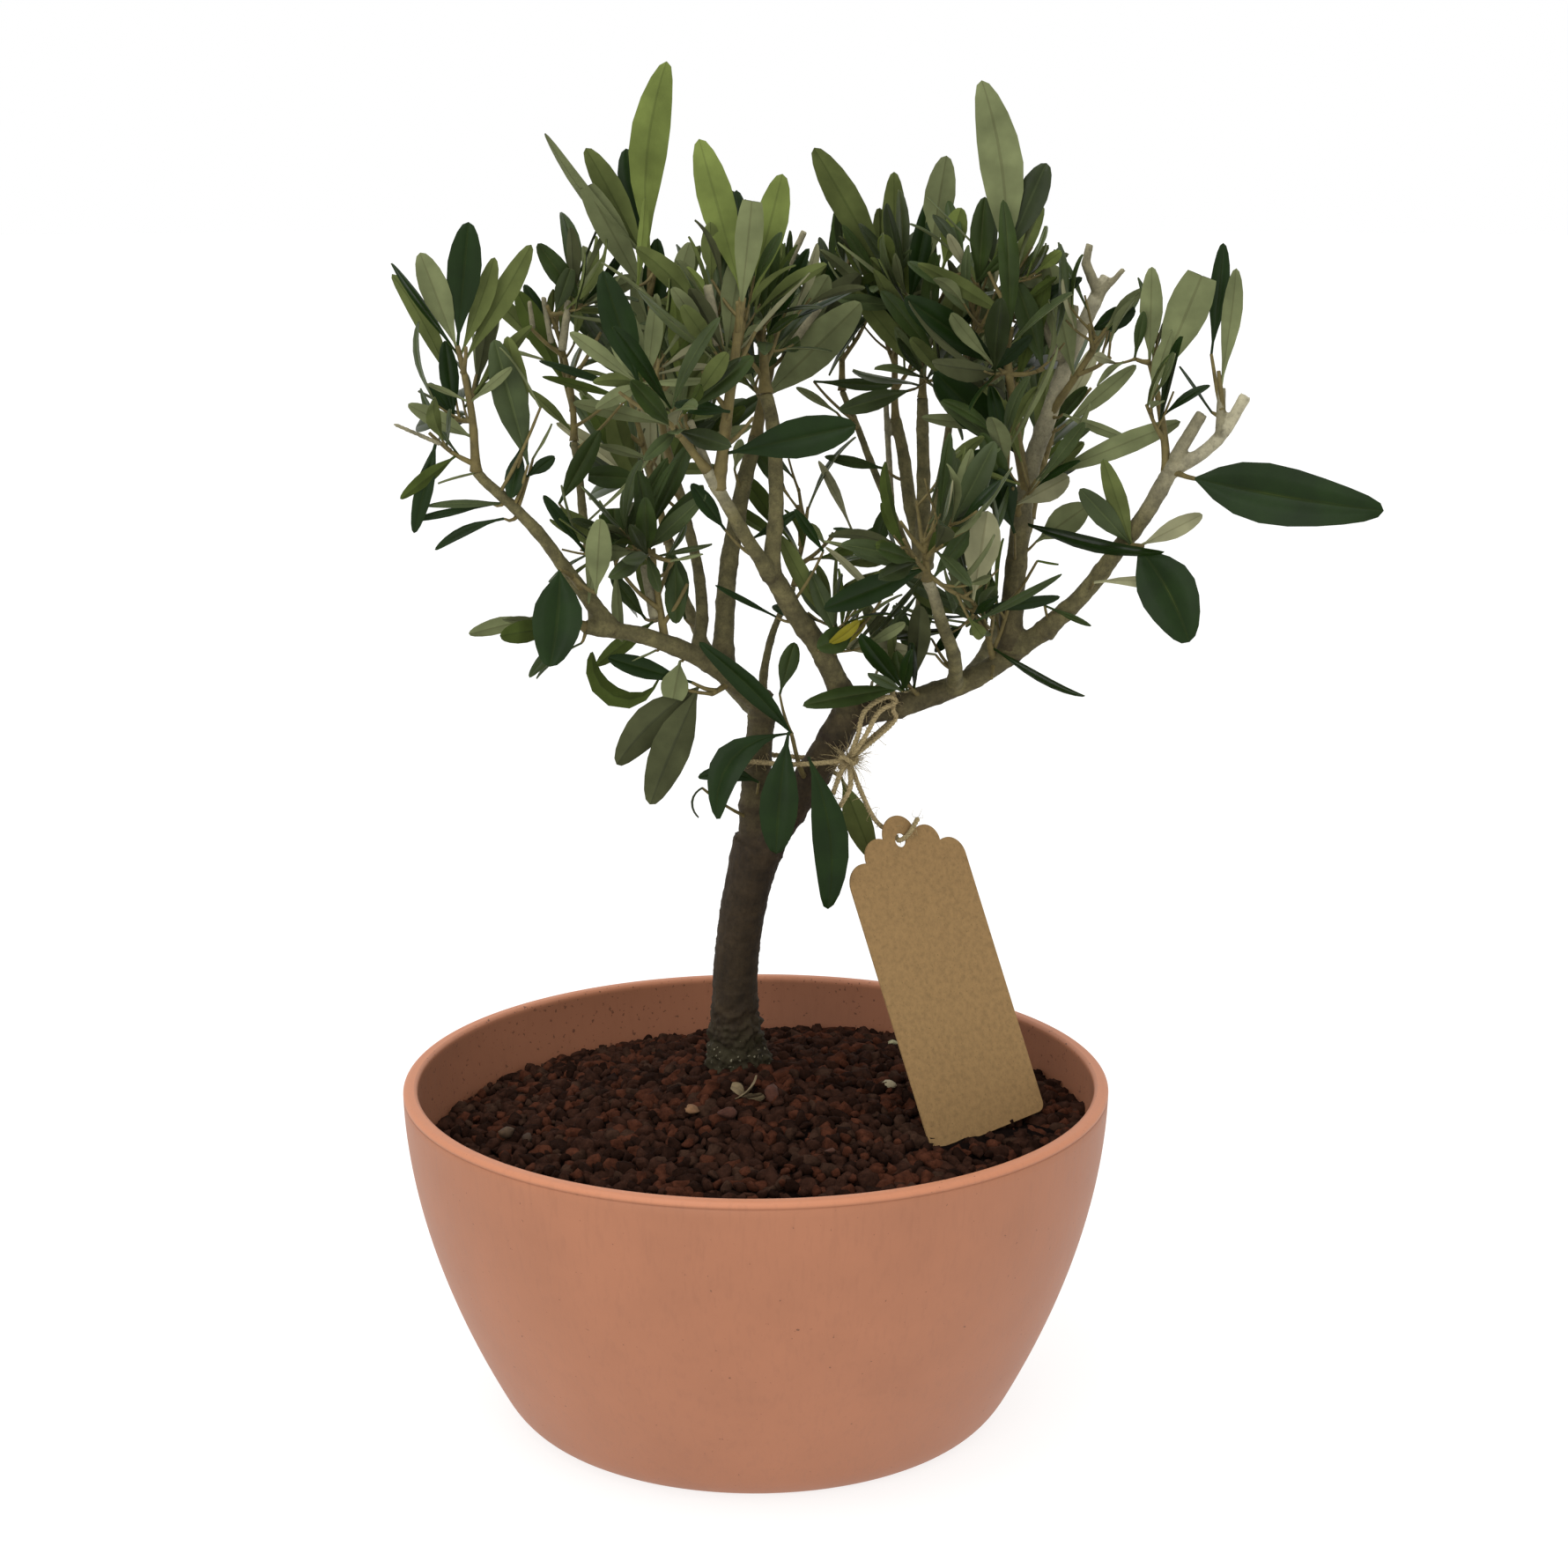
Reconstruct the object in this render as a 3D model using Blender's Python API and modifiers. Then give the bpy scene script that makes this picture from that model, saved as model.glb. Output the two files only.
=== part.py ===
"""An olive bonsai in a round plastic pot, with lava gravel, a kraft tag and a twine tie.

The part is in metres, +Z up, and its origin is the centre of the pot's flat underside.
X runs to the right and Y away from the side that the tag faces. The tables give lengths
in millimetres, and MM turns them into metres when a mesh is made.
"""

import math
import random

import bmesh
import bpy
from mathutils import Matrix, Vector
from mathutils.bvhtree import BVHTree

MM = 0.001
GAP = 0.3
WELD = 0.00001
UP = Vector((0, 0, 1))

# The pot: a turned shell of rigid plastic with a plain rounded rim.
POT_HEIGHT = 100.0
POT_RIM_RADIUS = 103.0
POT_FOOT_RADIUS = 64.0
POT_BELLY_SWELL = 31.4
POT_BELLY_POWER = 1.85
POT_CORNER_HEIGHT = 9.0
POT_WALL = 4.2
POT_FLOOR = 4.0
POT_SIDES = 48
POT_LEVELS = 5
POT_FLOOR_INSET = 16.0

# The gravel: a lumpy mound that leans down to the left, with a level seat under the trunk.
SOIL_EDGE_HEIGHT = 83.0
SOIL_RISE = 17.0
SOIL_POWER = 1.3
SOIL_LEAN = 0.036
SOIL_RINGS = 12
SOIL_LUMP = 0.9
SOIL_LUMP_STEP = 21.0
TRUNK_SEAT_RADIUS = 12.0
TRUNK_SEAT_HEIGHT = 97.5

# The tag: a scalloped card with one round hole, standing on its lower edge.
TAG_WIDTH = 45.0
TAG_THICKNESS = 0.6
TAG_CORNER = 2.5
TAG_LOBES = ((16.4, 78.5, 6.1), (9.0, 84.8, 5.4), (0.0, 89.0, 6.0))
TAG_HOLE = (0.0, 87.8, 2.1)
TAG_FOOT = Vector((67.4, -20.0, 89.8))
TAG_TURN = (39.1, -21.8, -4.5)

# The twine: a knot in front of the right stem, with loops round both stems and the tag.
TWINE_RADIUS = 0.5
KNOT_RADIUS = 1.9
KNOT_PLACE = Vector((26.5, -9.0, 197.0))

# Limbs: host, place along the host, reach, bow at mid length, foot radius, tip radius.
LIMBS = {
    "left_stem": ("trunk", 0.96, (2, -7, 46), (-1, 0, 0), 4.4, 3.8),
    "right_stem": ("trunk", 0.95, (28, -10, 46), (1, 0, -1), 5.3, 4.6),
    "left_bough": ("left_stem", 0.98, (-49, -20, 26), (2, 0, 4.5), 3.2, 2.1),
    "left_outer_bough": ("left_bough", 0.87, (-35.5, -14, 46.5), (1, 0, 1), 2.3, 1.4),
    "left_inner_bough": ("left_bough", 0.95, (-7, 25, 49), (0, 5, -2), 1.6, 1.1),
    "left_back_bough": ("left_bough", 0.42, (-8, 31, 49), (4, 0, -3), 2.0, 1.3),
    "left_upright": ("left_bough", 0.26, (9, 33, 63), (-2.5, 2, 0), 3.0, 2.2),
    "thin_bough": ("left_stem", 0.98, (9, 23, 30), (-3, 2, -1), 1.4, 0.9),
    "cross_bough": ("right_stem", 0.97, (-23.5, -24, 44), (1, -1, 0), 3.4, 2.7),
    "cross_upright": ("cross_bough", 0.97, (-1.5, 8, 49), (2, 0, 0), 2.3, 1.9),
    "cross_front_bough": ("cross_bough", 0.97, (-17, -15, 31), (0, -2, 0), 2.1, 1.7),
    "right_bough": ("right_stem", 0.96, (56, 4, 23), (0, 3, -6), 3.8, 2.8),
    "right_outer_bough": ("right_bough", 0.98, (34, -14, 50), (2, 0, -2), 2.6, 2.3),
    "right_tip_fork": ("right_outer_bough", 0.97, (19, -7, 21), (1.5, 0, -3), 2.0, 1.6),
    "tall_bough": ("right_bough", 0.8, (26.5, 16, 105.5), (-7.5, 2, 0), 3.4, 2.0),
    "back_bough": ("right_stem", 0.97, (22, 38, 36), (5, 2, -7), 2.1, 1.8),
    "back_first_upright": ("back_bough", 0.96, (-8, 13, 43), (0, 0, 0), 2.4, 1.7),
    "back_second_upright": ("back_bough", 0.98, (-1, -2, 50), (0, 1, 0), 2.4, 1.7),
    "back_third_upright": ("back_bough", 0.9, (7, -11, 49), (0, 0, 0), 1.6, 1.1),
    "back_far_upright": ("back_bough", 0.86, (-23, 32, 55), (2, 2, -4), 1.5, 1.0),
    "front_bough": ("right_bough", 0.5, (-9.5, -31, 36), (2.5, -4, -2), 2.2, 1.6),
    "rear_left_bough": ("left_stem", 0.9, (-28, 50, 42), (-3, 4, -6), 2.2, 1.4),
    "rear_right_bough": ("right_bough", 0.55, (22, 48, 40), (2, 6, -6), 2.0, 1.3),
}

# The trunk: foot, reach and bow of its centre line, then the radii that shape it.
TRUNK_FOOT = Vector((-5.4, 18.0, TRUNK_SEAT_HEIGHT + GAP))
TRUNK_REACH = Vector((6.4, -10.0, 71.2))
TRUNK_BOW = Vector((-3.5, 0.0, 0.0))
TRUNK_RADIUS = 6.5
TRUNK_FLARE = 3.4
TRUNK_FLARE_HEIGHT = 9.0
TRUNK_FORK_SWELL = 1.2

# Masses of foliage. Each grows from one stem on its host, by the rule in grow_twigs and
# grow_leaves: host, place along it, reach, bow, stem radius, twigs, twig length, leaves,
# leaf length, room round the stem, and extra twigs as (place along the stem, reach).
MASSES = {
    "top_left_spray": ("left_back_bough", 1.0, (-5, -14, 61), (-2, 0, 0), 1.2, 5, 20, 8, 38, 40, ()),
    "left_tip_spray": ("left_outer_bough", 1.0, (-4, -3, 34), (1, 0, 0), 1.3, 3, 13, 5, 29, 32,
                       ((0.05, (-12, -3, 9)),)),
    "left_inner_spray": ("left_inner_bough", 1.0, (-7, 0, 38), (2, 2, 0), 1.0, 4, 18, 8, 34, 32, ()),
    "left_low_spray": ("left_bough", 1.0, (-13, -6, 4), (0, 0, 1), 1.2, 0, 12, 1, 25, 24,
                       ((0.3, (-3, -3, -5)),)),
    "left_front_spray": ("left_outer_bough", 0.25, (-5, -15, 8), (0, 0, 1), 1.0, 0, 10, 0, 28, 26,
                         ((0.5, (7, -4, -4)),)),
    "front_left_spray": ("cross_front_bough", 1.0, (-18, -6, 24), (0, -1, 0), 1.2, 4, 16, 8, 34, 32, ()),
    "centre_spray": ("cross_front_bough", 0.85, (7, -4, 51), (0, -2, 0), 1.8, 4, 15, 7, 34, 32,
                     ((0.6, (-5, 8, 12)), (0.62, (4, 8, 16)))),
    "cross_top_spray": ("cross_upright", 1.0, (-1, 4, 17), (0, 0, 0), 1.6, 4, 16, 9, 34, 32, ()),
    "centre_back_spray": ("left_upright", 1.0, (11, 6, 45), (-1, 1, 0), 1.6, 4, 19, 8, 36, 36, ()),
    "left_hanging_spray": ("left_bough", 0.2, (-6, -6, -3), (0, 0, 0), 1.2, 0, 10, 0, 28, 34,
                           ((0.8, (-7, -2, 3)),)),
    "left_middle_spray": ("left_bough", 0.6, (-4, 4, 26), (0, 0, 0), 1.2, 5, 17, 8, 33, 32, ()),
    "fork_spray": ("right_stem", 0.5, (-5, -16, 18), (0, -1, -2), 1.0, 0, 8, 0, 30, 40, ()),
    "stem_side_spray": ("right_stem", 0.6, (7, 7, -5), (1, 1, 0), 0.9, 0, 8, 0, 24, 30, ()),
    "far_back_spray": ("back_far_upright", 1.0, (-1, 0, 40), (0, 3, 0), 1.0, 4, 19, 8, 36, 34, ()),
    "middle_spray": ("back_first_upright", 1.0, (-1, -3, 39), (0, 0, 0), 1.1, 4, 17, 8, 36, 32, ()),
    "middle_right_spray": ("back_second_upright", 1.0, (1, -3, 37), (0, 0, 0), 1.1, 4, 17, 8, 36, 32, ()),
    "inner_right_spray": ("back_third_upright", 1.0, (8, -9, 36), (0, 0, 0), 1.0, 4, 17, 8, 34, 30,
                          ((0.2, (14, -6, 8)),)),
    "tall_left_spray": ("tall_bough", 0.42, (-8, -12, 66), (-2, -2, 0), 1.6, 4, 17, 8, 36, 34, ()),
    "tall_low_spray": ("tall_bough", 0.34, (-5, -9, 14), (0, 0, 0), 1.2, 3, 14, 5, 32, 34,
                       ((0.3, (5, -5, 9)),)),
    "tall_tip_spray": ("tall_bough", 0.6, (16, -7, 27), (0, 0, 0), 1.3, 3, 12, 5, 24, 28, ()),
    "right_tip_spray": ("right_outer_bough", 0.93, (-6, -3, 32), (1, 0, 0), 1.3, 2, 14, 4, 28, 28, ()),
    "right_edge_spray": ("right_tip_fork", 0.55, (-1, -2, 18), (1, 0, 0), 1.0, 0, 10, 0, 26, 26,
                         ((0.4, (-3, 3, 15)),)),
    "right_far_spray": ("right_outer_bough", 0.96, (6, -8, -1), (0, 0, 0), 1.0, 0, 8, 0, 26, 60, ()),
    "right_low_spray": ("right_outer_bough", 0.55, (5, -7, 1), (0, 0, 0), 1.1, 0, 12, 0, 26, 34,
                        ((0.4, (-3, -1, 6)),)),
    "right_inner_spray": ("right_bough", 0.71, (-4, -6, 16), (0, -1, 0), 1.1, 3, 15, 7, 32, 28,
                          ((0.1, (-1, -7, -4)),)),
    "front_spray": ("front_bough", 1.0, (-1, -4, 12), (0, 0, 0), 1.2, 5, 18, 8, 32, 34,
                    ((0.15, (13, 2, -8)),)),
    "right_foot_spray": ("right_bough", 0.34, (-5, -8, 6), (0, 0, 0), 0.9, 0, 11, 1, 26, 40, ()),
    "cross_low_spray": ("cross_bough", 0.35, (8, -5, 10), (0, 0, 0), 0.9, 1, 12, 3, 28, 26, ()),
    "thin_bough_spray": ("thin_bough", 1.0, (4, 8, 22), (0, 0, 0), 0.8, 3, 17, 7, 33, 30, ()),
    "rear_left_spray": ("rear_left_bough", 1.0, (-12, 14, 42), (0, 3, 0), 1.3, 5, 26, 13, 38, 46, ()),
    "rear_right_spray": ("rear_right_bough", 1.0, (12, 8, 42), (0, 3, 0), 1.2, 5, 24, 13, 38, 44, ()),
}

# Leaves that the eye knows the tree by: foot, tip, width, and the turn of the blade about
# its own axis, from 0, upper face to the front, to 180, underside to the front. A third
# number above zero is the share of its length at which the blade was clipped.
MARKED_LEAVES = {
    "top_left_spray": (
        ((-32, 10, 346), (-24, 6, 390), 10.9, 170, 0), ((-35, 8, 341), (-55, -6, 373), 6.8, 130, 0),
        ((-34, 14, 344), (-36, 20, 366), 8.6, 0, 0), ((-41, 12, 334), (-46, 10, 367), 7.8, 160, 0),
        ((-45, 4, 322), (-46, 0, 357), 7.8, 175, 0.93), ((-17, 16, 315), (-27, 10, 342), 7.4, -20, 0),
    ),
    "centre_spray": (
        ((-9, -34, 338), (-14, -30, 370), 9.3, 175, 0), ((-1, -34, 337), (8, -30, 361), 8.9, 170, 0),
        ((-4, -31, 338), (-4, -24, 357), 6.1, 30, 0), ((-5, -42, 325), (0, -46, 355), 7.4, 170, 0.88),
        ((-9, -41, 288), (27, -50, 297), 10.7, 0, 0),
    ),
    "centre_back_spray": (
        ((1, 26, 296), (30, 14, 324), 11.5, 170, 0), ((0, 31, 307), (22, 24, 331), 9.6, 160, 0),
        ((5, 32, 320), (10, 30, 343), 5.0, 60, 0),
    ),
    "front_left_spray": (
        ((-32, -47, 306), (-39, -50, 337), 8.8, 0, 0), ((-9, -45, 304), (-32, -52, 309), 5.6, 20, 0),
    ),
    "left_tip_spray": (
        ((-80, -33, 314), (-88, -36, 341), 8.0, 165, 0), ((-78, -33, 316), (-75, -36, 349), 8.9, 0, 0),
        ((-74, -33, 314), (-68, -30, 339), 6.5, 150, 0), ((-73, -32, 312), (-59, -26, 342), 6.5, 170, 0),
        ((-80, -33, 313), (-96, -36, 338), 5.0, 70, 0), ((-77, -32, 291), (-92, -38, 301), 5.7, 160, 0),
        ((-80, -33, 286), (-95, -38, 276), 4.6, 150, 0), ((-86, -34, 290), (-92, -35, 266), 4.8, 0, 0),
    ),
    "left_low_spray": (
        ((-60, -25, 242), (-78, -32, 238), 5.2, 160, 0), ((-53, -22, 237), (-62, -28, 225), 4.6, 50, 0),
    ),
    "left_front_spray": (
        ((-54, -37, 262), (-55, -44, 231), 13.2, 0, 0), ((-46, -38, 249), (-41, -42, 271), 7.1, 175, 0),
    ),
    "left_hanging_spray": (
        ((-15, -9, 219), (-39, -14, 197), 10.4, 175, 0),
        ((-16, -11, 217), (-30, -20, 187), 11.4, 165, 0.94),
        ((-22, -11, 221), (-41, -16, 228), 5.9, 20, 0),
    ),
    "fork_spray": (
        ((10, -13, 207), (-16, -16, 231), 6.9, -20, 0), ((12, -13, 207), (-11, -20, 183), 9.4, 20, 0),
        ((12, -15, 206), (6, -22, 173), 10.6, 0, 0), ((15, -13, 202), (21, -20, 156), 10.0, -10, 0),
    ),
    "stem_side_spray": (((29, 10, 187), (34, 12, 163), 7.7, 170, 0),),
    "middle_spray": (
        ((39, 46, 328), (17, 40, 366), 9.7, 165, 0), ((40, 46, 329), (40, 44, 359), 7.1, 175, 0),
    ),
    "middle_right_spray": (((48, 31, 334), (54, 26, 364), 8.5, 170, 0),),
    "inner_right_spray": (
        ((71, 10, 302), (42, 2, 326), 9.3, 0, 0),
    ),
    "tall_left_spray": (
        ((71, 3, 336), (62, 0, 385), 11.6, 175, 0), ((72, 4, 337), (80, 2, 363), 8.7, -20, 0),
        ((78, 7, 281), (50, 2, 306), 10.9, 0, 0),
    ),
    "tall_low_spray": (
        ((77, 3, 256), (112, -19, 257), 6.4, 40, 0), ((79, 2, 276), (118, -6, 293), 6.4, 150, 0),
        ((73, 3, 264), (88, -3, 277), 7.4, 170, 0),
    ),
    "right_tip_spray": (
        ((107, -15, 312), (108, -16, 336), 6.2, 160, 0),
        ((111, -15, 303), (121, -20, 334), 11.0, 175, 0.86),
    ),
    "right_edge_spray": (
        ((127, -16, 303), (131, -20, 336), 5.6, 150, 0), ((124, -14, 317), (128, -12, 342), 5.6, 20, 0),
    ),
    "right_far_spray": (((120, -20, 282), (170, -34, 272), 16.0, -5, 0),),
    "right_low_spray": (
        ((103, -12, 262), (120, -22, 234), 15.6, 5, 0), ((102, -10, 263), (90, -14, 275), 6.4, 0, 0),
        ((100, -11, 265), (96, -15, 284), 5.6, 170, 0), ((106, -11, 261), (124, -14, 268), 5.4, 160, 0),
    ),
    "right_inner_spray": (((70, -4, 226), (91, -14, 215), 5.0, 50, 0),),
    "front_spray": (
        ((44, -32, 254), (19, -44, 247), 7.6, 0, 0), ((60, -27, 241), (63, -36, 272), 9.6, 175, 0),
    ),
    "right_foot_spray": (((50, -5, 220), (14, -20, 216), 6.2, 40, 0),),
    "cross_low_spray": (((31, -18, 236), (18, -26, 233), 7.3, 10, 0),),
}

# More leaves that show from the front, each grown from the nearest mass: foot, tip, width,
# turn of the blade and clipped share.
SEEN_LEAVES = (
    ((-61, -30, 284), (-69, -34, 318), 9.0, 10, 0), ((-62, -28, 289), (-65, -31, 319), 6.6, 160, 0),
    ((-57, -34, 300), (-66, -36, 317), 3.5, 100, 0), ((-81, -28, 296), (-83, -26, 317), 5.2, 20, 0),
    ((-82, -30, 296), (-87, -30, 306), 3.3, 20, 0), ((-76, -33, 301), (-87, -38, 307), 2.1, 150, 0),
    ((-75, -33, 301), (-64, -38, 311), 3.1, 150, 0),
    ((-74, -32, 282), (-85, -36, 280), 1.9, 120, 0), ((-66, -29, 273), (-88, -34, 274), 2.4, 30, 0),
    ((-71, -28, 273), (-93, -30, 269), 2.2, 20, 0), ((-63, -26, 289), (-66, -30, 275), 5.3, 10, 0),
    ((-62, -26, 280), (-54, -30, 286), 3.8, 10, 0), ((-60, -26, 285), (-54, -30, 295), 2.1, 120, 0),
    ((-48, 8, 324), (-60, 4, 341), 6.1, 0, 0), ((-56, 8, 322), (-51, 4, 334), 4.9, 10, 0.92),
    ((-37, 4, 301), (-60, 2, 309), 2.5, 30, 0), ((-36, 4, 298), (-59, 0, 305), 3.2, 150, 0),
    ((-53, 8, 288), (-63, 4, 301), 3.5, 150, 0), ((-24, 10, 290), (-51, 6, 297), 5.0, 160, 0),
    ((-55, 0, 269), (-43, -6, 290), 5.9, 10, 0), ((-29, 10, 280), (-44, 6, 285), 3.5, 150, 0),
    ((-30, 12, 274), (-47, 8, 276), 6.5, 10, 0.95), ((-46, 0, 264), (-27, -6, 283), 2.2, 120, 0),
    ((-39, -10, 257), (-24, -14, 284), 4.4, 20, 0), ((-30, -12, 258), (-14, -16, 276), 5.4, 10, 0),
    ((-47, -16, 258), (-58, -18, 274), 3.4, 10, 0), ((-39, -8, 253), (-39, -10, 269), 9.3, 10, 0.9),
    ((-46, -20, 244), (-42, -30, 269), 5.3, 160, 0),
    ((-32, -47, 307), (-48, -44, 321), 4.6, 165, 0),
    ((-28, -40, 308), (-25, -44, 331), 5.8, 150, 0),
    ((-10, -42, 313), (-38, -44, 341), 2.6, 120, 0),
    ((-32, -47, 307), (-10, -52, 309), 2.8, 130, 0), ((-6, -45, 300), (-21, -44, 302), 4.2, 20, 0),
    ((-11, -36, 334), (-11, -36, 349), 5.6, 170, 0), ((-32, -6, 330), (-29, -8, 354), 3.1, 160, 0),
    ((-22, 10, 328), (-18, 8, 341), 6.9, 150, 0), ((37, 44, 325), (25, 40, 344), 3.8, 20, 0),
    ((39, 44, 317), (19, 40, 338), 4.3, 150, 0), ((50, 30, 300), (28, 26, 327), 6.6, 165, 0),
    ((49, 32, 305), (32, 30, 328), 3.5, 20, 0), ((44, 32, 322), (50, 28, 352), 6.0, 10, 0),
    ((53, 20, 333), (58, 18, 350), 6.9, 170, 0), ((71, 6, 331), (48, 14, 353), 1.5, 100, 0),
    ((72, 6, 320), (45, 0, 337), 5.4, 160, 0), ((71, -2, 285), (85, -8, 313), 3.4, 120, 0),
    ((87, 10, 293), (106, 4, 286), 3.5, 150, 0), ((88, 12, 290), (107, 8, 307), 5.0, 160, 0),
    ((74, -4, 275), (60, -8, 280), 2.5, 140, 0), ((73, -2, 261), (66, -4, 280), 9.4, 10, 0),
    ((80, 8, 257), (94, 4, 268), 8.5, 170, 0), ((62, -10, 241), (85, -14, 244), 3.9, 20, 0),
    ((59, -16, 237), (85, -20, 252), 3.2, 30, 0), ((82, 0, 240), (95, -4, 235), 2.2, 30, 0),
    ((51, -6, 227), (23, -12, 232), 5.5, 160, 0), ((50, -4, 231), (30, -10, 239), 4.2, 160, 0),
    ((20, -10, 229), (31, -16, 239), 4.2, 10, 0), ((35, -20, 245), (20, -26, 262), 2.9, 150, 0),
    ((40, -22, 257), (19, -24, 262), 2.4, 140, 0), ((45, -28, 254), (27, -30, 260), 3.4, 20, 0),
    ((49, -30, 252), (60, -34, 269), 5.3, 20, 0), ((34, 30, 250), (39, 30, 264), 5.6, 20, 0),
    ((28, 38, 256), (19, 36, 277), 3.4, 150, 0), ((38, 44, 273), (20, 40, 277), 3.4, 20, 0),
    ((24, 56, 288), (12, 56, 296), 2.9, 150, 0), ((17, 50, 298), (40, 46, 297), 3.9, 20, 0),
    ((54, 14, 279), (68, 10, 283), 3.0, 20, 0), ((56, 14, 267), (69, 10, 281), 5.0, 165, 0),
    ((-1, -20, 262), (12, -24, 270), 3.4, 20, 0), ((19, -22, 259), (11, -24, 271), 3.1, 20, 0),
    ((19, -14, 239), (7, -18, 263), 5.4, 165, 0), ((-6, 20, 276), (-4, 18, 285), 3.5, 160, 0),
    ((-8, -22, 265), (-17, -24, 278), 4.8, 20, 0), ((-20, 6, 235), (-24, 2, 254), 7.0, 10, 0),
    ((-31, 0, 236), (-40, -4, 249), 4.5, 20, 0), ((6, -18, 240), (-11, -14, 248), 2.2, 50, 0),
    ((-23, -20, 256), (-14, -26, 259), 1.7, 120, 0), ((7, -8, 216), (11, -8, 231), 6.0, 20, 0),
    ((-28, -10, 229), (-35, -14, 226), 2.0, 120, 0),
    ((-21, -10, 226), (-23, -14, 216), 7.9, 165, 0.85),
    ((126, -12, 296), (116, -16, 309), 2.4, 60, 0), ((104, -14, 311), (106, -16, 324), 3.4, 20, 0),
    ((94, 12, 316), (106, 6, 323), 6.7, 20, 0), ((89, 14, 304), (82, 10, 336), 8.4, 165, 0),
    ((81, 6, 306), (73, 2, 331), 7.1, 15, 0), ((74, 6, 331), (79, 2, 342), 2.4, 60, 0),
    ((62, 8, 330), (71, 4, 339), 3.4, 20, 0), ((65, 4, 305), (77, 0, 316), 4.2, 20, 0),
)
PETIOLE_REACH = 3.0
SEEN_REACH = 11.0

# Limbs that the foliage leaves open to the front, and how far from their sides.
SHOWN_LIMBS = ("left_bough", "left_outer_bough", "left_upright", "cross_bough", "cross_front_bough",
               "cross_upright", "right_bough", "right_outer_bough", "right_tip_fork", "tall_bough",
               "front_bough", "back_first_upright", "back_second_upright")
SHOWN_MARGIN = 2.5

# Where sky shows from the front, as upright ovals on the plane through the pot's centre:
# centre X, centre Z, half width, half height. The growing rule leaves these open.
FRONT_EYE = Vector((8.2, -863.1, 394.6))
OPEN_SKY = (
    (12, 274, 6, 8), (13, 295, 8, 5), (30, 272, 5, 11), (-5, 244, 3, 14), (-20, 245, 5, 4),
    (15, 214, 6, 9), (88, 254, 12, 8), (98, 280, 6, 12), (104, 312, 5, 9), (121, 316, 4, 13),
    (-53, 314, 4, 4), (-112, 300, 18, 44), (-64, 362, 12, 15), (-22, 362, 4, 14), (12, 362, 6, 16),
    (32, 365, 8, 14), (58, 365, 3, 13), (77, 374, 5, 12), (94, 357, 11, 12), (118, 350, 9, 12),
    (152, 308, 20, 26), (150, 242, 24, 18), (110, 225, 15, 14), (75, 204, 40, 11),
    (-75, 250, 14, 5), (-86, 220, 22, 12), (-56, 206, 15, 15), (-12, 206, 6, 5),
    (-21, 350, 5, 9), (14, 354, 8, 13), (100, 345, 15, 9), (117, 338, 8, 8), (126, 334, 5, 8),
    (132, 322, 4, 10), (-92, 278, 8, 6), (-93, 262, 12, 9), (-75, 241, 12, 4), (-60, 284, 5, 6),
    (-60, 305, 4, 7), (35, 317, 4, 7), (104, 298, 6, 6), (24, 272, 6, 8), (-73, 343, 8, 10),
    (-60, 347, 7, 8), (-88, 306, 3, 6), (19, 318, 3, 5),
)

# The growing rule, shared by every mass.
SEED = 11
TWIG_TURN = math.radians(137.5)
TWIG_TILT = (40, 58)
TWIG_LIFT = 0.35
TWIG_FOOT_RADIUS = 0.75
TWIG_TIP_RADIUS = 0.45
PAIR_STEP = 10.0
LEAF_TILT = (30, 50)
LEAF_LIFT = 0.25
LEAF_SLENDERNESS = (0.22, 0.28)
LEAF_THICKNESS = 0.55
LEAF_ROOT = 0.14
LEAF_TRIES = 6

# The olive leaf: the shares of its length between which the blade has its full width, and
# the places on a blade, as share of length and side, that keep clear of the open sky.
LEAF_SHOULDERS = (0.3, 0.7)
SKY_SPOTS = ((0.35, 0), (0.55, -0.8), (0.55, 0.8), (0.8, -0.8), (0.8, 0.8), (1.0, 0))


def leaf_outline(along):
    """Half width of an olive blade as a share of its greatest, at a share of its length."""
    return max(0.0, math.sin(math.pi * min(along, 1.0) ** 0.9)) ** 0.5


def start_scene():
    """An empty scene with one collection for the tree and one for cutters."""
    for obj in list(bpy.data.objects):
        bpy.data.objects.remove(obj, do_unlink=True)
    scene = bpy.context.scene
    collections = []
    for name in ("olive_bonsai", "cutters"):
        collection = bpy.data.collections.new(name)
        scene.collection.children.link(collection)
        collections.append(collection)
    collections[1].hide_render = True
    return collections


def plain_material(name, colour, roughness):
    material = bpy.data.materials.new(name)
    material.use_nodes = True
    shader = material.node_tree.nodes["Principled BSDF"]
    shader.inputs["Base Color"].default_value = (*colour, 1.0)
    shader.inputs["Roughness"].default_value = roughness
    shader.inputs["Metallic"].default_value = 0.0
    return material


def seen_from_front(point):
    """Where a point falls on the plane through the pot's centre, seen from the front."""
    share = FRONT_EYE.y / (FRONT_EYE.y - point.y)
    return (FRONT_EYE.x + (point.x - FRONT_EYE.x) * share,
            FRONT_EYE.z + (point.z - FRONT_EYE.z) * share)


def sky_behind(point):
    """Whether a point, as seen from the front, lies in one of the open ovals."""
    x, z = seen_from_front(point)
    return any(((x - cx) / half_width) ** 2 + ((z - cz) / half_height) ** 2 < 1
               for cx, cz, half_width, half_height in OPEN_SKY)


def bowed_line(start, reach, bow, count):
    """Points from start along reach, pushed aside by bow at mid length."""
    reach = Vector(reach)
    bow = Vector(bow)
    line = []
    for i in range(count + 1):
        t = i / count
        line.append(start + reach * t + bow * (4 * t * (1 - t)))
    return line


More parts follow.
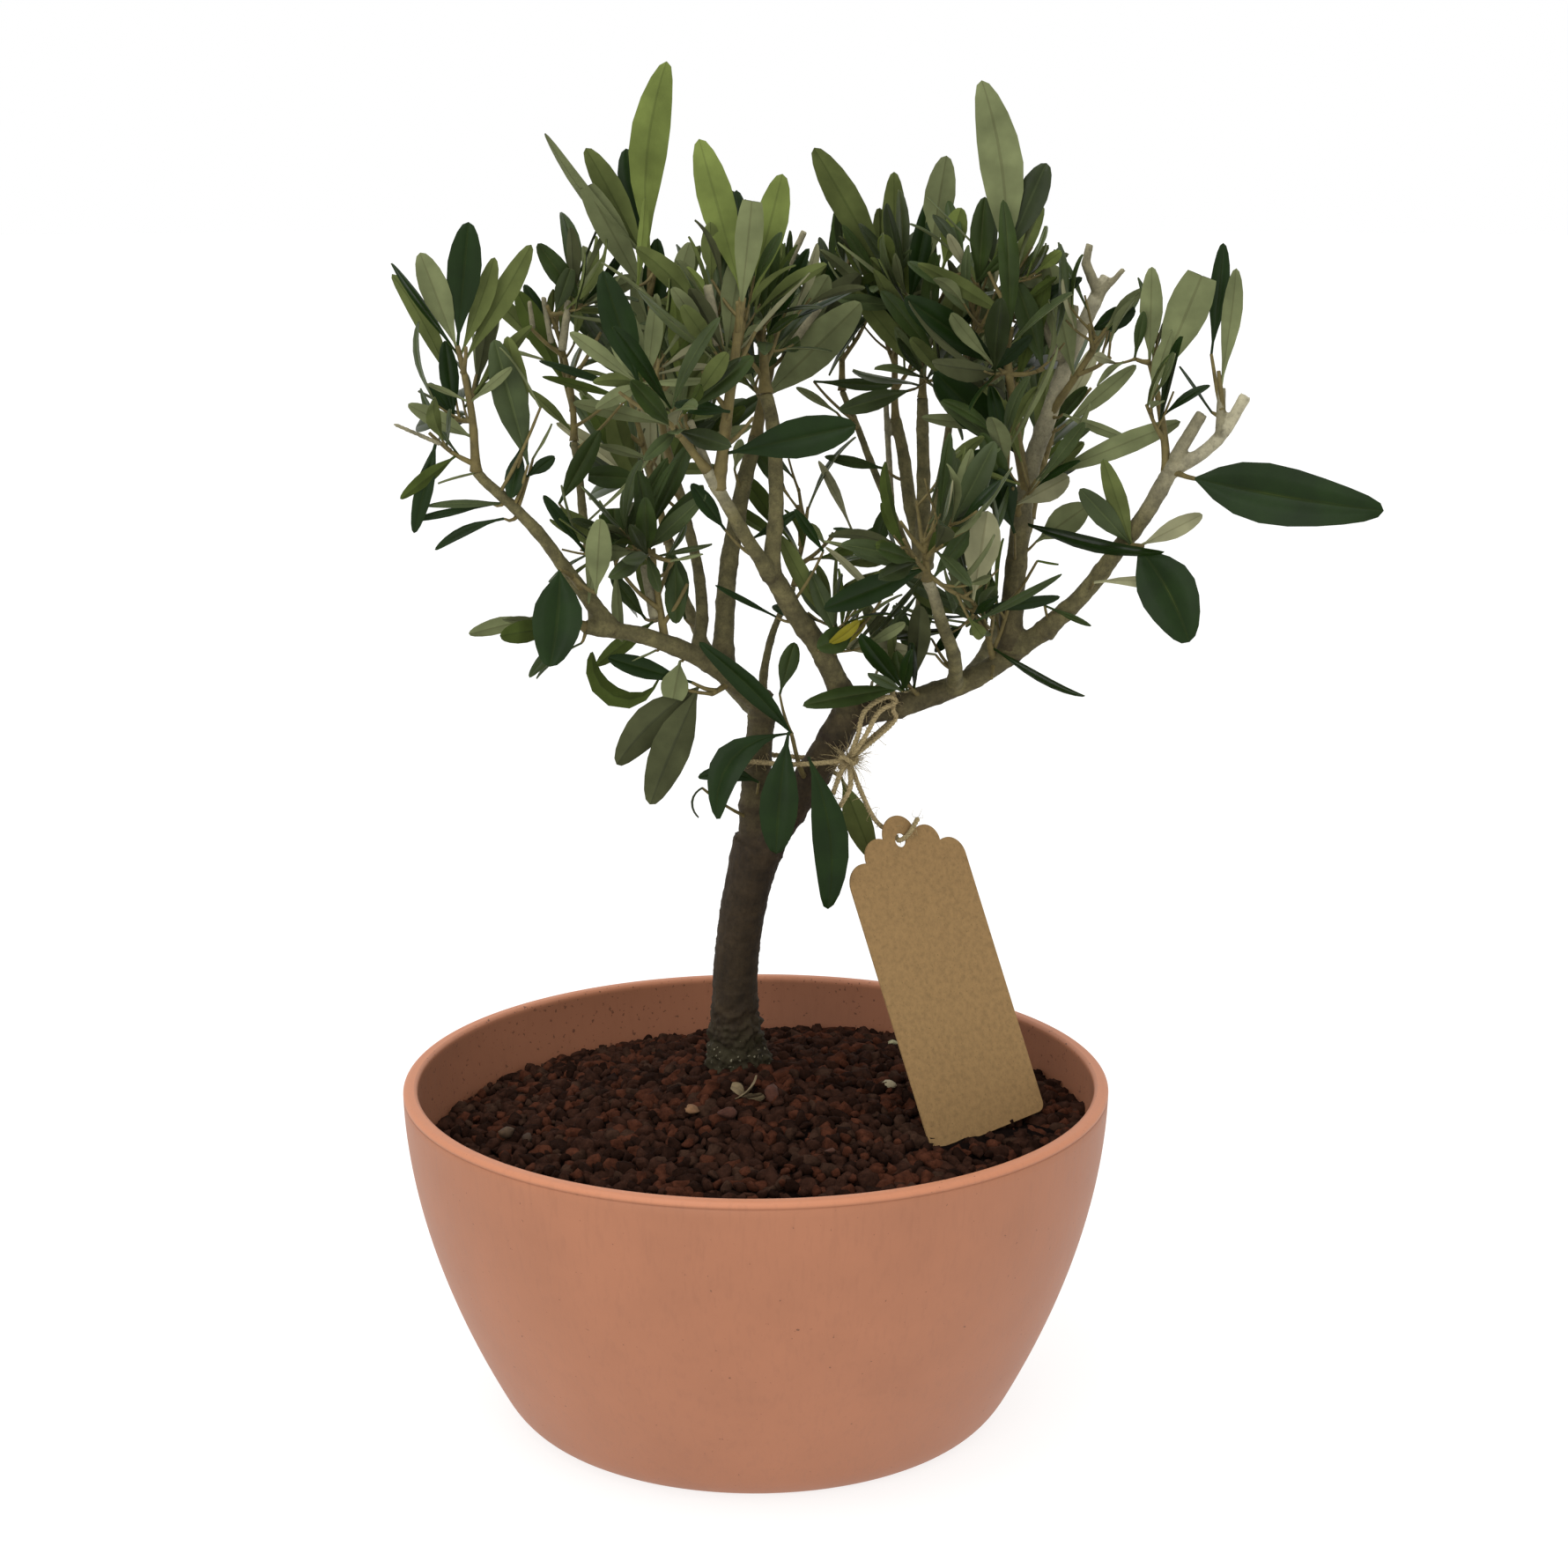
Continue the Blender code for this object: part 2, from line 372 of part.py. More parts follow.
def point_along(line, share):
    """The point at a share of a line's length, and the line's direction there."""
    lengths = [(b - a).length for a, b in zip(line, line[1:])]
    left = share * sum(lengths)
    for i, length in enumerate(lengths):
        if left <= length or i == len(lengths) - 1:
            heading = (line[i + 1] - line[i]).normalized()
            return line[i] + heading * min(left, length), heading
        left -= length


def longer_by(line, extra):
    """The line with both ends moved outwards."""
    first = line[0] + (line[0] - line[1]).normalized() * extra
    last = line[-1] + (line[-1] - line[-2]).normalized() * extra
    return [first, *line[1:-1], last]


def across(direction):
    """Two unit vectors square to a direction and to each other."""
    side = direction.cross(UP if abs(direction.z) < 0.9 else Vector((0, 1, 0))).normalized()
    return side, side.cross(direction).normalized()


class Tube:
    """A tapering limb or twig: a centre line, a radius at each point, and how many sides."""

    def __init__(self, line, radii, sides):
        self.line = line
        self.radii = radii
        self.sides = sides

    def surface(self, grown=0.0):
        """A ten-sided sleeve just outside the limb, for tests of what touches what."""
        line = longer_by(self.line, grown) if grown else self.line
        sides = 10
        points = []
        for i, point in enumerate(line):
            ahead = line[min(i + 1, len(line) - 1)] - line[max(i - 1, 0)]
            side, other = across(ahead.normalized())
            for k in range(sides):
                angle = 2 * math.pi * k / sides
                out = side * math.cos(angle) + other * math.sin(angle)
                points.append(point + out * (1.05 * self.radii[i] + grown))
        faces = []
        for i in range(len(line) - 1):
            for k in range(sides):
                a = i * sides + k
                b = i * sides + (k + 1) % sides
                faces.append((a, b, b + sides, a + sides))
        faces.append(tuple(range(sides))[::-1])
        faces.append(tuple(range(len(points) - sides, len(points))))
        return points, faces


class Leaf:
    """An olive leaf: foot, heading, upper face, length, width, bend and clipped share."""

    def __init__(self, foot, heading, face, length, width, bend, clip=0.0):
        self.foot = foot
        self.heading = heading
        self.face = face
        self.length = length
        self.width = width
        self.bend = bend
        self.clip = clip

    def place(self, along, aside, below, grown=0.0):
        """A point of the blade: share of the length, share of the half width, depth."""
        if self.clip:
            along = min(along, self.clip)
        half = 0.5 * self.width * leaf_outline(along) + grown
        turn = self.bend * along
        forward = self.heading * math.cos(turn) - self.face * math.sin(turn)
        normal = self.heading * math.sin(turn) + self.face * math.cos(turn)
        if abs(self.bend) > 1e-4:
            run = math.sin(turn) / self.bend
            drop = (1 - math.cos(turn)) / self.bend
        else:
            run, drop = along, 0.0
        centre = self.foot + (self.heading * run - self.face * drop) * self.length
        side = forward.cross(normal)
        return centre + side * (aside * half) + normal * (0.18 * half * abs(aside) - below)

    def surface(self, blank, grown=0.0, first=0.0):
        """The blank's points bent and stretched into this leaf, root cut back to first."""
        points = []
        for along, aside, below in blank.corners:
            along = max(along, first)
            depth = below * LEAF_THICKNESS + (grown if below else -grown)
            points.append(self.place(along, aside, depth, grown))
        return points, blank.faces


class LeafBlank:
    """The plain form that every leaf is shaped from: a three-sided bar pointed at both ends."""

    def __init__(self):
        start, end = LEAF_SHOULDERS
        form = bmesh.new()
        bmesh.ops.create_cone(form, cap_ends=True, cap_tris=False, segments=3,
                              radius1=1.0, radius2=1.0, depth=end - start)
        bmesh.ops.translate(form, vec=(0, 0, 0.5 * (start + end)), verts=form.verts)
        ends = [face for face in form.faces if abs(face.normal.z) > 0.9]
        bmesh.ops.poke(form, faces=ends, offset=start)
        form.verts.index_update()
        self.corners = [self.share(vert.co) for vert in form.verts]
        self.faces = [tuple(vert.index for vert in face.verts) for face in form.faces]
        self.form = form

    @staticmethod
    def share(corner):
        """Share of the length, side from -1 to 1, and 1 on the ridge under the blade."""
        if corner.xy.length < 0.01:
            return round(corner.z), 0.0, 0.0
        around = corner.xy.normalized()
        if abs(around.x) < 0.1:
            return corner.z, 0.0, 1.0
        return corner.z, math.copysign(1.0, around.x), 0.0


class Obstacles:
    """Everything placed so far, each with the name of what it belongs to."""

    def __init__(self):
        self.items = []

    def add(self, owner, surface):
        points, faces = surface
        centre = sum(points, Vector()) / len(points)
        reach = max((point - centre).length for point in points)
        self.items.append((owner, centre, reach, BVHTree.FromPolygons(points, faces)))

    def touched(self, surface, owners=None, without=()):
        """Whether a surface meets anything placed, among some owners or without some."""
        points, faces = surface
        centre = sum(points, Vector()) / len(points)
        reach = max((point - centre).length for point in points)
        tree = None
        for owner, middle, radius, other in self.items:
            if owner in without or (owners is not None and owner not in owners):
                continue
            if (middle - centre).length > reach + radius:
                continue
            tree = tree or BVHTree.FromPolygons(points, faces)
            if tree.overlap(other):
                return True
        return False


class Mass:
    """One mass of foliage: its stem, twigs and leaves, and the rule's settings for it."""

    def __init__(self, name, settings, limbs, shown):
        host, place, reach, bow, radius, twigs, twig_length, leaves, leaf_length, room, extra = settings
        self.name = name
        self.host = host
        self.shown = shown
        self.twig_count = twigs
        self.twig_length = twig_length
        self.leaf_count = leaves
        self.leaf_length = leaf_length
        self.room = room
        self.extra = extra
        self.chance = random.Random(f"{SEED} {name}")
        start, _ = point_along(limbs[host].line, place)
        line = bowed_line(start, reach, bow, max(2, round(Vector(reach).length / 9)))
        last = len(line) - 1
        tip_radius = max(TWIG_TIP_RADIUS, 0.55 * radius)
        radii = [radius + (tip_radius - radius) * i / last for i in range(len(line))]
        self.stem = Tube(line, radii, 6 if radius > 1.1 else 4)
        self.twigs = []
        self.leaves = []

    def in_room(self, point):
        return min((point - spot).length for spot in self.stem.line) < self.room

    def grow_extra_twigs(self, obstacles):
        for place, reach in self.extra:
            foot, _ = point_along(self.stem.line, place)
            self.add_twig(foot, Vector(reach), obstacles, (self.name, self.host))

    def grow_twigs(self, obstacles):
        """Twigs turned by the golden angle up the stem."""
        turn = self.chance.uniform(0, 2 * math.pi)
        for i in range(self.twig_count):
            turn += TWIG_TURN
            place = 0.12 + 0.8 * (i + 0.5) / self.twig_count
            foot, heading = point_along(self.stem.line, place)
            side, other = across(heading)
            outward = side * math.cos(turn) + other * math.sin(turn)
            tilt = math.radians(self.chance.uniform(*TWIG_TILT))
            aim = heading * math.cos(tilt) + outward * math.sin(tilt) + UP * TWIG_LIFT
            length = self.twig_length * self.chance.uniform(0.7, 1.1) * (1.15 - 0.5 * place)
            for share in (1.0, 0.75, 0.5):
                if self.add_twig(foot, aim.normalized() * (length * share), obstacles, (self.name,)):
                    break

    def add_twig(self, foot, reach, obstacles, own):
        line = bowed_line(foot, reach, UP * (-0.06 * reach.length), 2)
        radii = [TWIG_FOOT_RADIUS, 0.6, TWIG_TIP_RADIUS]
        twig = Tube(line, radii, 3)
        beyond = Tube(line[1:], radii[1:], 3)
        if not self.in_room(line[-1]) or obstacles.touched(twig.surface(), without=own):
            return False
        if obstacles.touched(beyond.surface(), owners=(self.name, self.host)):
            return False
        self.twigs.append(twig)
        obstacles.add(self.name, beyond.surface(GAP))
        return True

    def nearest_on_wood(self, point):
        """The place on this mass's wood nearest to a point."""
        best = None
        for tube in [self.stem, *self.twigs]:
            for i in range(len(tube.line) - 1):
                a, b = tube.line[i], tube.line[i + 1]
                share = max(0.02, min(0.98, (point - a).dot(b - a) / (b - a).length_squared))
                spot = a.lerp(b, share)
                if best is None or (spot - point).length < (best - point).length:
                    best = spot
        return best

    def add_leaf(self, leaf, obstacles, blank, crossing=False):
        """Keeps a leaf that touches nothing, save its own mass at its root or if crossing."""
        if obstacles.touched(leaf.surface(blank), without=(self.name,)):
            return False
        beyond = leaf.surface(blank, first=LEAF_ROOT)
        if not crossing and obstacles.touched(beyond, owners=(self.name,)):
            return False
        self.leaves.append(leaf)
        obstacles.add(self.name, leaf.surface(blank, GAP, LEAF_ROOT))
        return True

    def grow_marked_leaves(self, obstacles, blank):
        for row in MARKED_LEAVES.get(self.name, ()):
            self.grow_marked_leaf(*row, obstacles, blank)

    def grow_marked_leaf(self, foot, tip, width, turn, clip, obstacles, blank):
        foot = self.nearest_on_wood(Vector(foot))
        reach = Vector(tip) - foot
        heading = reach.normalized()
        front = Vector((0, -1, 0))
        front = (front - heading * front.dot(heading)).normalized()
        face = Matrix.Rotation(math.radians(turn), 3, heading) @ front
        length = reach.length / (clip or 1.0)
        leaf = Leaf(foot, heading, face, length, width, 0.0, clip)
        self.add_leaf(leaf, obstacles, blank, crossing=True)

    def grow_seen_leaf(self, foot, tip, width, turn, clip, obstacles, blank):
        """A marked leaf on a twig of its own where the wood is far from its foot."""
        foot = Vector(foot)
        wood = self.nearest_on_wood(foot)
        apart = (foot - wood).length
        if apart > SEEN_REACH:
            return
        if apart > PETIOLE_REACH and not self.add_twig(wood, foot - wood, obstacles, (self.name,)):
            return
        self.grow_marked_leaf(foot, tip, width, turn, clip, obstacles, blank)

    def grow_leaves(self, obstacles, blank):
        """Opposite pairs up each twig and the outer stem, each pair square to the last."""
        most = len(self.leaves) + self.leaf_count
        for tube in [*self.twigs, self.stem]:
            length = sum((b - a).length for a, b in zip(tube.line, tube.line[1:]))
            first = 0.5 if tube is self.stem else 0.35
            pairs = max(1, round(length * (1 - first) / PAIR_STEP))
            turn = self.chance.uniform(0, math.pi)
            for pair in range(pairs + 1):
                place = first + (1 - first) * pair / pairs
                if len(self.leaves) < most:
                    self.grow_pair(tube, min(place, 0.97), turn, obstacles, blank)
                turn += math.pi / 2

    def grow_pair(self, tube, place, turn, obstacles, blank):
        spot, heading = point_along(tube.line, place)
        side, other = across(heading)
        for half_turn in (0, math.pi):
            for attempt in range(LEAF_TRIES):
                around = turn + half_turn + self.chance.uniform(-0.3, 0.3) * (1 + attempt)
                outward = side * math.cos(around) + other * math.sin(around)
                tilt = math.radians(self.chance.uniform(*LEAF_TILT) * (1 - 0.45 * place))
                aim = heading * math.cos(tilt) + outward * math.sin(tilt) + UP * LEAF_LIFT
                aim.normalize()
                face = (heading - aim * heading.dot(aim)).normalized()
                length = self.leaf_length * self.chance.uniform(0.85, 1.15) * 0.95**attempt
                width = length * self.chance.uniform(*LEAF_SLENDERNESS)
                bend = self.chance.uniform(-0.25, 0.5)
                foot = spot - heading * self.chance.uniform(0.1, 0.5)
                leaf = Leaf(foot, aim, face, length, width, bend)
                if self.is_free(leaf) and self.add_leaf(leaf, obstacles, blank):
                    break

    def is_free(self, leaf):
        """Whether a leaf keeps to its mass's room and leaves the open sky alone."""
        spots = [leaf.place(along, aside, 0) for along, aside in SKY_SPOTS]
        if not self.in_room(spots[-1]) or any(sky_behind(spot) for spot in spots):
            return False
        return not any(self.hides_limb(spot) for spot in spots)

    def hides_limb(self, spot):
        """Whether a spot lies in front of a limb that shows."""
        x, z = seen_from_front(spot)
        return any(abs(x - at_x) < margin and abs(z - at_z) < margin and spot.y < depth
                   for at_x, at_z, depth, margin in self.shown)


def leaf_object(name, leaf, blank, collection):
    """The blank's form with its corners moved to where the leaf has them."""
    mesh = bpy.data.meshes.new(name)
    form = blank.form.copy()
    points, _ = leaf.surface(blank)
    for vert, point in zip(form.verts, points):
        vert.co = point * MM
    form.normal_update()
    bmesh.ops.recalc_face_normals(form, faces=form.faces)
    form.to_mesh(mesh)
    form.free()
    obj = bpy.data.objects.new(name, mesh)
    collection.objects.link(obj)
    return obj


def three_sided_profile(collection):
    """A small triangle that gives the twigs their section."""
    curve = bpy.data.curves.new("twig profile", "CURVE")
    curve.dimensions = "2D"
    spline = curve.splines.new("POLY")
    spline.points.add(2)
    spline.use_cyclic_u = True
    for k, spot in enumerate(spline.points):
        angle = 2 * math.pi * k / 3
        spot.co = (MM * math.cos(angle), MM * math.sin(angle), 0, 1)
    profile = bpy.data.objects.new("twig profile", curve)
    profile.hide_render = True
    collection.objects.link(profile)
    return profile


def tube_object(name, line, radii, sides, collection, grown=0.0):
    """A bevelled curve made into a mesh, with its caps welded on."""
    if grown:
        line = longer_by(line, grown)
    curve = bpy.data.curves.new(name, "CURVE")
    curve.dimensions = "3D"
    if sides == 3:
        curve.bevel_mode = "OBJECT"
        curve.bevel_object = bpy.data.objects["twig profile"]
    else:
        curve.bevel_depth = MM
        curve.bevel_resolution = (sides - 4) // 2
    curve.use_fill_caps = True
    spline = curve.splines.new("POLY")
    spline.points.add(len(line) - 1)
    for spot, place, radius in zip(spline.points, line, radii):
        spot.co = (*(place * MM), 1)
        spot.radius = radius + grown
    guide = bpy.data.objects.new(name, curve)
    collection.objects.link(guide)
    obj = mesh_object_of(guide, name, collection)
    bpy.data.curves.remove(curve)
    return obj


def mesh_object_of(source, name, collection):
    """A mesh object with the evaluated shape of another object, which is removed."""
    bpy.context.view_layer.update()
    graph = bpy.context.evaluated_depsgraph_get()
    mesh = bpy.data.meshes.new_from_object(source.evaluated_get(graph))
    placed = source.matrix_world.copy()
    bpy.data.objects.remove(source, do_unlink=True)
    form = bmesh.new()
    form.from_mesh(mesh)
    bmesh.ops.remove_doubles(form, verts=form.verts, dist=WELD)
    bmesh.ops.recalc_face_normals(form, faces=form.faces)
    form.to_mesh(mesh)
    form.free()
    mesh.name = name
    obj = bpy.data.objects.new(name, mesh)
    obj.matrix_world = placed
    collection.objects.link(obj)
    return obj


def apply_modifiers(obj):
    graph = bpy.context.evaluated_depsgraph_get()
    mesh = bpy.data.meshes.new_from_object(obj.evaluated_get(graph))
    obj.modifiers.clear()
    obj.data = mesh


def slab_below(height, collection):
    """A wide cutter whose top is level at a height in millimetres."""
    form = bmesh.new()
    bmesh.ops.create_cube(form, size=60 * MM)
    bmesh.ops.translate(form, vec=TRUNK_FOOT.xy.to_3d() * MM, verts=form.verts)
    bmesh.ops.translate(form, vec=(0, 0, (height - 30) * MM), verts=form.verts)
    mesh = bpy.data.meshes.new("ground")
    form.to_mesh(mesh)
    form.free()
    slab = bpy.data.objects.new("ground", mesh)
    collection.objects.link(slab)
    return slab


def cut_away(obj, cutter, solver="EXACT"):
    """Cuts the cutter's space out of the object, and hides the cutter."""
    cutter.hide_render = True
    cutter.display_type = "WIRE"
    cut = obj.modifiers.new(f"clear of {cutter.name}", "BOOLEAN")
    cut.operation = "DIFFERENCE"
    cut.solver = solver
    cut.object = cutter
    bpy.context.view_layer.update()
    apply_modifiers(obj)
    bpy.data.objects.remove(cutter, do_unlink=True)


def join_pieces(obj, pieces):
    """Joins the pieces to the object by one Boolean union, and removes them."""
    joining = bpy.data.collections.new(f"joining {obj.name}")
    bpy.context.scene.collection.children.link(joining)
    for piece in pieces:
        for collection in list(piece.users_collection):
            collection.objects.unlink(piece)
        joining.objects.link(piece)
    union = obj.modifiers.new("joined", "BOOLEAN")
    union.operation = "UNION"
    union.operand_type = "COLLECTION"
    union.collection = joining
    union.solver = "MANIFOLD"
    bpy.context.view_layer.update()
    apply_modifiers(obj)
    for piece in pieces:
        bpy.data.objects.remove(piece, do_unlink=True)
    bpy.data.collections.remove(joining)


def keep_largest_body(obj):
    """Drops loose scraps and the walls of sealed hollows."""
    form = bmesh.new()
    form.from_mesh(obj.data)
    unseen = set(form.verts)
    bodies = []
    while unseen:
        waiting = [unseen.pop()]
        body = set(waiting)
        while waiting:
            for edge in waiting.pop().link_edges:
                for vert in edge.verts:
                    if vert in unseen:
                        unseen.discard(vert)
                        body.add(vert)
                        waiting.append(vert)
        bodies.append(body)
    largest = max(bodies, key=len)
    scraps = [vert for body in bodies if body is not largest for vert in body]
    bmesh.ops.delete(form, geom=scraps, context="VERTS")
    form.to_mesh(obj.data)
    form.free()


def pot_outer_radius(height):
    """The wall's outer radius at a height above the rounded foot."""
    fall = (POT_HEIGHT - height) / POT_HEIGHT
    return POT_RIM_RADIUS - POT_BELLY_SWELL * fall**POT_BELLY_POWER


def pot_levels():
    """Heights of the wall's rings, from the rounded foot to just under the rim."""
    rise = (POT_HEIGHT - 1.4 - POT_CORNER_HEIGHT) / POT_LEVELS
    return [POT_CORNER_HEIGHT + rise * i for i in range(POT_LEVELS + 1)]


def pot_inside():
    """The inner wall as (radius, height), from the floor's edge up."""
    floor_edge = (pot_outer_radius(POT_CORNER_HEIGHT) - POT_FLOOR_INSET, POT_FLOOR)
    return [floor_edge, *((pot_outer_radius(height) - POT_WALL, height) for height in pot_levels()[1:])]


def inner_radius(height):
    """Radius of the inner wall's straight facets at a height."""
    inside = pot_inside()
    for (r0, z0), (r1, z1) in zip(inside, inside[1:]):
        if height <= z1:
            return r0 + (r1 - r0) * (height - z0) / (z1 - z0)
    return inside[-1][0]


def turned_object(name, profile, sides, collection):
    """A profile of (radius, height) in millimetres, turned about Z by a Screw modifier."""
    mesh = bpy.data.meshes.new(name)
    corners = [(radius * MM, 0, height * MM) for radius, height in profile]
    mesh.from_pydata(corners, [(i, i + 1) for i in range(len(corners) - 1)], [])
    obj = bpy.data.objects.new(name, mesh)
    collection.objects.link(obj)
    screw = obj.modifiers.new("turned", "SCREW")
    screw.steps = sides
    screw.render_steps = sides
    screw.use_merge_vertices = True
    screw.merge_threshold = 0.0001
    bpy.context.view_layer.update()
    apply_modifiers(obj)
    form = bmesh.new()
    form.from_mesh(obj.data)
    bmesh.ops.remove_doubles(form, verts=form.verts, dist=WELD)
    bmesh.ops.recalc_face_normals(form, faces=form.faces)
    form.to_mesh(obj.data)
    form.free()
    obj.data.shade_smooth()
    obj.data.set_sharp_from_angle(angle=math.radians(35))
    return obj


def make_pot(collection):
    corner_radius = pot_outer_radius(POT_CORNER_HEIGHT)
    middle = POT_RIM_RADIUS - 0.5 * POT_WALL
    rim = [(middle + 0.5 * POT_WALL * math.cos(angle), POT_HEIGHT - 1.4 + 1.4 * math.sin(angle))
           for angle in (math.radians(150), math.radians(115), math.radians(65), math.radians(30))]
    outer = [(pot_outer_radius(height), height) for height in reversed(pot_levels())]
    bend = [(0.66 * corner_radius + 0.34 * POT_FOOT_RADIUS, 0.36 * POT_CORNER_HEIGHT),
            (POT_FOOT_RADIUS + 1.5, 0.3)]
    under = [(POT_FOOT_RADIUS, 0.0), (0.0, 0.0)]
    profile = [(0.0, POT_FLOOR), *pot_inside(), *rim, *outer, *bend, *under]
    pot = turned_object("pot", profile, POT_SIDES, collection)
    pot.data.materials.append(plain_material("salmon plastic", (0.52, 0.21, 0.12), 0.55))
    return pot


def soil_height(x, y):
    """Height of the gravel's surface at a place, in millimetres."""
    share = min(1.0, math.hypot(x, y) / inner_radius(SOIL_EDGE_HEIGHT))
    wave = 2 * math.pi / SOIL_LUMP_STEP
    lump = math.sin(wave * x + 1.3 * math.sin(y / 9)) * math.sin(wave * y + 1.1 * math.sin(x / 11))
    calm = min(1.0, math.hypot(x - TRUNK_FOOT.x, y - TRUNK_FOOT.y) / 26) ** 2 * (1 - share**8)
    mound = SOIL_EDGE_HEIGHT + SOIL_RISE * (1 - share**SOIL_POWER) + SOIL_LEAN * x
    return mound + SOIL_LUMP * lump * calm


def make_soil(tag_cutter, collection, cutters):
    edge = inner_radius(SOIL_EDGE_HEIGHT) - GAP
    top = [(edge * i / SOIL_RINGS, SOIL_EDGE_HEIGHT) for i in range(SOIL_RINGS + 1)]
    side = [(radius - GAP, height) for radius, height in reversed(pot_inside())
            if height < SOIL_EDGE_HEIGHT - 8]
    side[-1] = (side[-1][0], POT_FLOOR + GAP)
    profile = [*top, *side, (0.0, POT_FLOOR + GAP)]
    soil = turned_object("gravel", profile, POT_SIDES, collection)
    for vert in soil.data.vertices:
        if vert.co.z > (SOIL_EDGE_HEIGHT - 1) * MM:
            height = soil_height(vert.co.x / MM, vert.co.y / MM)
            if vert.co.xy.length > 0.99 * edge * MM:
                vert.co.xy *= (inner_radius(height) - GAP) / edge
            vert.co.z = height * MM
    form = bmesh.new()
    bmesh.ops.create_cone(form, cap_ends=True, segments=24, radius1=TRUNK_SEAT_RADIUS * MM,
                          radius2=TRUNK_SEAT_RADIUS * MM, depth=20 * MM)
    seat_mesh = bpy.data.meshes.new("trunk seat")
    form.to_mesh(seat_mesh)
    form.free()
    seat = bpy.data.objects.new("trunk seat", seat_mesh)
    cutters.objects.link(seat)
    seat.location = (TRUNK_FOOT.x * MM, TRUNK_FOOT.y * MM, (TRUNK_SEAT_HEIGHT + 10) * MM)
    cut_away(soil, seat)
    cut_away(soil, tag_cutter)
    soil.data.materials.append(plain_material("lava gravel", (0.035, 0.016, 0.012), 0.9))
    return soil


def arc(centre_x, centre_y, radius, start, end, steps):
    """Points on a circle between two angles in degrees."""
    angles = [math.radians(start + (end - start) * i / steps) for i in range(steps + 1)]
    return [(centre_x + radius * math.cos(a), centre_y + radius * math.sin(a)) for a in angles]


def lobe_crossing(first, second):
    """The upper point where two neighbouring lobes' circles meet, inner lobe second."""
    x0, y0, r0 = first
    x1, y1, r1 = second
    apart = math.hypot(x1 - x0, y1 - y0)
    along = (r0**2 - r1**2 + apart**2) / (2 * apart)
    off = math.sqrt(r0**2 - along**2)
    ux, uy = (x1 - x0) / apart, (y1 - y0) / apart
    options = [(x0 + ux * along - uy * off * sign, y0 + uy * along + ux * off * sign)
               for sign in (1, -1)]
    return max(options, key=lambda spot: spot[0] + spot[1])


def tag_right_side():
    """The outline's right half from the lower corner up to the top of the middle lobe."""
    half = 0.5 * TAG_WIDTH
    points = arc(half - TAG_CORNER, TAG_CORNER, TAG_CORNER, -90, 0, 3)
    start = 0.0
    for lobe, inner in zip(TAG_LOBES, (*TAG_LOBES[1:], None)):
        x, y, radius = lobe
        if inner:
            meet = lobe_crossing(lobe, inner)
            end = math.degrees(math.atan2(meet[1] - y, meet[0] - x))
        else:
            end = 90.0
        points += arc(x, y, radius, start, end, 5)
        if inner:
            start = math.degrees(math.atan2(meet[1] - inner[1], meet[0] - inner[0])) + 4
    return points


def tag_placement():
    turn, lean, roll = (math.radians(angle) for angle in TAG_TURN)
    spin = (Matrix.Rotation(turn, 4, "Z") @ Matrix.Rotation(lean, 4, "X")
            @ Matrix.Rotation(roll, 4, "Y"))
    return Matrix.Translation(TAG_FOOT * MM) @ spin


def tag_point(across_tag, up_tag, in_front):
    """A point given on the tag's face, in millimetres of the part's frame."""
    local = Vector((across_tag, -in_front, up_tag)) * MM
    return (tag_placement() @ local) / MM


def tag_object(name, grown, collection):
    """The card as a filled 2D curve, extruded to half its thickness each way."""
    right = tag_right_side()
    outline = right + [(-x, y) for x, y in reversed(right[:-1])]
    hole_x, hole_y, hole_radius = TAG_HOLE
    hole = arc(hole_x, hole_y, hole_radius, 0, 330, 11)
    curve = bpy.data.curves.new(name, "CURVE")
    curve.dimensions = "2D"
    curve.fill_mode = "BOTH"
    curve.extrude = (0.5 * TAG_THICKNESS + grown) * MM
    for ring in (outline,) if grown else (outline, hole):
        spline = curve.splines.new("POLY")
        spline.points.add(len(ring) - 1)
        spline.use_cyclic_u = True
        for spot, (x, y) in zip(spline.points, ring):
            spot.co = (x * MM, y * MM, 0, 1)
    guide = bpy.data.objects.new(name, curve)
    guide.matrix_world = tag_placement() @ Matrix.Rotation(math.radians(90), 4, "X")
    collection.objects.link(guide)
    obj = mesh_object_of(guide, name, collection)
    bpy.data.curves.remove(curve)
    return obj


def make_tag(collection):
    tag = tag_object("kraft_tag", 0.0, collection)
    tag.data.materials.append(plain_material("kraft card", (0.32, 0.2, 0.09), 0.85))
    return tag


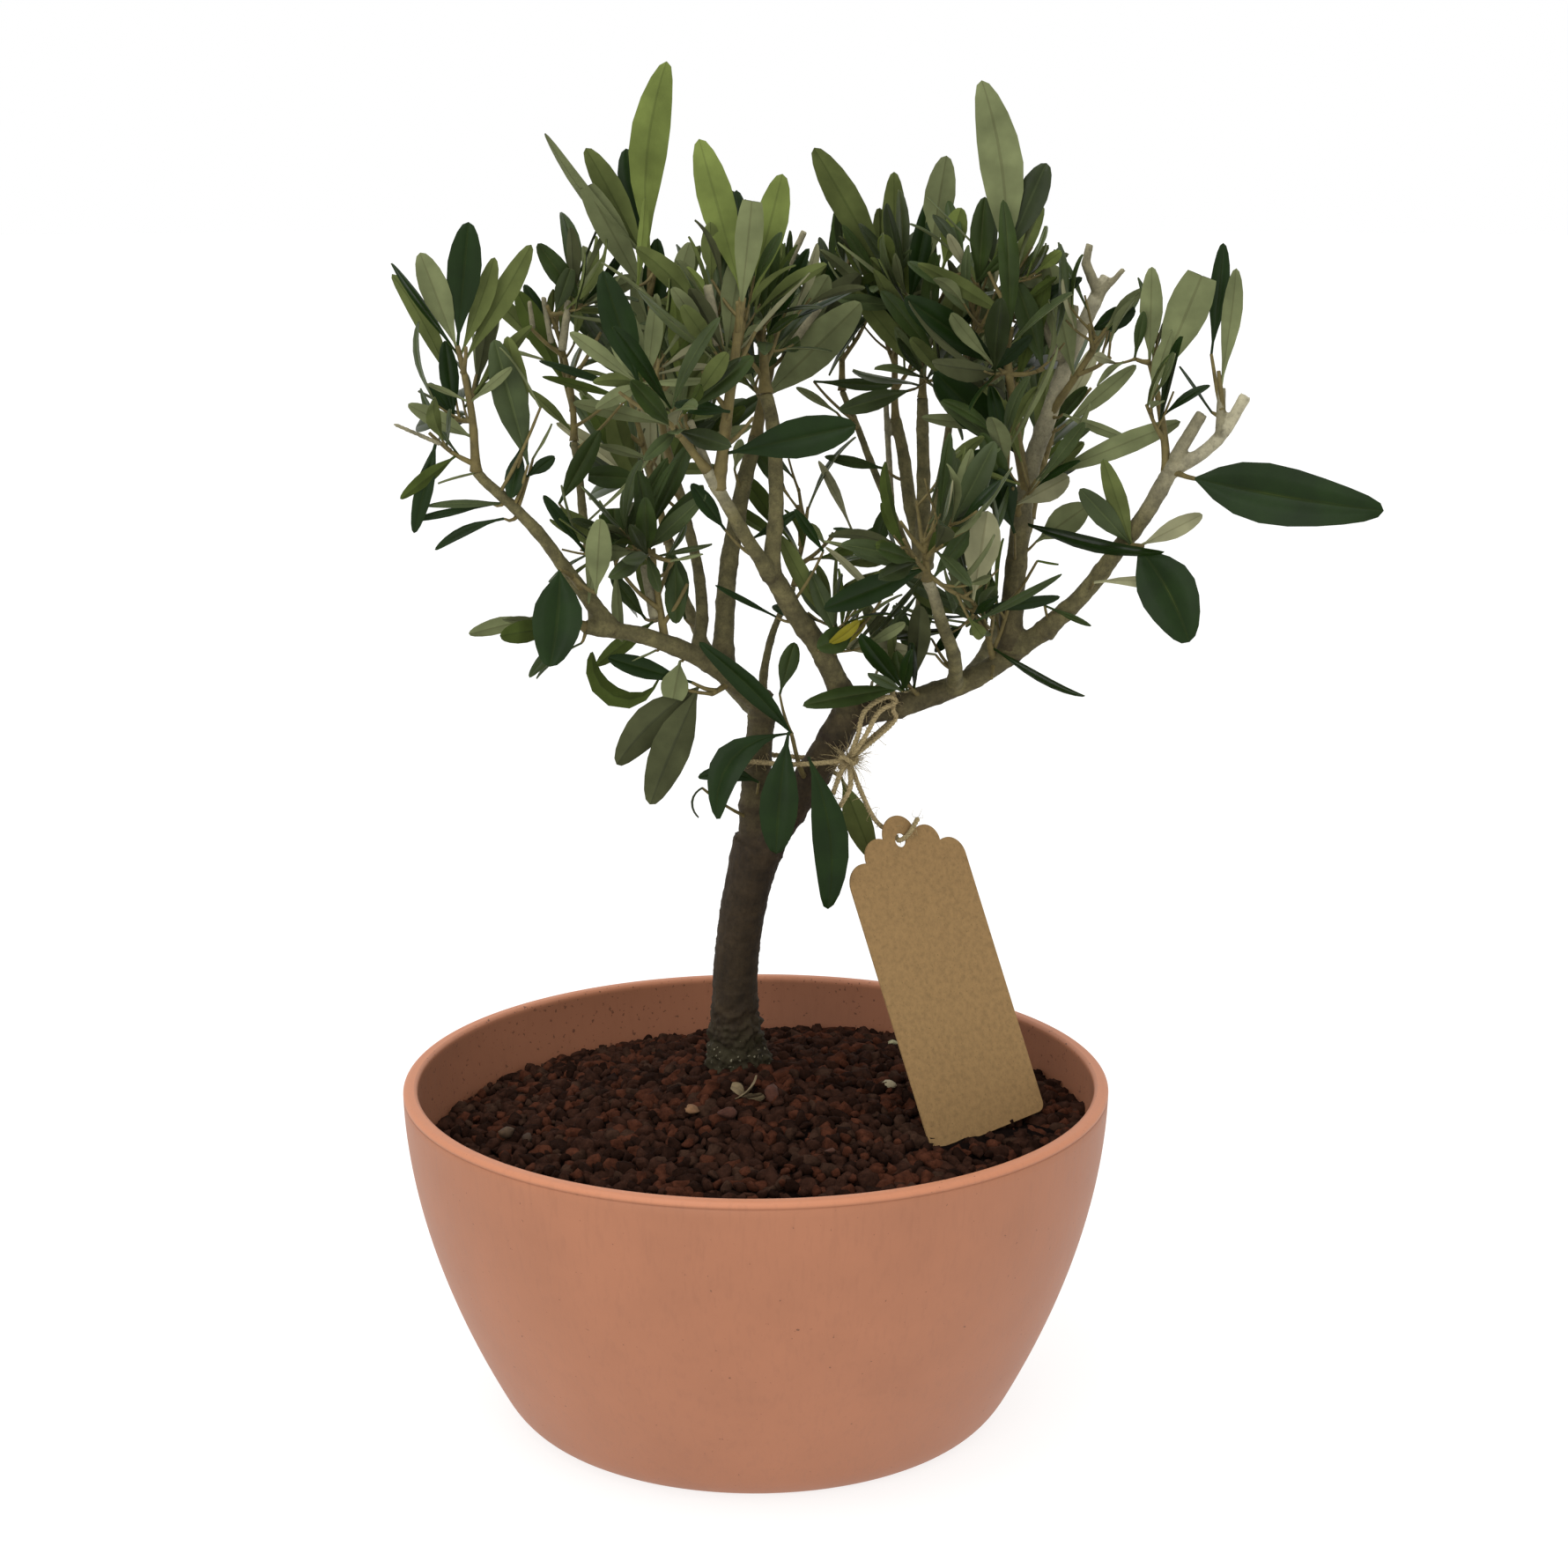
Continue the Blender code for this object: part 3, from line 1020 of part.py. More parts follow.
def twine_lines(limbs):
    """Centre lines of the twine: a loop round both stems, one round the bough, the tie."""
    left, _ = point_along(limbs["left_stem"].line, 0.62)
    right, _ = point_along(limbs["right_stem"].line, 0.62)
    off = 0.9 + TWINE_RADIUS
    left_radius, right_radius = 4.2 + off, 5.1 + off
    stems = [left + Vector((left_radius * math.cos(math.radians(a)),
                            left_radius * math.sin(math.radians(a)), 0))
             for a in (270, 225, 180, 135, 90)]
    stems += [right + Vector((1.2 * right_radius * math.cos(math.radians(a)),
                              right_radius * math.sin(math.radians(a)), 0))
              for a in (90, 45, 0, -40)]
    bough, _ = point_along(limbs["right_bough"].line, 0.2)
    bough_radius = 3.9 + off
    loop = [bough + Vector((0, -bough_radius * math.cos(math.radians(a)),
                            bough_radius * math.sin(math.radians(a))))
            for a in (-60, 0, 60, 120, 180, 240)]
    hole_x, hole_y, _ = TAG_HOLE
    tie = [tag_point(hole_x - 5, hole_y + 9, -2.4), tag_point(hole_x, hole_y + 2, -1.6),
           tag_point(hole_x, hole_y, 0.0), tag_point(hole_x + 3, hole_y + 1.2, 1.6),
           tag_point(hole_x + 7.5, hole_y + 4.5, 1.8)]
    return {
        "stems": [KNOT_PLACE, Vector((12, -9.5, 196)), *stems, KNOT_PLACE],
        "bough": [KNOT_PLACE, *loop, KNOT_PLACE + Vector((0, 0, 1))],
        "tie": [KNOT_PLACE, *tie],
    }


def make_twine(limbs, collection):
    strands = []
    for name, line in twine_lines(limbs).items():
        strands.append(tube_object(f"twine {name}", line, [TWINE_RADIUS] * len(line), 6, collection))
    mesh = bpy.data.meshes.new("twine")
    form = bmesh.new()
    bmesh.ops.create_icosphere(form, subdivisions=1, radius=KNOT_RADIUS * MM)
    bmesh.ops.translate(form, vec=KNOT_PLACE * MM, verts=form.verts)
    form.to_mesh(mesh)
    form.free()
    knot = bpy.data.objects.new("twine", mesh)
    collection.objects.link(knot)
    join_pieces(knot, strands)
    keep_largest_body(knot)
    knot.data.materials.append(plain_material("jute twine", (0.45, 0.36, 0.22), 0.9))
    return knot


def limb_tubes():
    """The trunk and every limb as tubes, each starting on its host's centre line."""
    count = 9
    line = bowed_line(TRUNK_FOOT, TRUNK_REACH, TRUNK_BOW, count)
    radii = []
    for i in range(count + 1):
        t = i / count
        flare = TRUNK_FLARE * math.exp(-t * TRUNK_REACH.length / TRUNK_FLARE_HEIGHT)
        radii.append(TRUNK_RADIUS + flare + TRUNK_FORK_SWELL * t**6)
    limbs = {"trunk": Tube(line, radii, 12)}
    for name, (host, place, reach, bow, foot_radius, tip_radius) in LIMBS.items():
        start, _ = point_along(limbs[host].line, place)
        count = max(3, round(Vector(reach).length / 12))
        line = bowed_line(start, reach, bow, count)
        radii = [foot_radius + (tip_radius - foot_radius) * i / count for i in range(count + 1)]
        limbs[name] = Tube(line, radii, 8 if foot_radius > 2.3 else 6)
    return limbs


def shown_spots(limbs):
    """Points along the limbs that show, as seen from the front: x, z, depth and margin."""
    spots = []
    for name in SHOWN_LIMBS:
        tube = limbs[name]
        for i in range(25):
            point, _ = point_along(tube.line, 0.1 + 0.9 * i / 24)
            spots.append((*seen_from_front(point), point.y, tube.radii[-1] + SHOWN_MARGIN))
    return spots


def grow_masses(limbs, obstacles, blank):
    shown = shown_spots(limbs)
    masses = [Mass(name, settings, limbs, shown) for name, settings in MASSES.items()]
    for mass in masses:
        beyond = mass.stem.line[1:], mass.stem.radii[1:]
        obstacles.add(mass.name, Tube(*beyond, mass.stem.sides).surface(GAP))
    for mass in masses:
        mass.grow_extra_twigs(obstacles)
    for mass in masses:
        mass.grow_marked_leaves(obstacles, blank)
    for row in SEEN_LEAVES:
        foot = Vector(row[0])
        mass = min(masses, key=lambda each: (each.nearest_on_wood(foot) - foot).length)
        mass.grow_seen_leaf(*row, obstacles, blank)
    for mass in masses:
        mass.grow_twigs(obstacles)
    for mass in masses:
        mass.grow_leaves(obstacles, blank)
    return masses


def make_limbs(limbs, collection, cutters, bark):
    """Each limb is cut 0.3 mm clear of its host and of earlier limbs at the same fork."""
    made = []
    for name, tube in limbs.items():
        line = tube.line
        if name == "trunk":
            line = [line[0] + (line[0] - line[1]), *line[1:]]
        obj = tube_object(name, line, tube.radii, tube.sides, collection)
        if name == "trunk":
            cut_away(obj, slab_below(TRUNK_FOOT.z, cutters))
        obj.data.materials.append(bark)
        tree = BVHTree.FromPolygons(*tube.surface())
        for other in made:
            host = limbs[other]
            if tree.overlap(BVHTree.FromPolygons(*host.surface(GAP))):
                cutter = tube_object(f"clear {other}", host.line, host.radii, host.sides,
                                     cutters, grown=GAP)
                cut_away(obj, cutter)
                keep_largest_body(obj)
        made.append(name)


def make_mass(mass, limbs, blank, collection, cutters, foliage):
    stem = mass.stem
    obj = tube_object(mass.name, stem.line, stem.radii, stem.sides, collection)
    pieces = [tube_object(f"twig {i}", twig.line, twig.radii, twig.sides, collection)
              for i, twig in enumerate(mass.twigs)]
    pieces += [leaf_object(f"leaf {i}", leaf, blank, collection)
               for i, leaf in enumerate(mass.leaves)]
    join_pieces(obj, pieces)
    tree = BVHTree.FromPolygons(*stem.surface())
    for name, limb in limbs.items():
        if tree.overlap(BVHTree.FromPolygons(*limb.surface(GAP))):
            cutter = tube_object(f"clear {name}", limb.line, limb.radii, limb.sides, cutters, grown=GAP)
            cut_away(obj, cutter, "MANIFOLD")
            keep_largest_body(obj)
    obj.data.materials.clear()
    obj.data.materials.append(foliage)


def main():
    tree, cutters = start_scene()
    root = bpy.data.objects.new("olive_bonsai_root", None)
    tree.objects.link(root)
    limbs = limb_tubes()
    profile = three_sided_profile(cutters)
    blank = LeafBlank()
    bark = plain_material("olive bark", (0.09, 0.075, 0.05), 0.85)
    foliage = plain_material("olive foliage", (0.1, 0.14, 0.05), 0.5)
    make_pot(tree)
    make_soil(tag_object("tag slot", GAP, cutters), tree, cutters)
    make_tag(tree)
    make_twine(limbs, tree)
    make_limbs(limbs, tree, cutters, bark)
    obstacles = Obstacles()
    for name, tube in limbs.items():
        obstacles.add(name, tube.surface(GAP))
    for name in ("kraft_tag", "twine", "pot", "gravel"):
        mesh = bpy.data.objects[name].data
        place = bpy.data.objects[name].matrix_world
        points = [place @ vert.co / MM for vert in mesh.vertices]
        obstacles.add(name, (points, [tuple(face.vertices) for face in mesh.polygons]))
    for mass in grow_masses(limbs, obstacles, blank):
        make_mass(mass, limbs, blank, tree, cutters, foliage)
    bpy.data.objects.remove(profile, do_unlink=True)
    for obj in tree.objects:
        if obj is not root:
            obj.parent = root


main()
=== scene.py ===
"""The looks of a potted olive bonsai: plastic bowl, lava gravel, bark, twigs, leaves, tag, twine.

It is laid out as an add-on and run as a script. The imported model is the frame; each piece made
here lies on the solids it dresses. Lengths in the tables are millimetres, and MM turns them
into metres when a mesh is made. X runs to the right, Y away from the tagged side, Z up.
"""

import functools
import itertools
import math
import random
from collections import namedtuple
from dataclasses import dataclass

import bmesh
import bpy
import numpy as np
from bpy.props import FloatProperty, FloatVectorProperty, IntProperty, PointerProperty
from mathutils import Matrix, Vector, noise
from mathutils.bvhtree import BVHTree
from mathutils.kdtree import KDTree


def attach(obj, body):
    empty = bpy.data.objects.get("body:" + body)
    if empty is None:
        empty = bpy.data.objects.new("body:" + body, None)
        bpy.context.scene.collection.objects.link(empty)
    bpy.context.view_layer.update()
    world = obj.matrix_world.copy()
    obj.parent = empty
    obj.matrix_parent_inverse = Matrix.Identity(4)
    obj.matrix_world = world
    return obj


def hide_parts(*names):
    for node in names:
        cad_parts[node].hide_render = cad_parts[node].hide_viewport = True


bl_info = {
    "name": "Potted olive bonsai",
    "version": (1, 0, 0),
    "blender": (4, 5, 0),
    "location": "3D View > Sidebar > Olive",
    "description": "Builds the finish of an olive bonsai in a plastic bowl",
    "category": "Object",
}

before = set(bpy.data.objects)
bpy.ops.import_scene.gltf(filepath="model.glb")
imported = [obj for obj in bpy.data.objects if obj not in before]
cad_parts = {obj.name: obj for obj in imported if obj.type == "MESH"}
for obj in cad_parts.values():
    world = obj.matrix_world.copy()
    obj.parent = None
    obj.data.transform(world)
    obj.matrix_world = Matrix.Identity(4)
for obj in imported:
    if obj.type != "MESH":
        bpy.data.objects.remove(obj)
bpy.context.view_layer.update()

MM = 0.001
UP = Vector((0, 0, 1))

# The bowl: height, rim and foot radius, belly, corner at the foot, wall, lip, seam with its
# groove as (inwards, upwards), the height where its inside ends, and the pinhole on its axis.
POT_HEIGHT = 100.0
POT_RIM_RADIUS = 103.0
POT_FOOT_RADIUS = 64.0
POT_BELLY_SWELL = 31.4
POT_BELLY_POWER = 1.85
POT_CORNER_HEIGHT = 9.0
POT_WALL = 4.2
POT_LIP = 1.5
POT_LIP_DROP = 1.35
POT_INNER_ROUND = 1.1
POT_SEAM = 2.0
POT_INNER_FOOT = 60.0
POT_AXIS = 0.02
POT_SEAM_GROOVE = ((0.14, -0.2), (0.32, -0.06), (0.32, 0.06), (0.1, 0.22))

# The gravel: a mound that leans down to the left. Its granules lie in two layers of
# staggered rows, clear of the trunk and of the card's face, over a near-black bed that paints
# the shade in the gaps.
SOIL_EDGE_HEIGHT = 83.0
SOIL_RISE = 17.0
SOIL_POWER = 1.3
SOIL_LEAN = 0.036
SOIL_LUMP = 0.9
SOIL_LUMP_STEP = 21.0
ROW_SHARE = 0.87
GRANULE_STRAY = (-0.9, 0.9)
GRANULE_SHARES = (0.5, 0.65, 0.8, 0.9, 1.0, 1.15, 1.3)
GRANULE_LIFTS = (0.6, -1.6)
TRUNK_CLEAR = 7.5
CARD_CLEAR = 8.0
NEAR_PLANE = 30.0
BED_REACH = 97
BED_RINGS = 30
BED_SIDES = 120
BED_DEPTH = 2.2

# The tag: its soft edge, the cells it is cut into so that it can bow, its corners, lobes as
# (x, y, radius) and hole, and how it stands: foot, then turn, lean and roll in degrees.
TAG_WIDTH = 45.0
TAG_THICKNESS = 0.6
TAG_SOFT_EDGE = 0.08
TAG_CELL = 4
TAG_CUTS = 24
TAG_CUT_START = -24
TAG_CORNER = 2.5
TAG_LOBES = ((16.4, 78.5, 6.1), (9.0, 84.8, 5.4), (0.0, 89.0, 6.0))
TAG_HOLE = (0.0, 87.8, 2.1)
TAG_FOOT = Vector((67.4, -20.0, 89.8))
TAG_TURN = (39.1, -21.8, -4.5)

# The twine: its knot, how far its middle lies off the bark, one turn of its plies, and the
# radii along a loose fibre.
KNOT_PLACE = Vector((26.5, -9.0, 197.0))
TWINE_OFF = 1.2
PLY_TURN = 3.4
FIBRE_RADII = (0.08, 0.08, 0.07, 0.06, 0.05, 0.03)

# Limbs: host, place along the host, reach, bow at mid length, foot radius, tip radius.
LIMBS = {
    "left_stem": ("trunk", 0.96, (2, -7, 46), (-1, 0, 0), 4.4, 3.8),
    "right_stem": ("trunk", 0.95, (28, -10, 46), (1, 0, -1), 5.3, 4.6),
    "left_bough": ("left_stem", 0.98, (-49, -20, 26), (2, 0, 4.5), 3.2, 2.1),
    "left_outer_bough": ("left_bough", 0.87, (-35.5, -14, 46.5), (1, 0, 1), 2.3, 1.4),
    "left_inner_bough": ("left_bough", 0.95, (-7, 25, 49), (0, 5, -2), 1.6, 1.1),
    "left_back_bough": ("left_bough", 0.42, (-8, 31, 49), (4, 0, -3), 2.0, 1.3),
    "left_upright": ("left_bough", 0.26, (9, 33, 63), (-2.5, 2, 0), 3.0, 2.2),
    "thin_bough": ("left_stem", 0.98, (9, 23, 30), (-3, 2, -1), 1.4, 0.9),
    "cross_bough": ("right_stem", 0.97, (-23.5, -24, 44), (1, -1, 0), 3.4, 2.7),
    "cross_upright": ("cross_bough", 0.97, (-1.5, 8, 49), (2, 0, 0), 2.3, 1.9),
    "cross_front_bough": ("cross_bough", 0.97, (-17, -15, 31), (0, -2, 0), 2.1, 1.7),
    "right_bough": ("right_stem", 0.96, (56, 4, 23), (0, 3, -6), 3.8, 2.8),
    "right_outer_bough": ("right_bough", 0.98, (34, -14, 50), (2, 0, -2), 2.6, 2.3),
    "right_tip_fork": ("right_outer_bough", 0.97, (19, -7, 21), (1.5, 0, -3), 2.0, 1.6),
    "tall_bough": ("right_bough", 0.8, (26.5, 16, 105.5), (-7.5, 2, 0), 3.4, 2.0),
    "back_bough": ("right_stem", 0.97, (22, 38, 36), (5, 2, -7), 2.1, 1.8),
    "back_first_upright": ("back_bough", 0.96, (-8, 13, 43), (0, 0, 0), 2.4, 1.7),
    "back_second_upright": ("back_bough", 0.98, (-1, -2, 50), (0, 1, 0), 2.4, 1.7),
    "back_third_upright": ("back_bough", 0.9, (7, -11, 49), (0, 0, 0), 1.6, 1.1),
    "back_far_upright": ("back_bough", 0.86, (-23, 32, 55), (2, 2, -4), 1.5, 1.0),
    "front_bough": ("right_bough", 0.5, (-9.5, -31, 36), (2.5, -4, -2), 2.2, 1.6),
    "rear_left_bough": ("left_stem", 0.9, (-28, 50, 42), (-3, 4, -6), 2.2, 1.4),
    "rear_right_bough": ("right_bough", 0.55, (22, 48, 40), (2, 6, -6), 2.0, 1.3),
}

# The trunk: foot, reach and bow of its centre line, then the radii that shape it.
TRUNK_FOOT = Vector((-5.4, 18.0, 97.8))
TRUNK_REACH = Vector((6.4, -10.0, 71.2))
TRUNK_BOW = Vector((-3.5, 0.0, 0.0))
TRUNK_RADIUS = 6.5
TRUNK_FLARE = 3.4
TRUNK_FLARE_HEIGHT = 9.0
TRUNK_FORK_SWELL = 1.2

# Masses of foliage. Room is how far they spread round their stem, and an extra twig is its
# place along the stem and its reach.
Plan = namedtuple("Plan", "host place reach bow radius twigs twig_length leaves leaf_length room"
                          " extra_twigs", defaults=[()])
MASSES = {
    "top_left_spray": ("left_back_bough", 1.0, (-5, -14, 61), (-2, 0, 0), 1.2, 5, 20, 8, 38, 40),
    "left_tip_spray": ("left_outer_bough", 1.0, (-4, -3, 34), (1, 0, 0), 1.3, 3, 13, 5, 29, 32,
                       ((0.05, (-12, -3, 9)),)),
    "left_inner_spray": ("left_inner_bough", 1.0, (-7, 0, 38), (2, 2, 0), 1.0, 4, 18, 8, 34, 32),
    "left_low_spray": ("left_bough", 1.0, (-13, -6, 4), (0, 0, 1), 1.2, 0, 12, 1, 25, 24,
                       ((0.3, (-3, -3, -5)),)),
    "left_front_spray": ("left_outer_bough", 0.25, (-5, -15, 8), (0, 0, 1), 1.0, 0, 10, 0, 28, 26,
                         ((0.5, (7, -4, -4)),)),
    "front_left_spray": ("cross_front_bough", 1.0, (-18, -6, 24), (0, -1, 0), 1.2, 4, 16, 8, 34, 32),
    "centre_spray": ("cross_front_bough", 0.85, (7, -4, 51), (0, -2, 0), 1.8, 4, 15, 7, 34, 32,
                     ((0.6, (-5, 8, 12)), (0.62, (4, 8, 16)))),
    "cross_top_spray": ("cross_upright", 1.0, (-1, 4, 17), (0, 0, 0), 1.6, 4, 16, 9, 34, 32),
    "centre_back_spray": ("left_upright", 1.0, (11, 6, 45), (-1, 1, 0), 1.6, 4, 19, 8, 36, 36),
    "left_hanging_spray": ("left_bough", 0.2, (-6, -6, -3), (0, 0, 0), 1.2, 0, 10, 0, 28, 34,
                           ((0.8, (-7, -2, 3)),)),
    "left_middle_spray": ("left_bough", 0.6, (-4, 4, 26), (0, 0, 0), 1.2, 5, 17, 8, 33, 32),
    "fork_spray": ("right_stem", 0.5, (-5, -16, 18), (0, -1, -2), 1.0, 0, 8, 0, 30, 40),
    "stem_side_spray": ("right_stem", 0.6, (7, 7, -5), (1, 1, 0), 0.9, 0, 8, 0, 24, 30),
    "far_back_spray": ("back_far_upright", 1.0, (-1, 0, 40), (0, 3, 0), 1.0, 4, 19, 8, 36, 34),
    "middle_spray": ("back_first_upright", 1.0, (-1, -3, 39), (0, 0, 0), 1.1, 4, 17, 8, 36, 32),
    "middle_right_spray": ("back_second_upright", 1.0, (1, -3, 37), (0, 0, 0), 1.1, 4, 17, 8, 36, 32),
    "inner_right_spray": ("back_third_upright", 1.0, (8, -9, 36), (0, 0, 0), 1.0, 4, 17, 8, 34, 30,
                          ((0.2, (14, -6, 8)),)),
    "tall_left_spray": ("tall_bough", 0.42, (-8, -12, 66), (-2, -2, 0), 1.6, 4, 17, 8, 36, 34),
    "tall_low_spray": ("tall_bough", 0.34, (-5, -9, 14), (0, 0, 0), 1.2, 3, 14, 5, 32, 34,
                       ((0.3, (5, -5, 9)),)),
    "tall_tip_spray": ("tall_bough", 0.6, (16, -7, 27), (0, 0, 0), 1.3, 3, 12, 5, 24, 28),
    "right_tip_spray": ("right_outer_bough", 0.93, (-6, -3, 32), (1, 0, 0), 1.3, 2, 14, 4, 28, 28),
    "right_edge_spray": ("right_tip_fork", 0.55, (-1, -2, 18), (1, 0, 0), 1.0, 0, 10, 0, 26, 26,
                         ((0.4, (-3, 3, 15)),)),
    "right_far_spray": ("right_outer_bough", 0.96, (6, -8, -1), (0, 0, 0), 1.0, 0, 8, 0, 26, 60),
    "right_low_spray": ("right_outer_bough", 0.55, (5, -7, 1), (0, 0, 0), 1.1, 0, 12, 0, 26, 34,
                        ((0.4, (-3, -1, 6)),)),
    "right_inner_spray": ("right_bough", 0.71, (-4, -6, 16), (0, -1, 0), 1.1, 3, 15, 7, 32, 28,
                          ((0.1, (-1, -7, -4)),)),
    "front_spray": ("front_bough", 1.0, (-1, -4, 12), (0, 0, 0), 1.2, 5, 18, 8, 32, 34,
                    ((0.15, (13, 2, -8)),)),
    "right_foot_spray": ("right_bough", 0.34, (-5, -8, 6), (0, 0, 0), 0.9, 0, 11, 1, 26, 40),
    "cross_low_spray": ("cross_bough", 0.35, (8, -5, 10), (0, 0, 0), 0.9, 1, 12, 3, 28, 26),
    "thin_bough_spray": ("thin_bough", 1.0, (4, 8, 22), (0, 0, 0), 0.8, 3, 17, 7, 33, 30),
    "rear_left_spray": ("rear_left_bough", 1.0, (-12, 14, 42), (0, 3, 0), 1.3, 5, 26, 13, 38, 46),
    "rear_right_spray": ("rear_right_bough", 1.0, (12, 8, 42), (0, 3, 0), 1.2, 5, 24, 13, 38, 44),
}

# Leaves that the eye knows the tree by: foot, tip, width, turn of the blade about its own
# axis, from 0, upper face to the front, to 180, underside to the front, and tint. A last
# number is the share of its length at which the blade was clipped.
MARKED_LEAVES = {
    "top_left_spray": (
        ((-32, 10, 346), (-24, 6, 390), 10.9, 170, "young"),
        ((-35, 8, 341), (-55, -6, 373), 6.8, 130, "silver"),
        ((-34, 14, 344), (-36, 20, 366), 8.6, 0, "deep"),
        ((-41, 12, 334), (-46, 10, 367), 7.8, 160, "leaf"),
        ((-45, 4, 322), (-46, 0, 357), 7.8, 175, "silver", 0.93),
        ((-17, 16, 315), (-27, 10, 342), 7.4, -20, "deep"),
    ),
    "centre_spray": (
        ((-9, -34, 338), (-14, -30, 370), 9.3, 175, "young"),
        ((-1, -34, 337), (8, -30, 361), 8.9, 170, "young"),
        ((-4, -31, 338), (-4, -24, 357), 6.1, 30, "deep"),
        ((-5, -42, 325), (0, -46, 355), 7.4, 170, "silver", 0.88),
        ((-9, -41, 288), (27, -50, 297), 10.7, 0, "deep"),
    ),
    "centre_back_spray": (
        ((1, 26, 296), (30, 14, 324), 11.5, 170, "silver"),
        ((0, 31, 307), (22, 24, 331), 9.6, 160, "silver"),
        ((5, 32, 320), (10, 30, 343), 5.0, 60, "leaf"),
    ),
    "front_left_spray": (
        ((-32, -47, 306), (-39, -50, 337), 8.8, 0, "deep"),
        ((-9, -45, 304), (-32, -52, 309), 5.6, 20, "leaf"),
    ),
    "left_tip_spray": (
        ((-80, -33, 314), (-88, -36, 341), 8.0, 165, "silver"),
        ((-78, -33, 316), (-75, -36, 349), 8.9, 0, "deep"),
        ((-74, -33, 314), (-68, -30, 339), 6.5, 150, "leaf"),
        ((-73, -32, 312), (-59, -26, 342), 6.5, 170, "leaf"),
        ((-80, -33, 313), (-96, -36, 338), 5.0, 70, "deep"),
        ((-77, -32, 291), (-92, -38, 301), 5.7, 160, "silver"),
        ((-80, -33, 286), (-95, -38, 276), 4.6, 150, "deep"),
        ((-86, -34, 290), (-92, -35, 266), 4.8, 0, "deep"),
    ),
    "left_low_spray": (
        ((-60, -25, 242), (-78, -32, 238), 5.2, 160, "silver"),
        ((-53, -22, 237), (-62, -28, 225), 4.6, 50, "leaf"),
    ),
    "left_front_spray": (
        ((-54, -37, 262), (-55, -44, 231), 13.2, 0, "deep"),
        ((-46, -38, 249), (-41, -42, 271), 7.1, 175, "silver"),
    ),
    "left_hanging_spray": (
        ((-15, -9, 219), (-39, -14, 197), 10.4, 175, "dusk"),
        ((-16, -11, 217), (-30, -20, 187), 11.4, 165, "dusk"),
        ((-22, -11, 221), (-41, -16, 228), 5.9, 20, "deep"),
    ),
    "fork_spray": (
        ((10, -13, 207), (-16, -16, 231), 6.9, -20, "deep"),
        ((12, -13, 207), (-11, -20, 183), 9.4, 20, "deep"),
        ((12, -15, 206), (6, -22, 173), 10.6, 0, "deep"),
        ((15, -13, 202), (21, -20, 156), 10.0, -10, "deep"),
    ),
    "stem_side_spray": (
        ((29, 10, 187), (34, 12, 163), 7.7, 170, "leaf"),
    ),
    "middle_spray": (
        ((39, 46, 328), (17, 40, 366), 9.7, 165, "leaf"),
        ((40, 46, 329), (40, 44, 359), 7.1, 175, "leaf"),
    ),
    "middle_right_spray": (
        ((48, 31, 334), (54, 26, 364), 8.5, 170, "silver"),
    ),
    "inner_right_spray": (
        ((71, 10, 302), (42, 2, 326), 9.3, 0, "deep"),
    ),
    "tall_left_spray": (
        ((71, 3, 336), (62, 0, 385), 11.6, 175, "silver"),
        ((72, 4, 337), (80, 2, 363), 8.7, -20, "dusk"),
        ((78, 7, 281), (50, 2, 306), 10.9, 0, "deep"),
    ),
    "tall_low_spray": (
        ((77, 3, 256), (112, -19, 257), 6.4, 40, "deep"),
        ((79, 2, 276), (118, -6, 293), 6.4, 150, "silver"),
        ((73, 3, 264), (88, -3, 277), 7.4, 170, "pale"),
    ),
    "right_tip_spray": (
        ((107, -15, 312), (108, -16, 336), 6.2, 160, "silver"),
        ((111, -15, 303), (121, -20, 334), 11.0, 175, "silver", 0.86),
    ),
    "right_edge_spray": (
        ((127, -16, 303), (131, -20, 336), 5.6, 150, "silver"),
        ((124, -14, 317), (128, -12, 342), 5.6, 20, "deep"),
    ),
    "right_far_spray": (
        ((120, -20, 282), (170, -34, 272), 16.0, -5, "deep"),
    ),
    "right_low_spray": (
        ((103, -12, 262), (120, -22, 234), 15.6, 5, "deep"),
        ((102, -10, 263), (90, -14, 275), 6.4, 0, "silver"),
        ((100, -11, 265), (96, -15, 284), 5.6, 170, "leaf"),
        ((106, -11, 261), (124, -14, 268), 5.4, 160, "pale"),
    ),
    "right_inner_spray": (
        ((70, -4, 226), (91, -14, 215), 5.0, 50, "deep"),
    ),
    "front_spray": (
        ((44, -32, 254), (19, -44, 247), 7.6, 0, "deep"),
        ((60, -27, 241), (63, -36, 272), 9.6, 175, "pale"),
    ),
    "right_foot_spray": (
        ((50, -5, 220), (14, -20, 216), 6.2, 40, "leaf"),
    ),
    "cross_low_spray": (
        ((31, -18, 236), (18, -26, 233), 7.3, 10, "leaf"),
    ),
}

# How some marked leaves bow aside, as a share of their length, and where they are broadest.
LEAF_HABITS = {
    ("fork_spray", 0): (0.05, 0.5), ("fork_spray", 1): (0.25, 0.6),
    ("fork_spray", 2): (0.02, 0.6), ("fork_spray", 3): (-0.07, 0.55),
    ("right_far_spray", 0): (0.015, 0.4), ("right_low_spray", 0): (-0.06, 0.5),
    ("left_front_spray", 0): (-0.03, 0.5), ("top_left_spray", 0): (-0.06, 0.6),
    ("tall_left_spray", 0): (0.05, 0.55), ("left_hanging_spray", 0): (0.06, 0.55),
    ("top_left_spray", 1): (-0.08, 0.5), ("tall_low_spray", 0): (0.03, 0.5),
}

# Marked leaves that hang from a petiole of their own: mass and index, foot.
LEAF_FEET = {("fork_spray", 3): (15, -17, 200), ("fork_spray", 2): (9.5, -16.5, 207)}

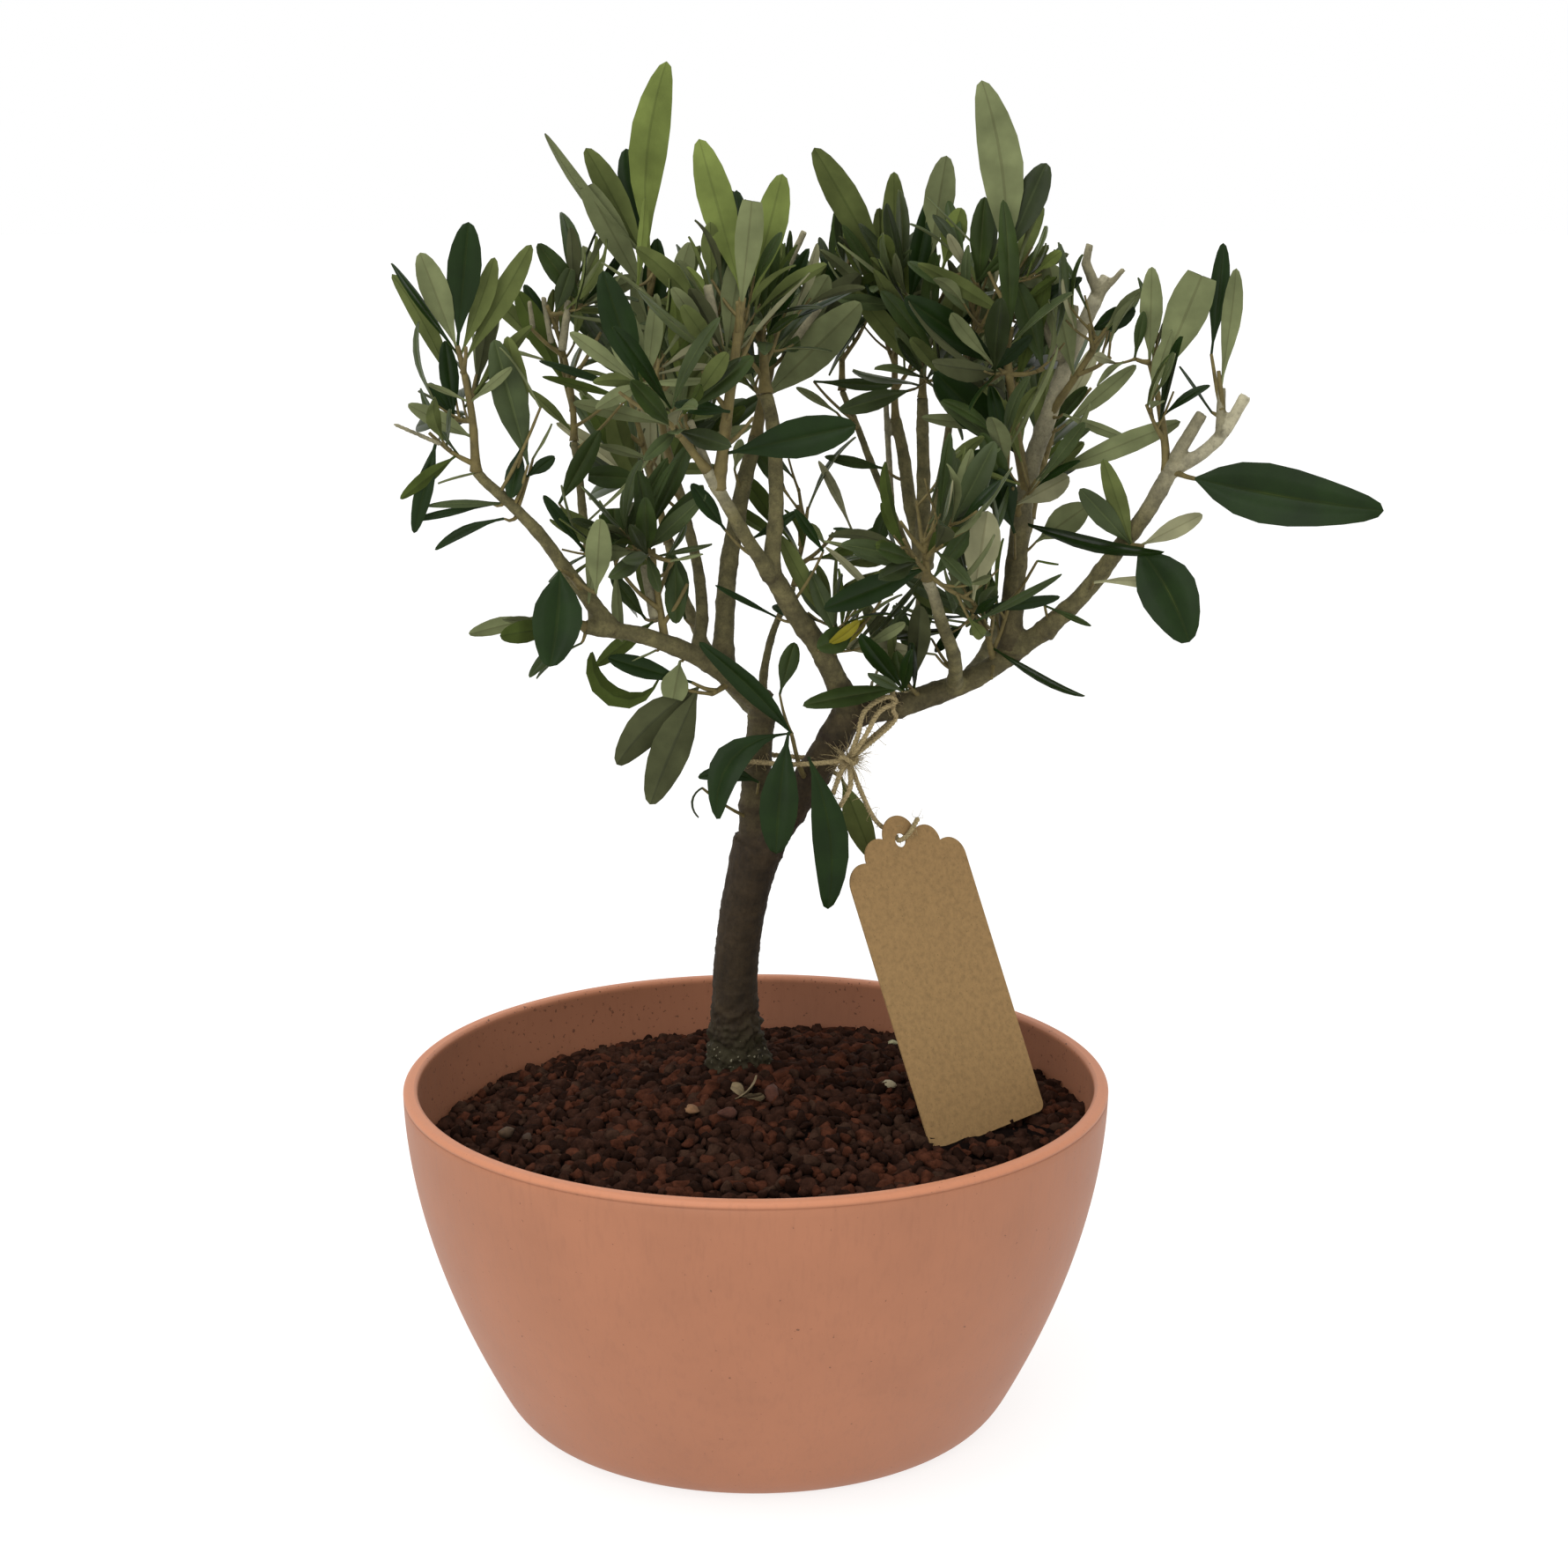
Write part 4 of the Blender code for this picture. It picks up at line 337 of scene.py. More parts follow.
# More leaves that show from the front, each grown from the nearest mass, in the same order.
SEEN_LEAVES = (
    ((-61, -30, 284), (-69, -34, 318), 9.0, 10, "silver"),
    ((-62, -28, 289), (-65, -31, 319), 6.6, 160, "leaf"),
    ((-57, -34, 300), (-66, -36, 317), 3.5, 100, "silver"),
    ((-81, -28, 296), (-83, -26, 317), 5.2, 20, "deep"),
    ((-82, -30, 296), (-87, -30, 306), 3.3, 20, "deep"),
    ((-76, -33, 301), (-87, -38, 307), 2.1, 150, "silver"),
    ((-75, -33, 301), (-64, -38, 311), 3.1, 150, "silver"),
    ((-74, -32, 282), (-85, -36, 280), 1.9, 120, "silver"),
    ((-66, -29, 273), (-88, -34, 274), 2.4, 30, "silver"),
    ((-71, -28, 273), (-93, -30, 269), 2.2, 20, "deep"),
    ((-63, -26, 289), (-66, -30, 275), 5.3, 10, "deep"),
    ((-62, -26, 280), (-54, -30, 286), 3.8, 10, "deep"),
    ((-60, -26, 285), (-54, -30, 295), 2.1, 120, "silver"),
    ((-48, 8, 324), (-60, 4, 341), 6.1, 0, "leaf"),
    ((-56, 8, 322), (-51, 4, 334), 4.9, 10, "silver", 0.92),
    ((-37, 4, 301), (-60, 2, 309), 2.5, 30, "deep"),
    ((-36, 4, 298), (-59, 0, 305), 3.2, 150, "deep"),
    ((-53, 8, 288), (-63, 4, 301), 3.5, 150, "leaf"),
    ((-24, 10, 290), (-51, 6, 297), 5.0, 160, "silver"),
    ((-55, 0, 269), (-43, -6, 290), 5.9, 10, "leaf"),
    ((-29, 10, 280), (-44, 6, 285), 3.5, 150, "silver"),
    ((-30, 12, 274), (-47, 8, 276), 6.5, 10, "leaf", 0.95),
    ((-46, 0, 264), (-27, -6, 283), 2.2, 120, "silver"),
    ((-39, -10, 257), (-24, -14, 284), 4.4, 20, "leaf"),
    ((-30, -12, 258), (-14, -16, 276), 5.4, 10, "leaf"),
    ((-47, -16, 258), (-58, -18, 274), 3.4, 10, "deep"),
    ((-39, -8, 253), (-39, -10, 269), 9.3, 10, "leaf", 0.9),
    ((-46, -20, 244), (-42, -30, 269), 5.3, 160, "silver"),
    ((-32, -47, 307), (-48, -44, 321), 4.6, 165, "silver"),
    ((-28, -40, 308), (-25, -44, 331), 5.8, 150, "silver"),
    ((-10, -42, 313), (-38, -44, 341), 2.6, 120, "silver"),
    ((-32, -47, 307), (-10, -52, 309), 2.8, 130, "silver"),
    ((-6, -45, 300), (-21, -44, 302), 4.2, 20, "deep"),
    ((-11, -36, 334), (-11, -36, 349), 5.6, 170, "leaf"),
    ((-32, -6, 330), (-29, -8, 354), 3.1, 160, "young"),
    ((-22, 10, 328), (-18, 8, 341), 6.9, 150, "silver"),
    ((37, 44, 325), (25, 40, 344), 3.8, 20, "leaf"),
    ((39, 44, 317), (19, 40, 338), 4.3, 150, "silver"),
    ((50, 30, 300), (28, 26, 327), 6.6, 165, "leaf"),
    ((49, 32, 305), (32, 30, 328), 3.5, 20, "deep"),
    ((44, 32, 322), (50, 28, 352), 6.0, 10, "deep"),
    ((53, 20, 333), (58, 18, 350), 6.9, 170, "young"),
    ((71, 6, 331), (48, 14, 353), 1.5, 100, "silver"),
    ((72, 6, 320), (45, 0, 337), 5.4, 160, "leaf"),
    ((71, -2, 285), (85, -8, 313), 3.4, 120, "silver"),
    ((87, 10, 293), (106, 4, 286), 3.5, 150, "silver"),
    ((88, 12, 290), (107, 8, 307), 5.0, 160, "silver"),
    ((74, -4, 275), (60, -8, 280), 2.5, 140, "leaf"),
    ((73, -2, 261), (66, -4, 280), 9.4, 10, "deep"),
    ((80, 8, 257), (94, 4, 268), 8.5, 170, "silver"),
    ((62, -10, 241), (85, -14, 244), 3.9, 20, "deep"),
    ((59, -16, 237), (85, -20, 252), 3.2, 30, "leaf"),
    ((82, 0, 240), (95, -4, 235), 2.2, 30, "leaf"),
    ((51, -6, 227), (23, -12, 232), 5.5, 160, "pale"),
    ((50, -4, 231), (30, -10, 239), 4.2, 160, "silver"),
    ((20, -10, 229), (31, -16, 239), 4.2, 10, "yellow"),
    ((35, -20, 245), (20, -26, 262), 2.9, 150, "pale"),
    ((40, -22, 257), (19, -24, 262), 2.4, 140, "silver"),
    ((45, -28, 254), (27, -30, 260), 3.4, 20, "silver"),
    ((49, -30, 252), (60, -34, 269), 5.3, 20, "leaf"),
    ((34, 30, 250), (39, 30, 264), 5.6, 20, "leaf"),
    ((28, 38, 256), (19, 36, 277), 3.4, 150, "pale"),
    ((38, 44, 273), (20, 40, 277), 3.4, 20, "leaf"),
    ((24, 56, 288), (12, 56, 296), 2.9, 150, "silver"),
    ((17, 50, 298), (40, 46, 297), 3.9, 20, "leaf"),
    ((54, 14, 279), (68, 10, 283), 3.0, 20, "deep"),
    ((56, 14, 267), (69, 10, 281), 5.0, 165, "pale"),
    ((-1, -20, 262), (12, -24, 270), 3.4, 20, "deep"),
    ((19, -22, 259), (11, -24, 271), 3.1, 20, "deep"),
    ((19, -14, 239), (7, -18, 263), 5.4, 165, "leaf"),
    ((-6, 20, 276), (-4, 18, 285), 3.5, 160, "silver"),
    ((-8, -22, 265), (-17, -24, 278), 4.8, 20, "deep"),
    ((-20, 6, 235), (-24, 2, 254), 7.0, 10, "leaf"),
    ((-31, 0, 236), (-40, -4, 249), 4.5, 20, "leaf"),
    ((6, -18, 240), (-11, -14, 248), 2.2, 50, "deep"),
    ((-23, -20, 256), (-14, -26, 259), 1.7, 120, "silver"),
    ((7, -8, 216), (11, -8, 231), 6.0, 20, "leaf"),
    ((-28, -10, 229), (-35, -14, 226), 2.0, 120, "silver"),
    ((-21, -10, 226), (-23, -14, 216), 7.9, 165, "silver", 0.85),
    ((126, -12, 296), (116, -16, 309), 2.4, 60, "deep"),
    ((104, -14, 311), (106, -16, 324), 3.4, 20, "leaf"),
    ((94, 12, 316), (106, 6, 323), 6.7, 20, "deep"),
    ((89, 14, 304), (82, 10, 336), 8.4, 165, "silver"),
    ((81, 6, 306), (73, 2, 331), 7.1, 15, "leaf"),
    ((74, 6, 331), (79, 2, 342), 2.4, 60, "leaf"),
    ((62, 8, 330), (71, 4, 339), 3.4, 20, "leaf"),
    ((65, 4, 305), (77, 0, 316), 4.2, 20, "deep"),
)

# The petiole's longest reach from the wood, and that of a twig to a leaf that shows.
PETIOLE_REACH = 3.0
SEEN_REACH = 11.0

# Limbs that the foliage leaves open to the front, how far from their sides, and the number
# of spots tested along each.
SHOWN_LIMBS = ("left_bough", "left_outer_bough", "left_upright", "cross_bough", "cross_front_bough",
               "cross_upright", "right_bough", "right_outer_bough", "right_tip_fork", "tall_bough",
               "front_bough", "back_first_upright", "back_second_upright")
SHOWN_MARGIN = 2.5
SHOWN_SPOTS = 25

# Where sky shows from the front, as upright ovals on the plane through the bowl's centre.
FRONT_EYE = Vector((8.2, -863.1, 394.6))
OPEN_SKY = (
    (12, 274, 6, 8), (13, 295, 8, 5), (30, 272, 5, 11), (-5, 244, 3, 14), (-20, 245, 5, 4),
    (15, 214, 6, 9), (88, 254, 12, 8), (98, 280, 6, 12), (104, 312, 5, 9), (121, 316, 4, 13),
    (-53, 314, 4, 4), (-112, 300, 18, 44), (-64, 362, 12, 15), (-22, 362, 4, 14), (12, 362, 6, 16),
    (32, 365, 8, 14), (58, 365, 3, 13), (77, 374, 5, 12), (94, 357, 11, 12), (118, 350, 9, 12),
    (152, 308, 20, 26), (150, 242, 24, 18), (110, 225, 15, 14), (75, 204, 40, 11),
    (-75, 250, 14, 5), (-86, 220, 22, 12), (-56, 206, 15, 15), (-12, 206, 6, 5),
    (-21, 350, 5, 9), (14, 354, 8, 13), (100, 345, 15, 9), (117, 338, 8, 8), (126, 334, 5, 8),
    (132, 322, 4, 10), (-92, 278, 8, 6), (-93, 262, 12, 9), (-75, 241, 12, 4), (-60, 284, 5, 6),
    (-60, 305, 4, 7), (35, 317, 4, 7), (104, 298, 6, 6), (24, 272, 6, 8), (-73, 343, 8, 10),
    (-60, 347, 7, 8), (-88, 306, 3, 6), (19, 318, 3, 5),
)

# Leaves that only the finish has, each from the wood nearest to its foot:
# foot, tip, width, turn of the blade, tint, sweep to one side.
FINISH_LEAVES = (
    ((-68, -28, 269), (-87, -30, 261), 2.9, 20, "deep", 0.06),
    ((-48, -20, 233), (-61, -22, 224), 2.2, 60, "silver", 0.05),
    ((-22, -10, 255), (-22, -12, 237), 6.3, 10, "leaf", 0.0),
    ((73, 8, 291), (47, 8, 293), 4.8, 150, "silver", -0.04),
    ((79, -8, 254), (85, -8, 253), 1.6, 100, "deep", 0.0),
    ((95, -8, 248), (123, -12, 244), 3.6, 150, "pale", -0.08),
    ((1, -6, 190), (-16, -9, 192.5), 5.0, 30, "deep", 0.1),
    ((18, -22, 232), (29, -24, 240), 3.8, 20, "yellow", 0.05),
)

# Leaves that curl round: foot, heading, face, length, width, bend, roll, tint.
CURLED_LEAVES = (
    ((-27, -11, 221.5), (-0.26, 0.0, -0.97), (0.97, 0.0, -0.26), 30.0, 6.4, 3.4, 0.9, "deep"),
    ((-15, -9, 189), (-0.9, 0.0, -0.4), (-0.4, 0.0, 0.9), 10.0, 1.3, 2.0, 0.6, "dusk"),
)

# The growing rule, shared by every mass.
SEED = 11
TWIG_TURN = math.radians(137.5)
TWIG_TILT = (40, 58)
TWIG_LIFT = 0.35
TWIG_RADII = (0.75, 0.6, 0.45)
PAIR_STEP = 10.0
LEAF_TILT = (30, 50)
LEAF_LIFT = 0.25
LEAF_SLENDERNESS = (0.22, 0.28)
LEAF_THICKNESS = 0.55
LEAF_ROOT = 0.14
LEAF_TRIES = 6
LIMB_STEP = 12
STEM_STEP = 9

# Tests of what touches what: the gap kept, the sleeve round a limb, and the least bend.
GAP = 0.3
SLEEVE = 1.05
SLEEVE_SIDES = 10
STRAIGHT = 1e-4

# What the rule carries on to: finer twigs, and more leaves of life size.
FINE_TWIG_LENGTH = (7.0, 13.0)
FINE_TWIG_PLACES = (0.2, 0.36, 0.52, 0.66, 0.8, 0.92)
FINE_TWIG_RADII = (0.42, 0.36, 0.3)
FINE_LEAF_LENGTH = (18.0, 37.0)
FINE_LEAF_PLACES = (0.4, 0.7, 0.97)
PETIOLE_RADII = (0.5, 0.45, 0.4, 0.36)
BARE_TWIG_RADII = (0.55, 0.5, 0.42, 0.36)
FINE_SHARE = 1.9
FINE_SHARES = {"top_left_spray": 3.2, "left_inner_spray": 3.0, "cross_top_spray": 3.2,
               "front_left_spray": 3.0, "centre_spray": 3.0, "left_middle_spray": 3.2, "front_spray": 5.0,
               "cross_low_spray": 5.0, "right_foot_spray": 9.0, "middle_spray": 3.4,
               "middle_right_spray": 3.0, "far_back_spray": 3.0, "inner_right_spray": 3.4,
               "thin_bough_spray": 5.0, "right_inner_spray": 3.4, "centre_back_spray": 2.6}

# Tints: upper face, underside, rib above and rib below.
TINTS = {
    "deep": ("#162708", "#3f4a20", "#212f10", "#39431f"),
    "dusk": ("#283019", "#44472f", "#373f25", "#3c3f2b"),
    # A darker copy of the leaf colours: painted shade, for leaves that sit deep in the crown's shade.
    "leaf": ("#2f3c1a", "#565e34", "#3b4523", "#4d552e"),
    "silver": ("#3c4629", "#696f4c", "#4d5735", "#5f6343"),
    "pale": ("#485130", "#858465", "#585d3b", "#7a785a"),
    "young": ("#495620", "#636e38", "#525f2c", "#5a6433"),
    "yellow": ("#6e6715", "#746d1f", "#655e18", "#6a631d"),
}


def linear(code):
    """Linear colour of an sRGB hex value."""
    parts = [int(code[i:i + 2], 16) / 255 for i in (1, 3, 5)]
    return tuple(c / 12.92 if c <= 0.04045 else ((c + 0.055) / 1.055) ** 2.4 for c in parts)


# ---- settings ----

class OliveBowl(bpy.types.PropertyGroup):
    sides: IntProperty(name="Sides", description="Facets round the bowl", default=240, min=48)
    colour: FloatVectorProperty(name="Plastic", description="Colour of the moulded plastic",
                                subtype="COLOR", default=linear("#9e674a"))
    grain: FloatProperty(name="Grain", description="Size of the mould's fine texture",
                         default=0.35 * MM, unit="LENGTH", precision=5)


class OliveGravel(bpy.types.PropertyGroup):
    spacing: FloatProperty(name="Spacing", description="Distance between granules",
                           default=3.7 * MM, unit="LENGTH", precision=4)
    size: FloatProperty(name="Granule", description="Middle width of a lava granule",
                        default=4.6 * MM, unit="LENGTH", precision=4)
    colour: FloatVectorProperty(name="Lava", description="Colour of most granules",
                                subtype="COLOR", default=linear("#311e16"))


class OliveTag(bpy.types.PropertyGroup):
    curl: FloatProperty(name="Curl", description="How far the card bows forward at mid width",
                        default=0.6 * MM, unit="LENGTH", precision=4)
    colour: FloatVectorProperty(name="Kraft", description="Colour of the card",
                                subtype="COLOR", default=linear("#8a6e47"))


class OliveTwine(bpy.types.PropertyGroup):
    radius: FloatProperty(name="Radius", description="Half the twine's thickness",
                          default=0.75 * MM, unit="LENGTH", precision=5)
    fibres: IntProperty(name="Fibres", description="Loose jute fibres", default=620, min=0)
    colour: FloatVectorProperty(name="Jute", description="Colour of the fibre",
                                subtype="COLOR", default=linear("#978762"))


class OliveBark(bpy.types.PropertyGroup):
    voxel: FloatProperty(name="Detail", description="Size of the finest bark relief",
                         default=0.6 * MM, unit="LENGTH", precision=5)
    old: FloatVectorProperty(name="Old bark", description="Bark of the trunk",
                             subtype="COLOR", default=linear("#34291a"))
    young: FloatVectorProperty(name="Young bark", description="Bark of the thin boughs",
                               subtype="COLOR", default=linear("#5a5436"))
    cut: FloatVectorProperty(name="Cut ends", description="Dry pale bark of the cut ends",
                             subtype="COLOR", default=linear("#a09a80"))
    twig: FloatVectorProperty(name="Twigs", description="Green-brown bark of this year's twigs",
                              subtype="COLOR", default=linear("#625732"))


class OliveFoliage(bpy.types.PropertyGroup):
    stations: IntProperty(name="Stations", description="Rings along a leaf", default=11, min=5)
    thickness: FloatProperty(name="Thickness", description="Thickness of a leaf at its rib",
                             default=0.45 * MM, unit="LENGTH", precision=5)


class OliveStage(bpy.types.PropertyGroup):
    lens: FloatProperty(name="Lens", description="Focal length for a 36 mm sensor", default=70.97)
    pitch: FloatProperty(name="Pitch", description="How far the camera looks down",
                         default=math.radians(13.46), subtype="ANGLE")
    floor: FloatVectorProperty(name="Floor", description="Colour of the floor",
                               subtype="COLOR", default=linear("#959492"))


SETTINGS = {
    "olive_bowl": OliveBowl, "olive_gravel": OliveGravel, "olive_tag": OliveTag,
    "olive_twine": OliveTwine, "olive_bark": OliveBark, "olive_foliage": OliveFoliage,
    "olive_stage": OliveStage,
}


# ---- the growing rule ----

def seen_from_front(point):
    """Where a point falls on the plane through the bowl's centre, seen from the front."""
    share = FRONT_EYE.y / (FRONT_EYE.y - point.y)
    return (FRONT_EYE.x + (point.x - FRONT_EYE.x) * share,
            FRONT_EYE.z + (point.z - FRONT_EYE.z) * share)


def sky_behind(point):
    """Whether a point, as seen from the front, lies in one of the open ovals."""
    x, z = seen_from_front(point)
    return any(((x - cx) / half_width) ** 2 + ((z - cz) / half_height) ** 2 < 1
               for cx, cz, half_width, half_height in OPEN_SKY)


def bowed_line(start, reach, bow, count):
    """Points from start along reach, pushed aside by bow at mid length."""
    reach, bow = Vector(reach), Vector(bow)
    return [start + reach * (i / count) + bow * (4 * i / count * (1 - i / count))
            for i in range(count + 1)]


def tapered(foot, tip, count):
    """Radii that go evenly from foot to tip in a number of steps."""
    return [foot + (tip - foot) * i / count for i in range(count + 1)]


def spans(line):
    """The lengths between a line's points."""
    return [(b - a).length for a, b in zip(line, line[1:])]


def point_along(line, share):
    """The point at a share of a line's length, and the line's direction there."""
    lengths = spans(line)
    left = share * sum(lengths)
    for i, length in enumerate(lengths):
        if left <= length or i == len(lengths) - 1:
            heading = (line[i + 1] - line[i]).normalized()
            return line[i] + heading * min(left, length), heading
        left -= length


def nearest_on_line(line, point, best=None):
    """The place on a line nearest to a point, or best if that is nearer."""
    for a, b in zip(line, line[1:]):
        share = max(0.02, min(0.98, (point - a).dot(b - a) / (b - a).length_squared))
        spot = a.lerp(b, share)
        if best is None or (spot - point).length < (best - point).length:
            best = spot
    return best


def longer_by(line, extra):
    """The line with both ends moved outwards."""
    first = line[0] + (line[0] - line[1]).normalized() * extra
    last = line[-1] + (line[-1] - line[-2]).normalized() * extra
    return [first, *line[1:-1], last]


def ahead_at(line, i):
    """The direction of a line at one of its points."""
    return (line[min(i + 1, len(line) - 1)] - line[max(i - 1, 0)]).normalized()


def across(direction):
    """Two unit vectors square to a direction and to each other."""
    side = direction.cross(UP if abs(direction.z) < 0.9 else Vector((0, 1, 0))).normalized()
    return side, side.cross(direction).normalized()


def between(first, second, angle):
    """The unit vector at an angle from the first of two that are square to each other."""
    return first * math.cos(angle) + second * math.sin(angle)


def leaning(heading, turn, tilt, lift):
    """A direction tilted by degrees off a heading, turned about it, and lifted."""
    outward = between(*across(heading), turn)
    return (between(heading, outward, math.radians(tilt)) + UP * lift).normalized()


def ring(centre, side, other, radius, sides):
    """Points round a centre, in the plane of two unit vectors."""
    return [centre + between(side, other, 2 * math.pi * k / sides) * radius for k in range(sides)]


def ring_faces(rings, sides):
    """Quads between rings of points, each ring closed on itself."""
    return [(i * sides + k, i * sides + (k + 1) % sides,
             (i + 1) * sides + (k + 1) % sides, (i + 1) * sides + k)
            for i in range(rings - 1) for k in range(sides)]


def tube_faces(rings, sides):
    """The same quads with a cap on the first ring and on the last."""
    return [*ring_faces(rings, sides), tuple(range(sides))[::-1],
            tuple(range((rings - 1) * sides, rings * sides))]


@dataclass(eq=False)
class Tube:
    """A tapering limb or twig: a centre line and a radius at each of its points."""
    line: list
    radii: list

    def surface(self, grown=0.0):
        """A sleeve just outside the limb, for tests of what touches what."""
        line = longer_by(self.line, grown) if grown else self.line
        points = []
        for i, point in enumerate(line):
            points += ring(point, *across(ahead_at(line, i)), SLEEVE * self.radii[i] + grown, SLEEVE_SIDES)
        return points, tube_faces(len(line), SLEEVE_SIDES)

    def beyond_root(self):
        return Tube(self.line[1:], self.radii[1:])


# A plain leaf, pointed at both ends, for tests: share of length, side, ridge below.
BLANK_CORNERS = ((0.0, 0, 0), (0.3, -1, 0), (0.3, 1, 0), (0.3, 0, 1),
                 (0.7, -1, 0), (0.7, 1, 0), (0.7, 0, 1), (1.0, 0, 0))
SKY_SPOTS = ((0.35, 0), (0.55, -0.8), (0.55, 0.8), (0.8, -0.8), (0.8, 0.8), (1.0, 0))
BLANK_FACES = ((0, 1, 2), (0, 2, 3), (0, 3, 1), (1, 4, 5, 2), (2, 5, 6, 3), (3, 6, 4, 1),
               (4, 7, 5), (5, 7, 6), (6, 7, 4))


@dataclass(eq=False)
class Leaf:
    """An olive leaf; clip is a share of its length, roll an angle, peak where it is broadest."""
    foot: Vector
    heading: Vector
    face: Vector
    length: float
    width: float
    bend: float = 0.0
    clip: float = 0.0
    tint: str = None
    sweep: float = 0.0
    roll: float = 0.0
    peak: float = None

    def axes(self, turn):
        """The blade's directions forward and up where it has bent down by an angle."""
        return between(self.heading, self.face, -turn), between(self.face, self.heading, turn)

    def rib(self, along, sag=0.0):
        """The place on the bent rib at a share of the length, let down by a share of it."""
        turn = self.bend * along
        run, drop = along, 0.0
        if abs(self.bend) > STRAIGHT:
            run, drop = math.sin(turn) / self.bend, (1 - math.cos(turn)) / self.bend
        return self.foot + (self.heading * run - self.face * (drop + sag)) * self.length

    def place(self, along, aside, below, grown=0.0):
        """A point of the plain blade: share of the length, share of the half width, depth."""
        along = min(along, self.clip or 1.0)
        outline = max(0.0, math.sin(math.pi * along**0.9)) ** 0.5
        half = 0.5 * self.width * outline + grown
        forward, normal = self.axes(self.bend * along)
        side = forward.cross(normal)
        return self.rib(along) + side * (aside * half) + normal * (0.18 * half * abs(aside) - below)

    def surface(self, grown=0.0, first=0.0):
        """The plain leaf bent and stretched into this one, root cut back to first."""
        points = []
        for along, aside, below in BLANK_CORNERS:
            depth = below * LEAF_THICKNESS + (grown if below else -grown)
            points.append(self.place(max(along, first), aside, depth, grown))
        return points, BLANK_FACES


def ball_round(points):
    """The middle of some points, and how far they reach from it."""
    centre = sum(points, Vector()) / len(points)
    return centre, max((point - centre).length for point in points)


class Obstacles:
    """Everything placed so far, each with the name of what it belongs to."""

    def __init__(self):
        self.items = []

    def add(self, owner, surface):
        self.items.append((owner, *ball_round(surface[0]), BVHTree.FromPolygons(*surface)))

    def touched(self, surface, owners=None, without=()):
        """Whether a surface meets anything placed, among some owners or without some."""
        centre, reach = ball_round(surface[0])
        tree = None
        for owner, middle, radius, other in self.items:
            if owner in without or (owners is not None and owner not in owners):
                continue
            if (middle - centre).length > reach + radius:
                continue
            tree = tree or BVHTree.FromPolygons(*surface)
            if tree.overlap(other):
                return True
        return False


def marked_leaf(foot, tip, width, turn, tint, clip=0.0):
    """A leaf from its foot on the wood to its tip, its blade turned about its own axis."""
    reach = Vector(tip) - foot
    heading = reach.normalized()
    front = Vector((0, -1, 0))
    front = (front - heading * front.dot(heading)).normalized()
    face = Matrix.Rotation(math.radians(turn), 3, heading) @ front
    return Leaf(foot, heading, face, reach.length / (clip or 1.0), width, 0.0, clip, tint)


